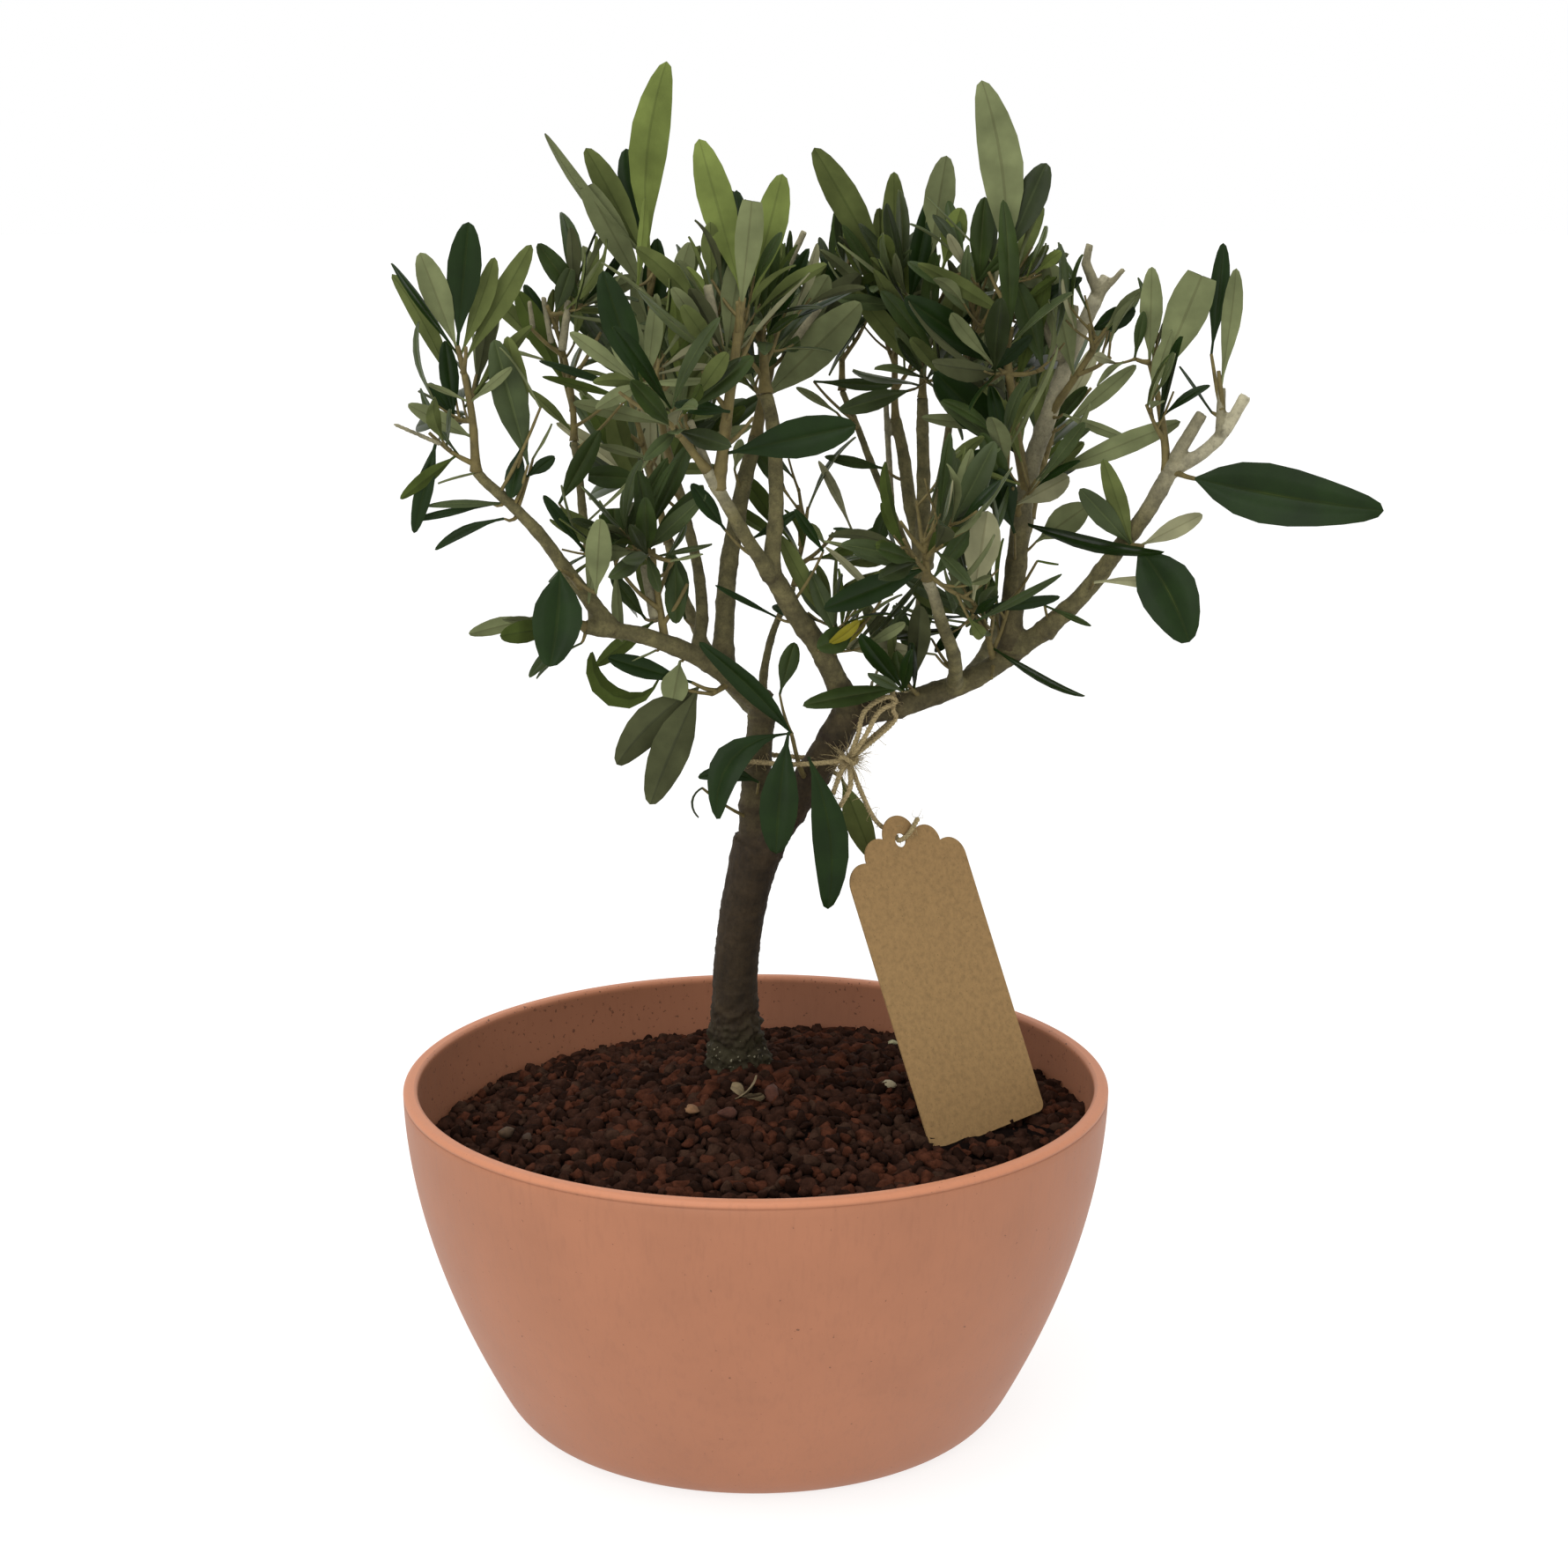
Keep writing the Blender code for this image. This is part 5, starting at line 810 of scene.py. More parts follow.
class Mass:
    """One mass of foliage: its plan, stem, twigs and leaves."""

    def __init__(self, name, limbs, shown, obstacles):
        self.name = name
        self.plan = plan = Plan(*MASSES[name])
        self.shown = shown
        self.obstacles = obstacles
        self.chance = random.Random(f"{SEED} {name}")
        start, _ = point_along(limbs[plan.host].line, plan.place)
        count = max(2, round(Vector(plan.reach).length / STEM_STEP))
        tip_radius = max(TWIG_RADII[-1], 0.55 * plan.radius)
        self.stem = Tube(bowed_line(start, plan.reach, plan.bow, count),
                         tapered(plan.radius, tip_radius, count))
        self.twigs, self.fine_twigs, self.leaves, self.missed = [], [], [], []

    def in_room(self, point):
        return min((point - spot).length for spot in self.stem.line) < self.plan.room

    def grow_extra_twigs(self):
        for place, reach in self.plan.extra_twigs:
            foot, _ = point_along(self.stem.line, place)
            self.add_twig(foot, Vector(reach), (self.name, self.plan.host))

    def twig_start(self, tube, place, turn):
        """Where a twig leaves a tube, and its direction."""
        foot, heading = point_along(tube.line, place)
        return foot, leaning(heading, turn, self.chance.uniform(*TWIG_TILT), TWIG_LIFT)

    def grow_twigs(self):
        """Twigs turned by the golden angle up the stem."""
        turn = self.chance.uniform(0, 2 * math.pi)
        for i in range(self.plan.twigs):
            turn += TWIG_TURN
            place = 0.12 + 0.8 * (i + 0.5) / self.plan.twigs
            foot, aim = self.twig_start(self.stem, place, turn)
            length = self.plan.twig_length * self.chance.uniform(0.7, 1.1) * (1.15 - 0.5 * place)
            for share in (1.0, 0.75, 0.5):
                if self.add_twig(foot, aim * (length * share), (self.name,)):
                    break

    def add_twig(self, foot, reach, own, fine=False):
        """Keeps a twig that touches nothing, save what it may count as its own at its foot."""
        line = bowed_line(foot, reach, UP * (-0.06 * reach.length), 2)
        twig = Tube(line, FINE_TWIG_RADII if fine else TWIG_RADII)
        beyond = twig.beyond_root()
        if not self.in_room(line[-1]) or self.obstacles.touched(twig.surface(), without=own):
            return False
        if self.obstacles.touched(beyond.surface(), owners=(self.name, self.plan.host)):
            return False
        (self.fine_twigs if fine else self.twigs).append(twig)
        self.obstacles.add(self.name, beyond.surface(GAP))
        return True

    def nearest_on_wood(self, point):
        """The place on this mass's wood nearest to a point."""
        best = None
        for tube in [self.stem, *self.twigs]:
            best = nearest_on_line(tube.line, point, best)
        return best

    def add_leaf(self, leaf, crossing=False):
        """Keeps a leaf that touches nothing, save its own mass at its root or if crossing."""
        if self.obstacles.touched(leaf.surface(), without=(self.name,)):
            return False
        if not crossing and self.obstacles.touched(leaf.surface(first=LEAF_ROOT), owners=(self.name,)):
            return False
        self.leaves.append(leaf)
        self.obstacles.add(self.name, leaf.surface(GAP, LEAF_ROOT))
        return True

    def grow_marked_leaves(self):
        for i, (foot, *rest) in enumerate(MARKED_LEAVES.get(self.name, ())):
            key = (self.name, i)
            wood = self.nearest_on_wood(Vector(foot))
            start = Vector(LEAF_FEET.get(key, wood))
            if key in LEAF_FEET:
                line = bowed_line(wood, start - wood, (0, 0, -0.5), 3)
                self.fine_twigs.append(Tube(line, PETIOLE_RADII))
            leaf = marked_leaf(start, *rest)
            leaf.sweep, leaf.peak = LEAF_HABITS.get(key, (0.0, None))
            if not self.add_leaf(leaf, crossing=True):
                self.missed.append(leaf)

    def grow_seen_leaf(self, foot, *rest):
        """A marked leaf, on a twig of its own where the wood is far from its foot."""
        foot = Vector(foot)
        wood = self.nearest_on_wood(foot)
        apart = (foot - wood).length
        if apart > SEEN_REACH:
            return False
        if apart > PETIOLE_REACH and not self.add_twig(wood, foot - wood, (self.name,)):
            return False
        return self.add_leaf(marked_leaf(self.nearest_on_wood(foot), *rest), crossing=True)

    def grow_leaves(self):
        """Opposite pairs up each twig and the outer stem, each pair square to the last."""
        most = len(self.leaves) + self.plan.leaves
        for tube in [*self.twigs, self.stem]:
            first = 0.5 if tube is self.stem else 0.35
            pairs = max(1, round(sum(spans(tube.line)) * (1 - first) / PAIR_STEP))
            turn = self.chance.uniform(0, math.pi)
            for pair in range(pairs + 1):
                place = first + (1 - first) * pair / pairs
                if len(self.leaves) < most:
                    self.grow_pair(tube, min(place, 0.97), turn)
                turn += math.pi / 2

    def grow_pair(self, tube, place, turn, lengths=None):
        """Two leaves on opposite sides of a tube, each where one of a few tries finds room."""
        spot, heading = point_along(tube.line, place)
        for half_turn in (0, math.pi):
            for attempt in range(LEAF_TRIES):
                around = turn + half_turn + self.chance.uniform(-0.3, 0.3) * (1 + attempt)
                tilt = self.chance.uniform(*LEAF_TILT) * (1 - 0.45 * place)
                aim = leaning(heading, around, tilt, LEAF_LIFT)
                face = (heading - aim * heading.dot(aim)).normalized()
                if lengths:
                    length = self.chance.uniform(*lengths) * 0.94**attempt
                else:
                    length = self.plan.leaf_length * self.chance.uniform(0.85, 1.15) * 0.95**attempt
                width = length * self.chance.uniform(*LEAF_SLENDERNESS)
                bend = self.chance.uniform(-0.25, 0.5)
                foot = spot - heading * self.chance.uniform(0.1, 0.5)
                leaf = Leaf(foot, aim, face, length, width, bend)
                if self.is_free(leaf) and self.add_leaf(leaf):
                    break

    def is_free(self, leaf):
        """Whether a leaf keeps to its mass's room and leaves sky and shown limbs open."""
        spots = [leaf.place(along, aside, 0) for along, aside in SKY_SPOTS]
        return self.in_room(spots[-1]) and not any(
            sky_behind(spot) or self.hides_limb(spot) for spot in spots)

    def hides_limb(self, spot):
        """Whether a spot lies in front of a limb that shows."""
        x, z = seen_from_front(spot)
        return any(abs(x - at_x) < margin and abs(z - at_z) < margin and spot.y < depth
                   for at_x, at_z, depth, margin in self.shown)

    def grow_finer(self):
        """Carries the rule on to finer twigs, with leaves of life size on them."""
        self.chance = random.Random(f"fine {SEED} {self.name}")
        share = FINE_SHARES.get(self.name, FINE_SHARE)
        most = len(self.leaves) + round(share * self.plan.leaves)
        turn = self.chance.uniform(0, 2 * math.pi)
        hosts = [*self.twigs, self.stem]
        for tube in hosts:
            for place in FINE_TWIG_PLACES:
                turn += TWIG_TURN
                foot, aim = self.twig_start(tube, place, turn)
                reach = aim * self.chance.uniform(*FINE_TWIG_LENGTH)
                if len(self.leaves) < most and not sky_behind(foot + reach):
                    self.add_twig(foot, reach, (self.name,), fine=True)
        bare = []
        for tube in [*self.fine_twigs, *hosts]:
            count = len(self.leaves)
            turn = self.chance.uniform(0, math.pi)
            for place in FINE_LEAF_PLACES:
                if len(self.leaves) < most:
                    self.grow_pair(tube, place, turn, FINE_LEAF_LENGTH)
                turn += math.pi / 2
            if len(self.leaves) == count:
                bare.append(tube)
        self.fine_twigs = [tube for tube in self.fine_twigs if tube not in bare]
        self.leaves += self.missed


def limb_tubes():
    """The trunk and every limb as tubes, each starting on its host's centre line."""
    count = 9
    radii = []
    for i in range(count + 1):
        t = i / count
        flare = TRUNK_FLARE * math.exp(-t * TRUNK_REACH.length / TRUNK_FLARE_HEIGHT)
        radii.append(TRUNK_RADIUS + flare + TRUNK_FORK_SWELL * t**6)
    limbs = {"trunk": Tube(bowed_line(TRUNK_FOOT, TRUNK_REACH, TRUNK_BOW, count), radii)}
    for name, (host, place, reach, bow, foot_radius, tip_radius) in LIMBS.items():
        start, _ = point_along(limbs[host].line, place)
        count = max(3, round(Vector(reach).length / LIMB_STEP))
        limbs[name] = Tube(bowed_line(start, reach, bow, count), tapered(foot_radius, tip_radius, count))
    return limbs


def shown_spots(limbs):
    """Points along the limbs that show, as seen from the front: x, z, depth and margin."""
    spots = []
    for name in SHOWN_LIMBS:
        for i in range(SHOWN_SPOTS):
            point, _ = point_along(limbs[name].line, 0.1 + 0.9 * i / (SHOWN_SPOTS - 1))
            spots.append((*seen_from_front(point), point.y, limbs[name].radii[-1] + SHOWN_MARGIN))
    return spots


@functools.lru_cache(maxsize=1)
def grown_tree():
    """The limbs, and the masses grown on them as the solids have them and then finer."""
    limbs = limb_tubes()
    obstacles = Obstacles()
    for name, tube in limbs.items():
        obstacles.add(name, tube.surface(GAP))
    for name in ("kraft_tag", "twine", "pot", "gravel"):
        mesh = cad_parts[name].data
        points = [vert.co / MM for vert in mesh.vertices]
        obstacles.add(name, (points, [tuple(face.vertices) for face in mesh.polygons]))
    shown = shown_spots(limbs)
    masses = [Mass(name, limbs, shown, obstacles) for name in MASSES]
    for mass in masses:
        obstacles.add(mass.name, mass.stem.beyond_root().surface(GAP))
    for grow in (Mass.grow_extra_twigs, Mass.grow_marked_leaves):
        for mass in masses:
            grow(mass)
    missed = [row for row in SEEN_LEAVES
              if not nearest_mass(masses, Vector(row[0])).grow_seen_leaf(*row)]
    for grow in (Mass.grow_twigs, Mass.grow_leaves, Mass.grow_finer):
        for mass in masses:
            grow(mass)
    for row in missed:
        dress_missed_leaf(row, limbs, masses)
    for *row, sweep in FINISH_LEAVES:
        dress_missed_leaf(row, limbs, masses).sweep = sweep
    for foot, heading, face, length, width, bend, roll, tint in CURLED_LEAVES:
        leaf = dress_missed_leaf((foot, Vector(foot) + Vector(heading), width, 0, tint), limbs, masses)
        leaf.heading = Vector(heading).normalized()
        leaf.face = (Vector(face) - leaf.heading * leaf.heading.dot(Vector(face))).normalized()
        leaf.length, leaf.bend, leaf.roll = length, bend, roll
    return limbs, masses


def nearest_mass(masses, foot):
    return min(masses, key=lambda mass: (mass.nearest_on_wood(foot) - foot).length)


def dress_missed_leaf(row, limbs, masses):
    """A leaf that the solids have no room for, on the wood or limb nearest to its foot."""
    foot = Vector(row[0])
    mass = nearest_mass(masses, foot)
    wood = mass.nearest_on_wood(foot)
    for tube in limbs.values():
        wood = nearest_on_line(tube.line, foot, wood)
    if (foot - wood).length > PETIOLE_REACH:
        lower = foot - Vector((0, 0, 0.8 * (foot - wood).length))
        for tube in (mass.stem, *limbs.values()):
            wood = nearest_on_line(tube.line, lower, wood)
        mass.fine_twigs.append(Tube(bowed_line(wood, foot - wood, (0, 0, -1), 3), BARE_TWIG_RADII))
        wood = foot
    leaf = marked_leaf(wood, *row[1:])
    mass.leaves.append(leaf)
    return leaf


# ---- meshes ----

class Heap:
    """Points in millimetres and faces of many small shapes, made into one mesh."""

    def __init__(self):
        self.points = []
        self.faces = []
        self.slots = []
        self.spots = []

    def add(self, points, faces, slots=0, spots=None):
        """Adds a shape; slots is one face slot or one for each face, spots a UV for each point."""
        base = len(self.points)
        self.points.extend(points)
        self.faces.extend(tuple(base + i for i in face) for face in faces)
        self.slots.extend([slots] * len(faces) if isinstance(slots, int) else slots)
        self.spots.extend(spots or [(0.0, 0.0)] * len(points))

    def made(self, name, materials):
        mesh = bpy.data.meshes.new(name)
        points = (np.array([tuple(point) for point in self.points]) * MM).tolist()
        mesh.from_pydata(points, [], self.faces)
        for material in materials:
            mesh.materials.append(material)
        mesh.polygons.foreach_set("material_index", self.slots)
        mesh.shade_smooth()
        layer = mesh.uv_layers.new(name="blade")
        corners = np.empty(len(mesh.loops), dtype=np.int32)
        mesh.loops.foreach_get("vertex_index", corners)
        layer.uv.foreach_set("vector", np.array(self.spots)[corners].ravel())
        obj = bpy.data.objects.new(name, mesh)
        bpy.context.scene.collection.objects.link(obj)
        return obj


def placed(obj, slot, *nodes):
    """Puts a piece on the body in place of some nodes; slot is not used."""
    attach(obj, "root")
    if nodes:
        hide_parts(*nodes)


def smoothed(line, radii, step):
    """A curve through the points with a point about each step, and the radii along it."""
    points, widths = [], []
    last = len(line) - 1
    for i in range(last):
        before, a, b, after = line[max(i - 1, 0)], line[i], line[i + 1], line[min(i + 2, last)]
        count = max(1, round((b - a).length / step))
        for k in range(count):
            t = k / count
            points.append(0.5 * (2 * a + (b - before) * t + (2 * before - 5 * a + 4 * b - after) * t**2
                                 + (3 * a - before - 3 * b + after) * t**3))
            widths.append(radii[i] + (radii[i + 1] - radii[i]) * t)
    return [*points, line[-1]], [*widths, radii[-1]]


def carried(line):
    """Each point of a line, with two unit vectors square to it that don't twist on the way."""
    side, _ = across((line[1] - line[0]).normalized())
    for i, point in enumerate(line):
        ahead = ahead_at(line, i)
        side = (side - ahead * side.dot(ahead)).normalized()
        yield point, side, ahead.cross(side)


def swept(line, radii, sides):
    """Points and faces of a closed tube along a line."""
    points = []
    for (point, side, other), radius in zip(carried(line), radii):
        points += ring(point, side, other, radius, sides)
    return points, tube_faces(len(line), sides)


def blade_outline(along, peak):
    """Half width of an olive blade as a share of its greatest: a long wedge, a rounder tip."""
    along = min(max(along, 0.0), 1.0)
    power = 1.2 - 0.72 * along
    return max(0.0, math.sin(math.pi * along ** (math.log(0.5) / math.log(peak)))) ** power


def blade(leaf, chance, stations, thickness):
    """One leaf as two sheets that share their rim: points, faces, slots, spots."""
    marked = bool(leaf.tint)
    fold = chance.uniform(0.1, 0.3) * (0.5 if marked else 1.0)
    peak = leaf.peak or chance.uniform(0.54, 0.64)
    twist = chance.uniform(-0.5, 0.5) * (0.35 if marked else 1.0)
    hook = chance.uniform(-0.1, 0.35)
    wave = chance.uniform(0.0, 0.05)
    wave_turn = chance.uniform(0, 2 * math.pi)
    end = leaf.clip or 1.0
    columns = (-1.0, -0.6, -0.07, 0.0, 0.07, 0.6, 1.0)
    last = len(columns) - 1
    flat = max(0.35, 0.5 * leaf.width) * (1.04 if marked else chance.uniform(0.7, 1.05))
    aside = leaf.heading.cross(Vector((0, -1, 0)))
    points, spots = [], []
    for i in range(stations):
        along = end * (0.5 - 0.5 * math.cos(math.pi * i / (stations - 1))) ** 0.92
        half = max(flat * blade_outline(along, peak), 0.42 if along < 0.5 else 0.05)
        turn = leaf.bend * along + hook * along**3
        spin = twist * (along - 0.15) + leaf.roll
        forward, normal = leaf.axes(turn)
        centre = leaf.rib(along, hook * along**4 / 4)
        centre += aside * (leaf.sweep * leaf.length * 4 * along * (1 - along))
        side = forward.cross(normal)
        side, normal = between(side, normal, spin), between(normal, side, -spin)
        ripple = wave * half * math.sin(9 * along + wave_turn)
        for sheet in (0.5, -0.5):
            for column in columns:
                rib = 0.09 * half if abs(column) < 0.02 else 0.0
                deep = thickness * sheet * (1 - abs(column) ** 3)
                if sheet < 0 and abs(column) < 0.02:
                    deep -= 0.22 * (1 - 0.6 * along)
                lift = half * (fold * abs(column) - 0.1 * column**2 * fold) - rib * (sheet > 0)
                lift += ripple * column * abs(column)
                points.append(centre + side * (column * half) + normal * (lift + deep))
                spots.append((along * leaf.length / 40, 0.5 + 0.5 * column * half / 6))
    row = 2 * len(columns)
    faces, slots = [], []
    for i in range(stations - 1):
        for k in range(last):
            rib = k in (2, 3)
            for sheet in (0, 1):
                a = i * row + sheet * len(columns) + k
                quad = (a, a + 1, a + row + 1, a + row)
                faces.append(quad[::-1] if sheet else quad)
                slots.append((3 if sheet else 2) if rib else sheet)
    return points, faces, slots, spots


# ---- materials ----

WHITE = (1.0, 1.0, 1.0)
Finish = namedtuple("Finish", "material tree shader where cloud tone")


def wire(node, values):
    """Gives sockets of a node a value or another node's socket."""
    for name, value in values.items():
        if isinstance(value, bpy.types.NodeSocket):
            node.id_data.links.new(value, node.inputs[name])
        else:
            node.inputs[name].default_value = value


def add(tree, kind, output, values=None, stops=(), **settings):
    """Adds a node with its settings, values, links and a ramp's stops, and gives one output."""
    node = tree.nodes.new(kind)
    for name, value in settings.items():
        setattr(node, name, value)
    wire(node, values or {})
    marks = node.color_ramp.elements if stops else []
    while len(marks) < len(stops):
        marks.new(0.5)
    for mark, (place, colour) in zip(marks, stops):
        mark.position = place
        mark.color = (*colour, 1)
    return node.outputs[output]


def shade(colour, share):
    return tuple(min(1.0, c * share) for c in colour[:3])


def shades(colour, *stops):
    """Stops of a ramp from (place, share of the colour)."""
    return [(place, shade(colour, share)) for place, share in stops]


def per_mm(size):
    """Noise scale for features of a size in millimetres, in object coordinates in metres."""
    return 1.0 / (size * MM)


def clouded(name, colour, surface, cloud, stops, relief=None, grain=None):
    """A finish whose colour drifts between shades, with a fine relief where one is given.

    surface is roughness and specular level. cloud and grain are noises, each the size of a
    feature in millimetres, detail and roughness. stops are (place, share of the colour) over
    the cloud. relief is strength and depth in millimetres, of the grain or else of the cloud.
    """
    material = bpy.data.materials.new(name)
    material.use_nodes = True
    tree = material.node_tree
    shader = tree.nodes["Principled BSDF"]
    where = add(tree, "ShaderNodeTexCoord", "Object")
    noises = [add(tree, "ShaderNodeTexNoise", "Fac", {"Vector": where, "Scale": per_mm(size),
                                                      "Detail": detail, "Roughness": roughness})
              for size, detail, roughness in filter(None, (cloud, grain))]
    tone = add(tree, "ShaderNodeValToRGB", "Color", {"Fac": noises[0]}, shades(colour, *stops))
    wire(shader, {"Roughness": surface[0], "Specular IOR Level": surface[1], "Base Color": tone})
    if relief:
        bump = {"Strength": relief[0], "Distance": relief[1] * MM, "Height": noises[-1]}
        wire(shader, {"Normal": add(tree, "ShaderNodeBump", "Normal", bump)})
    return Finish(material, tree, shader, where, noises[0], tone)


def spotted(tree, base, factor, colour, low, high, most=1.0):
    """A base with another colour over it, from nothing where a factor is low to most."""
    mask = add(tree, "ShaderNodeValToRGB", "Color", {"Fac": factor},
               shades(WHITE, (0.0, 0), (low, 0), (high, most)))
    return add(tree, "ShaderNodeMix", 2, {"Factor": mask, 6: base, 7: (*colour, 1)}, data_type="RGBA")


def leaf_materials(tint):
    """Waxy cuticle above and a matte scaly felt below, with the rib of each side.

    An olive leaf is leathery: its upper face has a soft broad gloss, and its underside
    scatters light evenly, as it is covered with fine silvery scales.
    """
    sides = (("cuticle", 0.42, 0.13), ("felt", 0.85, 0.06),
             ("rib_above", 0.55, 0.1), ("rib_below", 0.85, 0.06))
    return [clouded(f"olive_{tint}_{side}", linear(code), surface, (9.0, 3.0, 0.5),
                    ((0.3, 0.78), (0.52, 1), (0.75, 1.28)), (0.25, 0.12), (0.9, 4.0, 0.5)).material
            for (side, *surface), code in zip(sides, TINTS[tint])]


def plastic_material(name, colour, grain_size, clean=0.735):
    """Recycled polypropylene, injection moulded, matte: even tone, soft broad highlight.

    The rim's top is painted lighter as a highlight where the lip catches the overhead light, and specks of
    dirt cling more where clean is lower.
    """
    material, tree, shader, where, _, tone = clouded(
        name, colour, (0.52, 0.38), (34.0, 5.0, 0.6), ((0.3, 0.93), (0.5, 1), (0.7, 1.06)),
        (0.18, 0.15), (grain_size / MM, 3.0, 0.5))
    height = add(tree, "ShaderNodeSeparateXYZ", "Z", {"Vector": where})
    # Painted highlight: above 98.1 mm the rim is mixed up to 1.36 times the plastic's colour.
    rim = add(tree, "ShaderNodeMapRange", "Result",
              {"Value": height, "From Min": 98.1 * MM, "From Max": 98.9 * MM})
    rim_painted_highlight = add(tree, "ShaderNodeMix", 2, {"Factor": rim, 6: tone, 7: (*shade(colour, 1.36), 1)},
                 data_type="RGBA")
    upright = add(tree, "ShaderNodeMapping", "Vector", {"Vector": where, "Scale": (1, 1, 0.16)})
    streak = add(tree, "ShaderNodeTexNoise", "Fac", {"Vector": upright, "Scale": per_mm(1.6),
                                                     "Detail": 6.0, "Roughness": 0.65})
    streaks = add(tree, "ShaderNodeValToRGB", "Color", {"Fac": streak},
                  shades(WHITE, (0.35, 0.9), (0.5, 1), (0.68, 1)))
    # Real mould streaks multiplied over the colour that carries the painted rim highlight.
    worn = add(tree, "ShaderNodeMix", 2, {"Factor": 0.6, 6: rim_painted_highlight, 7: streaks},
               data_type="RGBA", blend_type="MULTIPLY")
    speck = add(tree, "ShaderNodeTexNoise", "Fac", {"Vector": where, "Scale": per_mm(1.3)})
    rough = add(tree, "ShaderNodeMapRange", "Result", {"Value": streak, "To Min": 0.45, "To Max": 0.62})
    wire(shader, {"Base Color": spotted(tree, worn, speck, shade(colour, 0.45), clean, clean + 0.03),
                  "Roughness": rough})
    return material


def lava_material(name, colour):
    """Crushed lava: dull, dark, full of pores that swallow light."""
    return clouded(name, colour, (1.0, 0.04), (3.2, 4.0, 0.7), ((0.3, 0.45), (0.5, 1), (0.72, 1.6)),
                   (0.9, 0.5), (0.7, 4.0, 0.75)).material


def kraft_material(colour):
    """Unbleached kraft card, pressed: matte, with darker fibres and specks."""
    material, tree, shader, where, _, tone = clouded(
        "pressed_kraft_card", colour, (0.88, 0.25), (1.6, 6.0, 0.7),
        ((0.32, 0.8), (0.5, 1), (0.68, 1.14)), (0.3, 0.1))
    speck = add(tree, "ShaderNodeTexNoise", "Fac",
                {"Vector": where, "Scale": per_mm(0.55), "Detail": 1.0})
    wire(shader, {"Base Color": spotted(tree, tone, speck, shade(colour, 0.5), 0.68, 0.75, 0.7)})
    return material


def jute_material(colour):
    """Spun jute: pale straw fibre, dull, with darker strands."""
    return clouded("spun_jute", colour, (0.9, 0.2), (0.5, 3.0, 0.5),
                   ((0.3, 0.55), (0.5, 1), (0.7, 1.25))).material


def bark_material(old, young, cut):
    """Olive bark: grey-brown and grained on the trunk, smoother on thin boughs, dry and pale
    at cut ends.

    The trunk's foot is dark and mossy, with pale crumbs of lime. Girth in millimetres and
    dryness are on the mesh.
    """
    material, tree, shader, where, patch, old_tone = clouded(
        "grown_olive_bark", old, (0.85, 0.3), (5.0, 6.0, 0.7), ((0.3, 0.55), (0.5, 1), (0.7, 1.5)))
    tone, dry_tone = [add(tree, "ShaderNodeValToRGB", "Color", {"Fac": patch},
                          shades(colour, (0.3, dark), (0.5, 1), (0.7, light)))
                      for colour, dark, light in ((young, 0.55, 1.7), (cut, 0.6, 1.25))]
    girth, dry = [add(tree, "ShaderNodeAttribute", "Fac", attribute_name=name)
                  for name in ("girth", "dry")]
    thick = add(tree, "ShaderNodeMapRange", "Result", {"Value": girth, "From Min": 2.4, "From Max": 5.2})
    for share, other in ((thick, old_tone), (dry, dry_tone)):
        tone = add(tree, "ShaderNodeMix", 2, {"Factor": share, 6: tone, 7: other}, data_type="RGBA")
    fine = add(tree, "ShaderNodeTexNoise", "Fac", {"Vector": where, "Scale": per_mm(0.8),
                                                   "Detail": 5.0, "Roughness": 0.7})
    flecks = add(tree, "ShaderNodeValToRGB", "Color", {"Fac": fine},
                 shades(WHITE, (0.3, 0.45), (0.5, 1), (0.7, 1)))
    tone = add(tree, "ShaderNodeMix", 2, {"Factor": 0.6, 6: tone, 7: flecks},
               data_type="RGBA", blend_type="MULTIPLY")
    height = add(tree, "ShaderNodeSeparateXYZ", "Z", {"Vector": where})
    low = add(tree, "ShaderNodeMapRange", "Result",
              {"Value": height, "From Min": 128 * MM, "From Max": 104 * MM})
    crumb = add(tree, "ShaderNodeTexNoise", "Fac", {"Vector": where, "Scale": per_mm(1.0), "Detail": 0.0})
    for spots, *mask in ((patch, linear("#2e2a17"), 0.3, 0.5, 0.85),
                         (crumb, linear("#88826c"), 0.73, 0.76, 0.8)):
        near_foot = add(tree, "ShaderNodeMath", "Value", {0: spots, 1: low}, operation="MULTIPLY")
        tone = spotted(tree, tone, near_foot, *mask)
    upright = add(tree, "ShaderNodeMapping", "Vector", {"Vector": where, "Scale": (1, 1, 0.35)})
    crack = add(tree, "ShaderNodeTexNoise", "Fac", {"Vector": upright, "Scale": per_mm(1.0),
                                                    "Detail": 6.0, "Roughness": 0.75})
    bump = add(tree, "ShaderNodeBump", "Normal",
               {"Strength": 0.7, "Distance": 0.4 * MM, "Height": crack})
    wire(shader, {"Base Color": tone, "Normal": bump})
    return material


def plain_finish(name, colour, roughness, vary, size):
    """A dull grown or worn surface whose tone varies a little over a size in millimetres."""
    return clouded(name, colour, (roughness, 0.3), (size, 5.0, 0.65),
                   ((0.3, 1 - vary), (0.5, 1), (0.7, 1 + vary)), (0.4, 0.3)).material


# ---- bowl and gravel ----

def pot_outer_radius(height):
    fall = max(0.0, POT_HEIGHT - height) / POT_HEIGHT
    return POT_RIM_RADIUS - POT_BELLY_SWELL * fall**POT_BELLY_POWER


def inner_radius(height):
    return pot_outer_radius(height) - POT_WALL


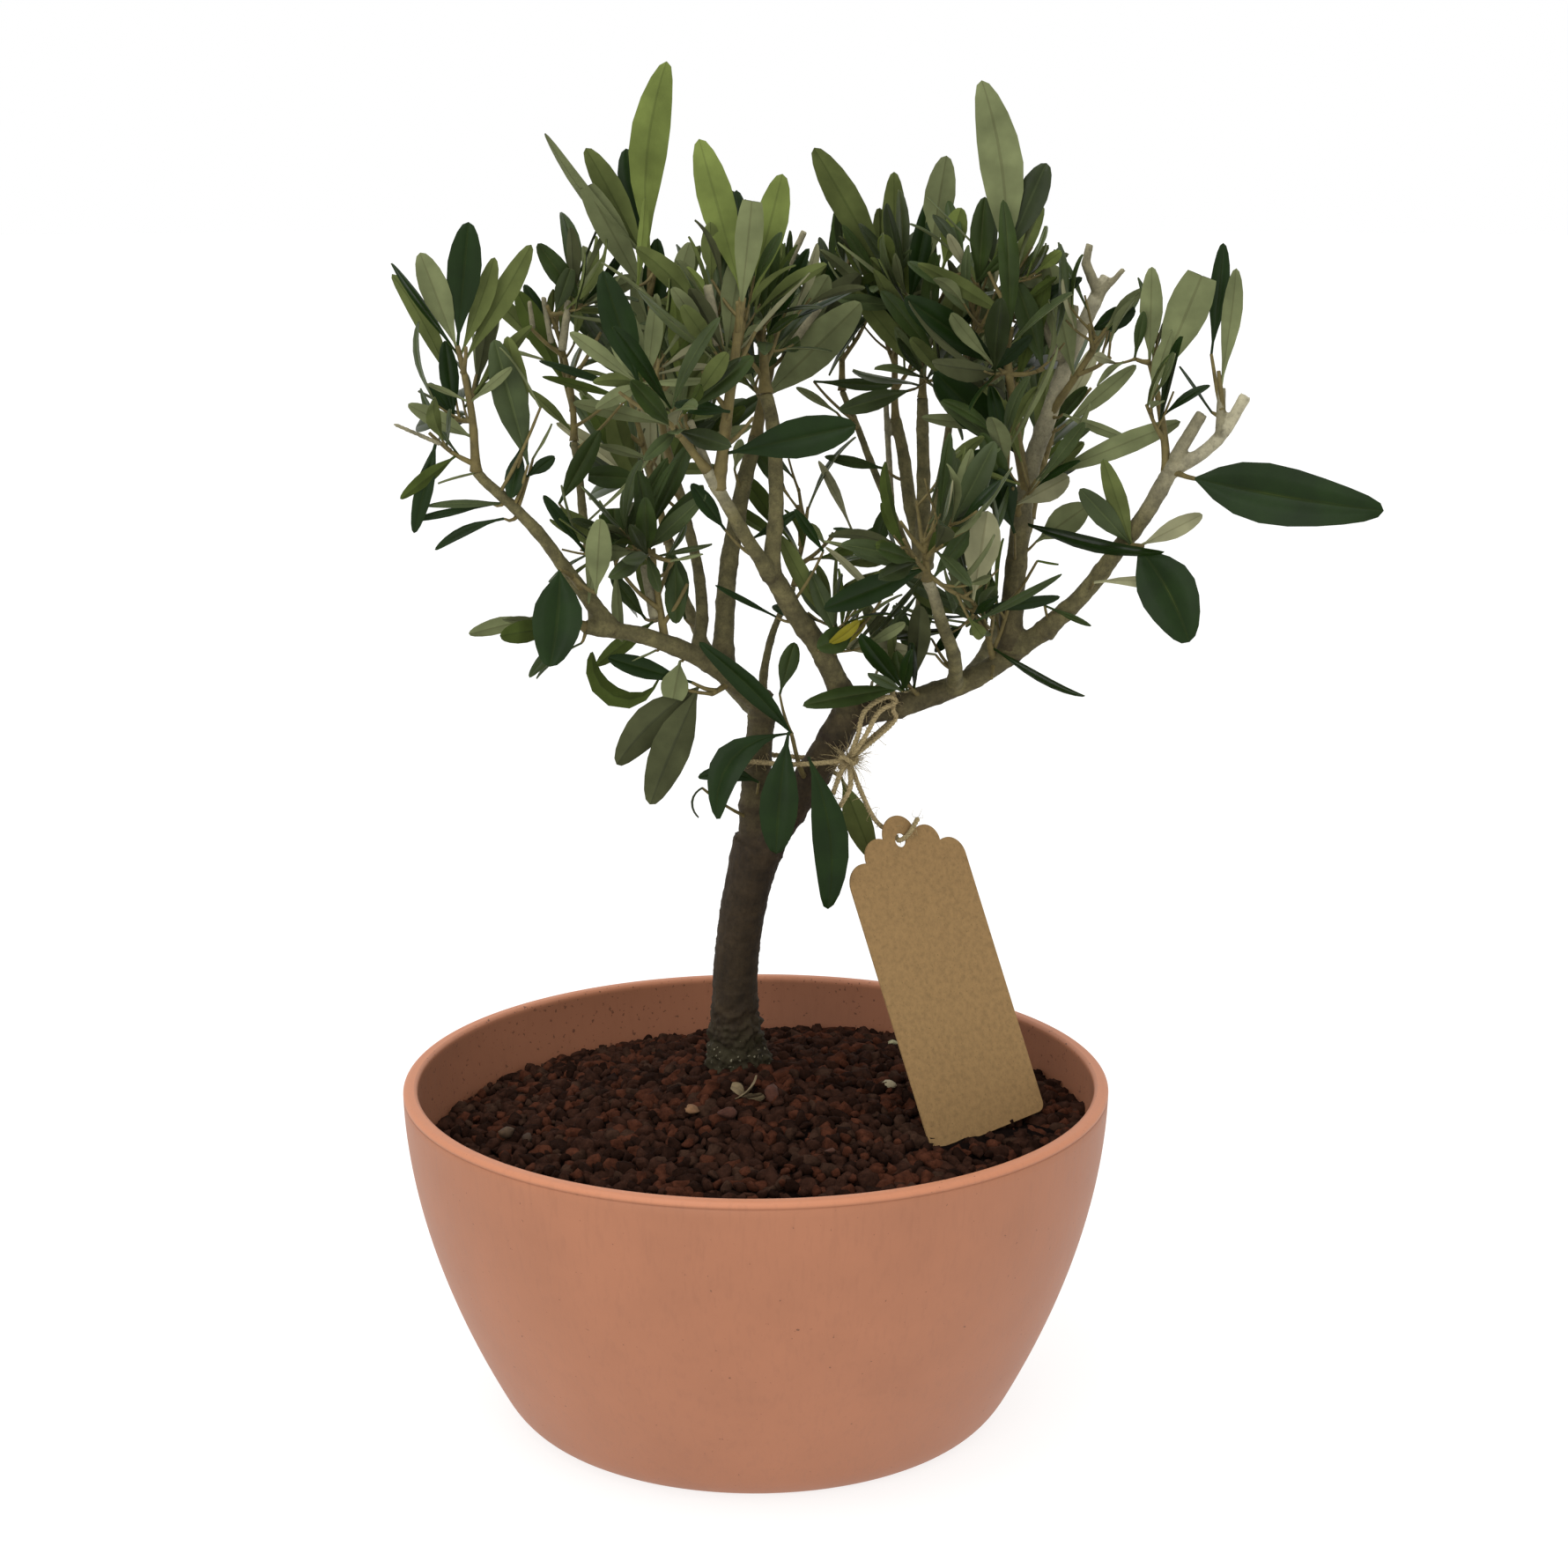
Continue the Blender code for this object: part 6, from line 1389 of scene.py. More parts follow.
def bowl_profile():
    """The wall as (radius, height), up the outside and down the inside, and where that begins."""
    low = pot_outer_radius(POT_CORNER_HEIGHT)
    foot = POT_FOOT_RADIUS
    bend = low - (pot_outer_radius(POT_CORNER_HEIGHT + 1) - low) * POT_CORNER_HEIGHT
    profile = [(POT_AXIS, 0.0), (foot - 6, 0.0), (foot, 0.0)]
    for i in range(1, 12):
        t = i / 12
        profile.append(((1 - t) ** 2 * (foot + 2) + 2 * t * (1 - t) * bend + t * t * low,
                        POT_CORNER_HEIGHT * t * t))
    top = POT_HEIGHT - POT_SEAM
    for i in range(41):
        height = POT_CORNER_HEIGHT + (top - 0.35 - POT_CORNER_HEIGHT) * i / 40
        profile.append((pot_outer_radius(height), height))
    profile += [(POT_RIM_RADIUS - inwards, top + upwards) for inwards, upwards in POT_SEAM_GROOVE]
    for angle in range(0, 91, 10):
        profile.append((POT_RIM_RADIUS - POT_LIP * (1 - math.cos(math.radians(angle))),
                        POT_HEIGHT - POT_LIP_DROP * (1 - math.sin(math.radians(angle)))))
    inside = len(profile)
    for angle in range(90, 181, 15):
        profile.append((POT_RIM_RADIUS - POT_WALL + POT_INNER_ROUND * (1 + math.cos(math.radians(angle))),
                        POT_HEIGHT - POT_INNER_ROUND * (1 - math.sin(math.radians(angle)))))
    for i in range(1, 31):
        height = POT_HEIGHT - POT_INNER_ROUND - (POT_HEIGHT - POT_INNER_ROUND - POT_INNER_FOOT) * i / 30
        profile.append((inner_radius(height), height))
    return profile + [(40.0, POT_INNER_FOOT - 1), (POT_AXIS, POT_INNER_FOOT - 2)], inside


class OLIVE_OT_bowl(bpy.types.Operator):
    """Turns the bowl with its rounded lip, the fine seam under it and the rounded foot"""
    bl_idname = "olive.bowl"
    bl_label = "Bowl"

    def execute(self, context):
        settings = context.scene.olive_bowl
        sides = settings.sides
        profile, inside = bowl_profile()
        points = []
        for radius, height in profile:
            for k in range(sides):
                angle = 2 * math.pi * k / sides
                points.append((radius * math.cos(angle), radius * math.sin(angle), height))
        heap = Heap()
        heap.add(points, ring_faces(len(profile), sides),
                 [int(i >= inside) for i in range(len(profile) - 1) for _ in range(sides)])
        plain = plastic_material("moulded_matte_polypropylene", settings.colour, settings.grain)
        # The inside wall is a darker copy of the plastic, 0.86 of its colour, as painted shade, with more
        # specks of real dirt.
        inside_shade_and_dust = plastic_material("soil_dusted_polypropylene", shade(settings.colour, 0.86),
                                  settings.grain, 0.66)
        placed(heap.made("moulded_bowl", [plain, inside_shade_and_dust]), "plastic", "pot")
        return {"FINISHED"}


def soil_height(x, y):
    """Height of the gravel's surface at a place: a leaning mound with lumps."""
    share = min(1.0, math.hypot(x, y) / inner_radius(SOIL_EDGE_HEIGHT))
    wave = 2 * math.pi / SOIL_LUMP_STEP
    lump = math.sin(wave * x + 1.3 * math.sin(y / 9)) * math.sin(wave * y + 1.1 * math.sin(x / 11))
    calm = min(1.0, math.hypot(x - TRUNK_FOOT.x, y - TRUNK_FOOT.y) / 26) ** 2 * (1 - share**8)
    mound = SOIL_EDGE_HEIGHT + SOIL_RISE * (1 - share**SOIL_POWER) + SOIL_LEAN * x
    return mound + SOIL_LUMP * lump * calm


def scattered(chance):
    """Three numbers round nought, for a direction with no side favoured."""
    return [chance.gauss(0, 1) for _ in range(3)]


def random_way(chance):
    way = np.array(scattered(chance))
    return way / np.linalg.norm(way)


def lump(chance, ball, size, cuts=9, rough=0.07):
    """A crushed stone: a ball with flats broken off, stretched, pitted by a few waves, turned."""
    shape = ball.copy()
    for _ in range(cuts):
        way = random_way(chance)
        over = np.maximum(0, shape @ way - chance.uniform(0.5, 0.8))
        shape -= over[:, None] * way
    shape *= np.array([chance.uniform(0.95, 1.4), chance.uniform(0.85, 1.1), chance.uniform(0.7, 1.0)])
    swell = np.ones(len(ball))
    for _ in range(4):
        swell += rough * np.sin(ball @ (random_way(chance) * chance.uniform(4, 9)) + chance.uniform(0, 6.3))
    spin = np.array(Matrix.Rotation(chance.uniform(0, 6.3), 3, Vector(random_way(chance))))
    return (shape * swell[:, None] * 0.62 * size) @ spin.T


def ball_shape(steps):
    form = bmesh.new()
    bmesh.ops.create_icosphere(form, subdivisions=steps, radius=1.0)
    points = np.array([vert.co[:] for vert in form.verts])
    faces = [tuple(vert.index for vert in face.verts) for face in form.faces]
    form.free()
    return points, faces


# Pebbles on the gravel: place, size, colour. Dry scraps of leaf: foot, tip, width, bend.
PEBBLES = (
    ((-18.4, -20.6), 3.6, "#735439"), ((39.3, -0.2), 3.6, "#8b8168"), ((-72.5, -12.5), 4.4, "#443425"),
    ((42.7, 61.1), 3.6, "#8a8667"), ((-66.0, -18.0), 3.0, "#38291d"),
    ((5.0, -15.0), 5.6, "#44261a"), ((-8.0, -26.0), 5.2, "#42251a"), ((21.0, -47.0), 3.0, "#44291d"),
)
SCRAPS = (
    ((-6.0, -15.0, 98.0), (3.0, -12.5, 100.4), 6.4, 1.1),
    ((-4.0, -14.0, 98.4), (1.0, -20.0, 98.4), 4.6, 0.9),
    ((-3.0, -12.0, 97.8), (-5.0, -14.0, 102.4), 4.4, 1.0),
    ((-1.0, -11.0, 98.0), (-6.5, -15.0, 99.0), 5.0, 1.5),
)


def granule_spots(chance, spacing, size):
    """Place, width and layer of each granule, the upper layer first."""
    unturned = Matrix.Rotation(-math.radians(TAG_TURN[0]), 2)
    rows = int(2 * POT_RIM_RADIUS / (spacing * ROW_SHARE)) + 1
    steps = range(-rows // 2, rows // 2 + 1)
    for layer, row, col in itertools.product((0, 1), steps, steps):
        x = (col + 0.5 * (row % 2) + 0.5 * layer) * spacing + chance.uniform(*GRANULE_STRAY)
        y = row * spacing * ROW_SHARE + 0.5 * layer * spacing + chance.uniform(*GRANULE_STRAY)
        wide = size * chance.choice(GRANULE_SHARES)
        height = soil_height(x, y)
        reach = math.hypot(x, y)
        edge = inner_radius(height) - 0.45 * wide - 0.4
        if reach > edge + 0.9 * spacing or reach > edge and layer:
            continue
        if reach > edge:
            x, y = x * edge / reach, y * edge / reach
        card = unturned @ Vector((x - TAG_FOOT.x, y - TAG_FOOT.y))
        before_card = layer == 0 and abs(card.x) < 0.5 * TAG_WIDTH and -CARD_CLEAR < card.y < 0.5
        if math.hypot(x - TRUNK_FOOT.x, y - TRUNK_FOOT.y) < TRUNK_CLEAR or before_card:
            continue
        z = height - 0.5 * wide + GRANULE_LIFTS[layer] + chance.uniform(-0.6, 0.5)
        yield (x, y, z), wide, layer


class OLIVE_OT_gravel(bpy.types.Operator):
    """Heaps lava granules into the mound, with a few pale pebbles and dry scraps of leaf"""
    bl_idname = "olive.gravel"
    bl_label = "Gravel"

    def execute(self, context):
        settings = context.scene.olive_gravel
        chance = random.Random("gravel")
        lava = [lava_material("crushed_lava_brown", settings.colour[:]),
                lava_material("crushed_lava_rust", linear("#44261a")),
                lava_material("crushed_lava_dark", linear("#21130d")),
                lava_material("crushed_lava_ash", linear("#37261d"))]
        ball, ball_faces = ball_shape(2)
        heaps = {"near": Heap(), "far": Heap(), "under": Heap()}
        for place, wide, layer in granule_spots(chance, settings.spacing / MM, settings.size / MM):
            points = lump(chance, ball, wide) + np.array(place)
            kind = chance.choices(range(4), (6, 3, 3, 1))[0]
            part = "under" if layer else "near" if place[1] < NEAR_PLANE else "far"
            heaps[part].add(points.tolist(), ball_faces, kind)
        for part, heap in heaps.items():
            placed(heap.made(f"lava_granules_{part}", lava), "gravel", "gravel")
        # The bed's near-black colour paints the shade in the gaps between granules.
        self.bed(lava_material("crushed_lava_dust", linear("#0f0806")))
        self.scraps(chance, ball, ball_faces)
        return {"FINISHED"}

    def bed(self, material):
        """The bed between the granules, near black: painted shade in the gaps."""
        points = []
        for i in range(1, BED_RINGS + 1):
            for k in range(BED_SIDES):
                angle = 2 * math.pi * k / BED_SIDES
                x = BED_REACH * i / BED_RINGS * math.cos(angle)
                y = BED_REACH * i / BED_RINGS * math.sin(angle)
                height = soil_height(x, y) - BED_DEPTH
                reach = min(math.hypot(x, y), inner_radius(height) - 0.4)
                points.append((reach * math.cos(angle), reach * math.sin(angle), height))
        heap = Heap()
        heap.add(points, ring_faces(BED_RINGS, BED_SIDES) + [tuple(range(BED_SIDES))[::-1]])
        placed(heap.made("gravel_bed", [material]), "gravel", "gravel")

    def scraps(self, chance, ball, faces):
        materials, heap = [], Heap()
        for i, ((x, y), size, code) in enumerate(PEBBLES):
            materials.append(plain_finish(f"broken_pebble_{i}", linear(code), 0.9, 0.3, 1.5))
            points = lump(chance, ball, size, 6, 0.05) * (1, 1, 0.7)
            points += np.array((x, y, soil_height(x, y) + 0.7))
            heap.add(points.tolist(), faces, i)
        placed(heap.made("pebbles", materials), "gravel")
        heap = Heap()
        for foot, tip, width, bend in SCRAPS:
            leaf = marked_leaf(Vector(foot), tip, width, chance.uniform(40, 100), "pale", 0.9)
            leaf.bend = bend
            points, faces, _, spots = blade(leaf, chance, 12, 0.3)
            heap.add(points, faces, 0, spots)
        dry = plain_finish("dried_olive_leaf", linear("#726349"), 0.9, 0.3, 1.2)
        placed(heap.made("dry_leaf_scraps", [dry]), "gravel")


# ---- tag and twine ----

def arc(centre_x, centre_y, radius, start, end, steps):
    angles = [math.radians(start + (end - start) * i / steps) for i in range(steps + 1)]
    return [(centre_x + radius * math.cos(a), centre_y + radius * math.sin(a)) for a in angles]


def lobe_crossing(first, second):
    """The upper point where two neighbouring lobes' circles meet, inner lobe second."""
    x0, y0, r0 = first
    x1, y1, r1 = second
    apart = math.hypot(x1 - x0, y1 - y0)
    along = (r0**2 - r1**2 + apart**2) / (2 * apart)
    off = math.sqrt(r0**2 - along**2)
    ux, uy = (x1 - x0) / apart, (y1 - y0) / apart
    options = [(x0 + ux * along - uy * off * sign, y0 + uy * along + ux * off * sign)
               for sign in (1, -1)]
    return max(options, key=lambda spot: spot[0] + spot[1])


def tag_right_side(steps):
    """The outline's right half from the lower corner up to the top of the middle lobe."""
    points = arc(0.5 * TAG_WIDTH - TAG_CORNER, TAG_CORNER, TAG_CORNER, -90, 0, steps)
    start = 0.0
    for lobe, inner in zip(TAG_LOBES, (*TAG_LOBES[1:], None)):
        x, y, radius = lobe
        if inner:
            meet = lobe_crossing(lobe, inner)
            end = math.degrees(math.atan2(meet[1] - y, meet[0] - x))
        else:
            end = 90.0
        points += arc(x, y, radius, start, end, steps)
        if inner:
            start = math.degrees(math.atan2(meet[1] - inner[1], meet[0] - inner[0])) + 4
    return points


def tag_placement():
    turn, lean, roll = (math.radians(angle) for angle in TAG_TURN)
    spin = (Matrix.Rotation(turn, 4, "Z") @ Matrix.Rotation(lean, 4, "X")
            @ Matrix.Rotation(roll, 4, "Y"))
    return Matrix.Translation(TAG_FOOT * MM) @ spin


def tag_point(across_tag, up_tag, in_front):
    """A point given on the tag's face, in millimetres of the part's frame."""
    return (tag_placement() @ (Vector((across_tag, -in_front, up_tag)) * MM)) / MM


class OLIVE_OT_tag(bpy.types.Operator):
    """Cuts the scalloped kraft tag with its round hole, slightly bowed and soft at its edge"""
    bl_idname = "olive.tag"
    bl_label = "Tag"

    def execute(self, context):
        settings = context.scene.olive_tag
        right = tag_right_side(12)
        outline = right + [(-x, y) for x, y in reversed(right[:-1])]
        hole_x, hole_y, hole_radius = TAG_HOLE
        curve = bpy.data.curves.new("tag", "CURVE")
        curve.dimensions = "2D"
        curve.fill_mode = "BOTH"
        curve.extrude = 0.5 * TAG_THICKNESS * MM - TAG_SOFT_EDGE * MM
        curve.bevel_depth = TAG_SOFT_EDGE * MM
        curve.bevel_resolution = 1
        for loop in (outline, arc(hole_x, hole_y, hole_radius, 0, 350, 35)):
            spline = curve.splines.new("POLY")
            spline.points.add(len(loop) - 1)
            spline.use_cyclic_u = True
            for spot, (x, y) in zip(spline.points, loop):
                spot.co = (x * MM, y * MM, 0, 1)
        guide = bpy.data.objects.new("tag", curve)
        context.scene.collection.objects.link(guide)
        context.view_layer.update()
        mesh = bpy.data.meshes.new_from_object(guide.evaluated_get(context.evaluated_depsgraph_get()))
        bpy.data.objects.remove(guide, do_unlink=True)
        form = bmesh.new()
        form.from_mesh(mesh)
        bmesh.ops.remove_doubles(form, verts=form.verts, dist=0.01 * MM)
        for i in range(1, TAG_CUTS):
            for spot, way in (((0, i * TAG_CELL * MM, 0), (0, 1, 0)),
                              ((TAG_CUT_START * MM + i * TAG_CELL * MM, 0, 0), (1, 0, 0))):
                whole = form.verts[:] + form.edges[:] + form.faces[:]
                bmesh.ops.bisect_plane(form, geom=whole, plane_co=spot, plane_no=way, dist=1e-7)
        for vert in form.verts:
            share = vert.co.x / (0.5 * TAG_WIDTH * MM)
            vert.co.z += settings.curl * (1 - share**2) * 0.5
        form.to_mesh(mesh)
        form.free()
        mesh.transform(tag_placement() @ Matrix.Rotation(math.radians(90), 4, "X"))
        mesh.materials.clear()
        mesh.materials.append(kraft_material(settings.colour))
        mesh.shade_flat()
        tag = bpy.data.objects.new("kraft_card_tag", mesh)
        context.scene.collection.objects.link(tag)
        placed(tag, "kraft", "kraft_tag")
        return {"FINISHED"}


def looped(centre, half_x, half_y, angles):
    """Points of a level oval round a centre, at angles in degrees."""
    return [centre + Vector((half_x * math.cos(math.radians(a)), half_y * math.sin(math.radians(a)), 0))
            for a in angles]


def twine_lines(limbs):
    """Centre lines of the twine: bow and tail, a loop round both stems and one round the
    bough, the tie to the tag, the windings of the knot and a short end."""
    left, _ = point_along(limbs["left_stem"].line, 0.62)
    right, _ = point_along(limbs["right_stem"].line, 0.62)
    bough, _ = point_along(limbs["right_bough"].line, 0.2)
    left_radius, right_radius, bough_radius = 4.2 + TWINE_OFF, 5.1 + TWINE_OFF, 3.9 + TWINE_OFF
    loop = [bough + Vector((0, -bough_radius * math.cos(math.radians(a)),
                            bough_radius * math.sin(math.radians(a))))
            for a in (-60, 0, 60, 120, 180, 240)]
    hole_x, hole_y, _ = TAG_HOLE
    tie = [tag_point(hole_x + aside, hole_y + up, in_front) for aside, up, in_front in (
        (-5, 9, -2.4), (0, 2, -1.6), (0, 0, 0.0), (3, 1.2, 1.6), (7.5, 4.5, 1.8))]
    knot = KNOT_PLACE
    bow = [Vector(spot) for spot in ((29, -9, 204), (31, -8, 211), (37, -5, 214.5), (40, -4, 213),
                                     (35, -7, 210.5), (31, -10, 204))]
    return [
        [knot, *bow, knot],
        [knot, Vector((27, -11, 190)), Vector((24, -11, 184))],
        [knot, Vector((12, -9.5, 196)), *looped(left, left_radius, left_radius, (270, 225, 180, 135, 90)),
         *looped(right, 1.2 * right_radius, right_radius, (90, 45, 0, -40)), knot],
        [knot, *loop, knot + Vector((0, 0, 1))],
        [knot, *tie],
        [knot + Vector((2.2 * math.cos(a), 1.9 * math.sin(a) - 0.2, 0.9 * math.sin(2 * a) + 0.5))
         for a in np.linspace(0, 4.2 * math.pi, 26)],
        [knot, knot + Vector((-2.5, -1.2, -4)), knot + Vector((-4.4, -1, -9.5))],
    ]


class OLIVE_OT_twine(bpy.types.Operator):
    """Lays three-ply jute twine along its path, with its knot and loose fibres"""
    bl_idname = "olive.twine"
    bl_label = "Twine"

    def execute(self, context):
        settings = context.scene.olive_twine
        radius = settings.radius / MM
        chance = random.Random("twine")
        heap = Heap()
        lines = twine_lines(grown_tree()[0])
        for rough_line in lines:
            line, _ = smoothed(rough_line, [1] * len(rough_line), 0.5)
            plies = [[], [], []]
            travelled = 0.0
            for i, (point, side, other) in enumerate(carried(line)):
                travelled += (point - line[max(i - 1, 0)]).length
                for k, ply in enumerate(plies):
                    turn = 2 * math.pi * travelled / PLY_TURN + 2 * math.pi * k / 3
                    ply.append(point + between(side, other, turn) * (0.48 * radius))
            for ply in plies:
                widths = [0.6 * radius * chance.uniform(0.85, 1.1) for _ in ply]
                heap.add(*swept(ply, widths, 7))
        everywhere = [point for line in lines for point in smoothed(line, [1] * len(line), 1.0)[0]]
        for i in range(settings.fibres):
            near_knot = i % 3 == 0
            start = KNOT_PLACE if near_knot else chance.choice(everywhere)
            way = Vector(scattered(chance)).normalized()
            bow = Vector(scattered(chance)) * 0.8
            length = chance.uniform(2.0, 9.0) if near_knot else chance.uniform(1.0, 3.6)
            line = bowed_line(start + way * 0.4, way * length, bow, 5)
            heap.add(*swept(line, FIBRE_RADII, 3))
        placed(heap.made("jute_twine", [jute_material(settings.colour)]), "jute", "twine")
        return {"FINISHED"}


# ---- bark, twigs and leaves ----

def crooked(line, radii, name, step=1.5, sway=0.5):
    """A limb's centre line with a natural wander, and radii with node swellings and a collar."""
    noise.seed_set(SEED)  # The vector noise takes its seed from the clock unless it is given one.
    chance = random.Random(f"crooked {name}")
    points, widths = smoothed(line, radii, step)
    shift = Vector([chance.uniform(0, 99) for _ in range(3)])
    node_step = chance.uniform(11, 15)
    phase = chance.uniform(0, 1)
    done = 0.0
    total = sum(spans(points))
    lines, sizes = [], []
    for i, point in enumerate(points):
        done += (point - points[max(i - 1, 0)]).length
        ease = min(1.0, done / 8, (total - done) / 6 + 0.15)
        wander = noise.noise_vector(point * 0.055 + shift) * (sway * 1.8) * ease
        node = math.cos(2 * math.pi * (done / node_step + phase))
        swell = 1 + 0.11 * max(0.0, node) ** 6
        collar = 1 + 0.4 * math.exp(-done / (1.6 * widths[0]))
        lines.append(point + wander)
        sizes.append(widths[i] * swell * collar)
    return lines, sizes


# Where along a limb its bark turns dry and pale, as a share of its length.
DRY_LIMBS = {"tall_bough": 0.3, "right_tip_fork": -0.2, "right_outer_bough": 0.66, "front_bough": 0.7,
             "cross_front_bough": 0.6}

# Cut stubs and bare ends: foot, tip and radius at the foot.
STUBS = (
    ((-28, -9, 238), (-31, -3, 252), 1.4), ((-9, -40, 317), (-12, -40, 333), 1.3),
    ((-54, 8, 311), (-52, 8, 325), 1.1), ((-57, 8, 313), (-59, 8, 326), 0.8),
    ((-62, 8, 317), (-63, 8, 325), 0.7), ((86, 17, 308), (80, 14, 323), 1.5),
    ((88, 18, 311), (90, 16, 323), 1.6), ((97, 19, 326), (93, 17, 335), 1.4),
    ((93, 17, 334), (94, 16, 340), 1.1), ((98, 19, 326), (104, 18, 333), 0.8),
    ((6, 30, 326), (14, 26, 343), 1.0), ((11, 24, 312), (21, 20, 326), 1.1),
    ((116, -12, 283), (123, -14, 296), 1.7), ((128, -15, 291), (128, -15, 303), 1.2),
    ((30, 2, 209), (38, 0, 229), 0.5), ((-10, -38, 279), (-17, -38, 297), 1.1),
    ((40, 46, 262), (38, 50, 296), 0.9),
    ((-84, -34, 290), (-96, -38, 296), 0.6),
)


class OLIVE_OT_bark(bpy.types.Operator):
    """Grows trunk and boughs into one skin with collars, nodes, cut stubs and bark relief"""
    bl_idname = "olive.bark"
    bl_label = "Bark"

    def execute(self, context):
        settings = context.scene.olive_bark
        limbs, _ = grown_tree()
        heap = Heap()
        marks = []
        for name, tube in limbs.items():
            if name == "trunk":
                line = [tube.line[0] - Vector((0, 0, 4)), *tube.line]
                line, radii = smoothed(line, [tube.radii[0] + 0.6, *tube.radii], 2.0)
            else:
                line, radii = crooked(tube.line, tube.radii, name)
            sides = 20 if name == "trunk" else 12
            heap.add(*swept(line, radii, sides))
            first = DRY_LIMBS.get(name, 1.0)
            for i, (point, radius) in enumerate(zip(line, radii)):
                marks.append((point, radius, min(1.0, max(0.0, (i / len(line) - first) * 2))))
        for foot, tip, radius in STUBS:
            line, radii = smoothed([Vector(foot), Vector(tip)], [radius * 1.2, radius], 1.5)
            heap.add(*swept(line, radii, 10))
            marks += [(point, width, 0.5) for point, width in zip(line, radii)]
        obj = heap.made("olive_bark", [bark_material(settings.old, settings.young, settings.cut)])
        skin = obj.modifiers.new("one skin", "REMESH")
        skin.mode = "VOXEL"
        skin.voxel_size = settings.voxel
        context.view_layer.update()
        mesh = bpy.data.meshes.new_from_object(obj.evaluated_get(context.evaluated_depsgraph_get()))
        obj.modifiers.clear()
        obj.data = mesh
        self.relieve(mesh, marks)
        mesh.shade_smooth()
        placed(obj, "bark", "trunk", *LIMBS)
        return {"FINISHED"}

    def relieve(self, mesh, marks):
        """Moves the skin in and out: knobs at the foot, wrinkles and fine cracks above."""
        tree = KDTree(len(marks))
        for i, (point, _, _) in enumerate(marks):
            tree.insert(point, i)
        tree.balance()
        normals = np.empty(len(mesh.vertices) * 3)
        mesh.vertex_normals.foreach_get("vector", normals)
        normals = normals.reshape(-1, 3)
        girths, dryness = [], []
        for vert, normal in zip(mesh.vertices, normals):
            point = vert.co / MM
            _, nearest, _ = tree.find(point)
            _, girth, dry = marks[nearest]
            girths.append(girth)
            dryness.append(dry)
            rough = min(1.0, girth / 6)
            long_point = Vector((point.x, point.y, point.z * 0.4))
            out = 0.22 * rough * noise.noise(long_point * 0.8)
            out += 0.12 * rough * noise.noise(point * 2.1)
            out += 0.2 * rough * noise.noise(Vector((point.x * 0.15, point.y * 0.15, point.z * 0.7)))
            if point.z < 122 and girth > 4:
                low = min(1.0, (122 - point.z) / 14)
                out += low * (1.5 * noise.noise(point * 0.3) + 1.3 * noise.noise(point * 0.75))
                out += low * 0.6 * noise.noise(point * 1.7)
            vert.co += Vector(normal) * (out * MM)
        for name, values in (("girth", girths), ("dry", dryness)):
            layer = mesh.attributes.new(name, "FLOAT", "POINT")
            layer.data.foreach_set("value", values)
        mesh.update()


class OLIVE_OT_twigs(bpy.types.Operator):
    """Grows the twigs of every mass, with node swellings and petioles"""
    bl_idname = "olive.twigs"
    bl_label = "Twigs"

    def execute(self, context):
        _, masses = grown_tree()
        heap = Heap()
        for mass in masses:
            tubes = [(mass.stem, 8, 0.3), *((twig, 7, 0.2) for twig in mass.twigs),
                     *((twig, 6, 0.15) for twig in mass.fine_twigs)]
            for i, (tube, sides, sway) in enumerate(tubes):
                heap.add(*swept(*crooked(tube.line, tube.radii, f"{mass.name} {i}", 1.4, sway), sides))
        twig = plain_finish("grown_olive_twig_bark", context.scene.olive_bark.twig, 0.75, 0.35, 3.5)
        placed(heap.made("olive_twigs", [twig]), "bark", *MASSES)
        return {"FINISHED"}


class OLIVE_OT_leaves(bpy.types.Operator):
    """Shapes every leaf with fold, twist, rib and tip, dealt out in tints by spray"""
    bl_idname = "olive.leaves"
    bl_label = "Leaves"

    def execute(self, context):
        settings = context.scene.olive_foliage
        _, masses = grown_tree()
        heaps = {tint: Heap() for tint in TINTS}
        chance = random.Random("leaves")
        for mass in masses:
            for leaf in mass.leaves:
                tip = leaf.place(1, 0, 0)
                # Tints go by height: young more often at the top, where new growth is, and deep more often
                # low down, which is partly painted shade under the crown.
                high = (tip.z - 240) / 140
                odds = (max(0.6, 3.0 - 3.2 * high), 1.5, 4, 4, 0.7, max(0.0, 2.0 * high - 1.1), 0)
                tint = leaf.tint or chance.choices(list(TINTS), odds)[0]
                shape = blade(leaf, chance, settings.stations, settings.thickness / MM)
                heaps[tint].add(*shape)
        for tint, heap in heaps.items():
            placed(heap.made(f"olive_leaves_{tint}", leaf_materials(tint)), "foliage", *MASSES)
        return {"FINISHED"}


# ---- stage ----

# Size in millimetres of the faint clouds in the floor's tone.
FLOOR_CLOUD = 1000 / 3


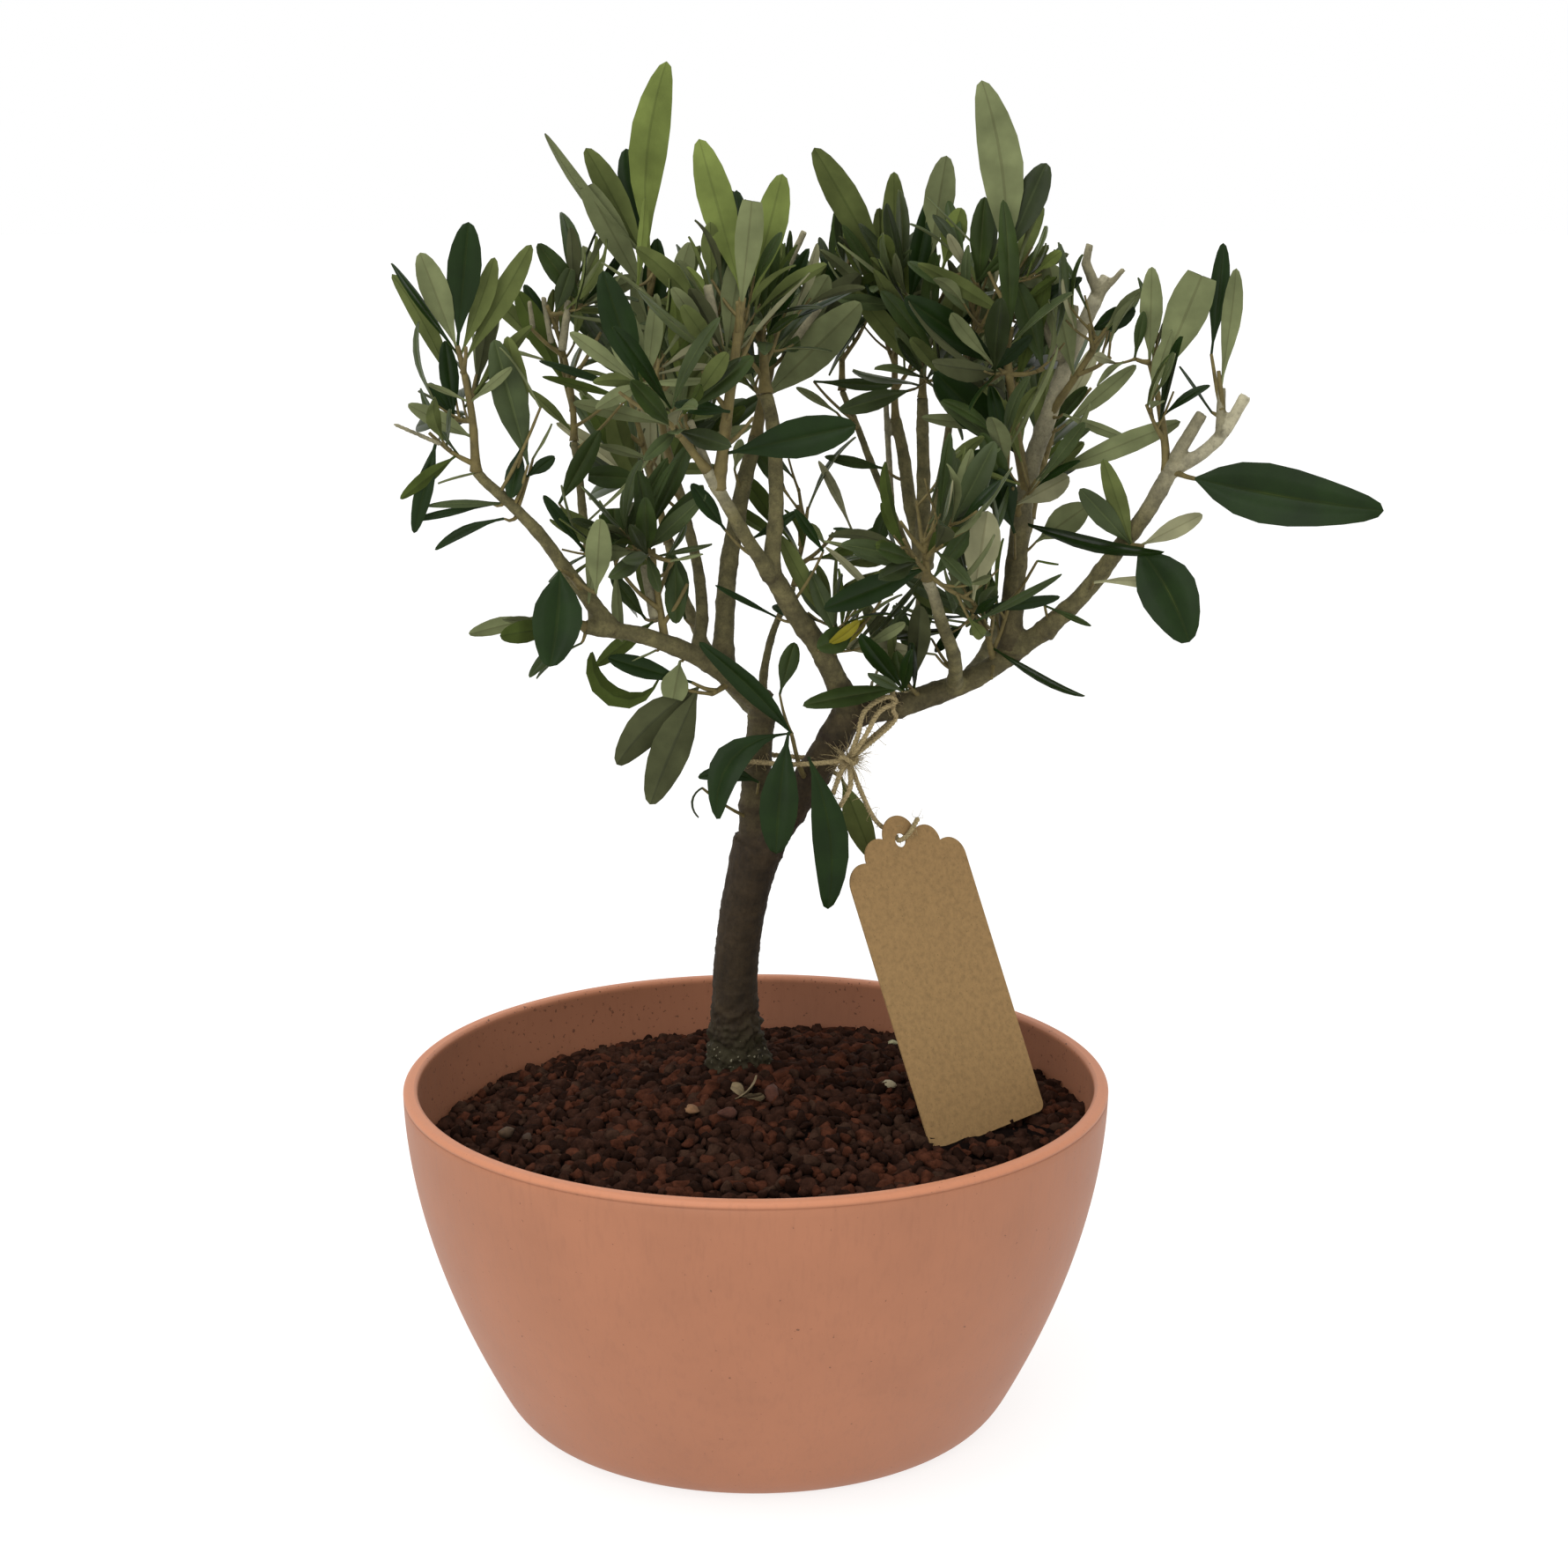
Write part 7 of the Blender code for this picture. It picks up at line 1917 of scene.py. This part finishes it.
class OLIVE_OT_stage(bpy.types.Operator):
    """Sets the camera, a pale floor and soft studio light"""
    bl_idname = "olive.stage"
    bl_label = "Stage"

    def execute(self, context):
        settings = context.scene.olive_stage
        scene = context.scene
        camera = bpy.data.cameras.new("camera")
        camera.lens = settings.lens
        camera.sensor_width = 36.0
        camera.clip_end = 20.0
        eye = bpy.data.objects.new("camera", camera)
        eye.location = FRONT_EYE * MM
        eye.rotation_euler = (math.radians(90) - settings.pitch, 0, 0)
        scene.collection.objects.link(eye)
        scene.camera = eye
        self.floor(scene, settings)
        self.light("overhead softbox", scene, (-0.3, -0.3, 1.5), (0.02, 0, 0.2), 1.0, 8.0)
        self.light("front softbox", scene, (-0.6, -1.7, 0.9), (0, 0, 0.2), 1.0, 8.0)
        world = bpy.data.worlds.new("studio")
        world.use_nodes = True
        world.node_tree.nodes["Background"].inputs["Color"].default_value = (1, 1, 1, 1)
        world.node_tree.nodes["Background"].inputs["Strength"].default_value = 1.0
        scene.world = world
        scene.view_settings.view_transform = "Standard"
        return {"FINISHED"}

    def floor(self, scene, settings):
        mesh = bpy.data.meshes.new("studio_floor")
        form = bmesh.new()
        bmesh.ops.create_circle(form, cap_ends=True, segments=64, radius=6.0)
        form.to_mesh(mesh)
        form.free()
        floor = bpy.data.objects.new("studio_floor", mesh)
        scene.collection.objects.link(floor)
        finish = clouded("cast_opal_acrylic_light_table", settings.floor, (0.9, 0.1),
                         (FLOOR_CLOUD, 2.0, 0.5), ((0.3, 0.995), (0.7, 1)))
        wire(finish.shader, {"Emission Strength": 0.78, "Emission Color": (*WHITE, 1)})
        mesh.materials.append(finish.material)

    def light(self, name, scene, place, aim, size, power):
        lamp = bpy.data.lights.new(name, "AREA")
        lamp.shape = "DISK"
        lamp.size = size
        lamp.energy = power
        obj = bpy.data.objects.new(name, lamp)
        obj.location = place
        obj.rotation_euler = (Vector(aim) - Vector(place)).to_track_quat("-Z", "Y").to_euler()
        scene.collection.objects.link(obj)


OPERATORS = (OLIVE_OT_stage, OLIVE_OT_bowl, OLIVE_OT_gravel, OLIVE_OT_tag, OLIVE_OT_twine,
             OLIVE_OT_bark, OLIVE_OT_twigs, OLIVE_OT_leaves)


class OLIVE_PT_panel(bpy.types.Panel):
    """Lists the pieces of the bonsai and their settings"""
    bl_idname = "OLIVE_PT_panel"
    bl_label = "Olive bonsai"
    bl_space_type = "VIEW_3D"
    bl_region_type = "UI"
    bl_category = "Olive"

    def draw(self, context):
        for operator in OPERATORS:
            self.layout.operator(operator.bl_idname)
        for name, group in SETTINGS.items():
            box = self.layout.box()
            box.label(text=group.__name__)
            for prop in group.__annotations__:
                box.prop(getattr(context.scene, name), prop)


def register():
    for name, group in SETTINGS.items():
        bpy.utils.register_class(group)
        setattr(bpy.types.Scene, name, PointerProperty(type=group))
    for made in (*OPERATORS, OLIVE_PT_panel):
        bpy.utils.register_class(made)


def unregister():
    for made in (OLIVE_PT_panel, *reversed(OPERATORS)):
        bpy.utils.unregister_class(made)
    for name, group in SETTINGS.items():
        delattr(bpy.types.Scene, name)
        bpy.utils.unregister_class(group)


def main():
    register()
    for operator in OPERATORS:
        group, action = operator.bl_idname.split(".")
        getattr(getattr(bpy.ops, group), action)()


if __name__ == "__main__":
    main()
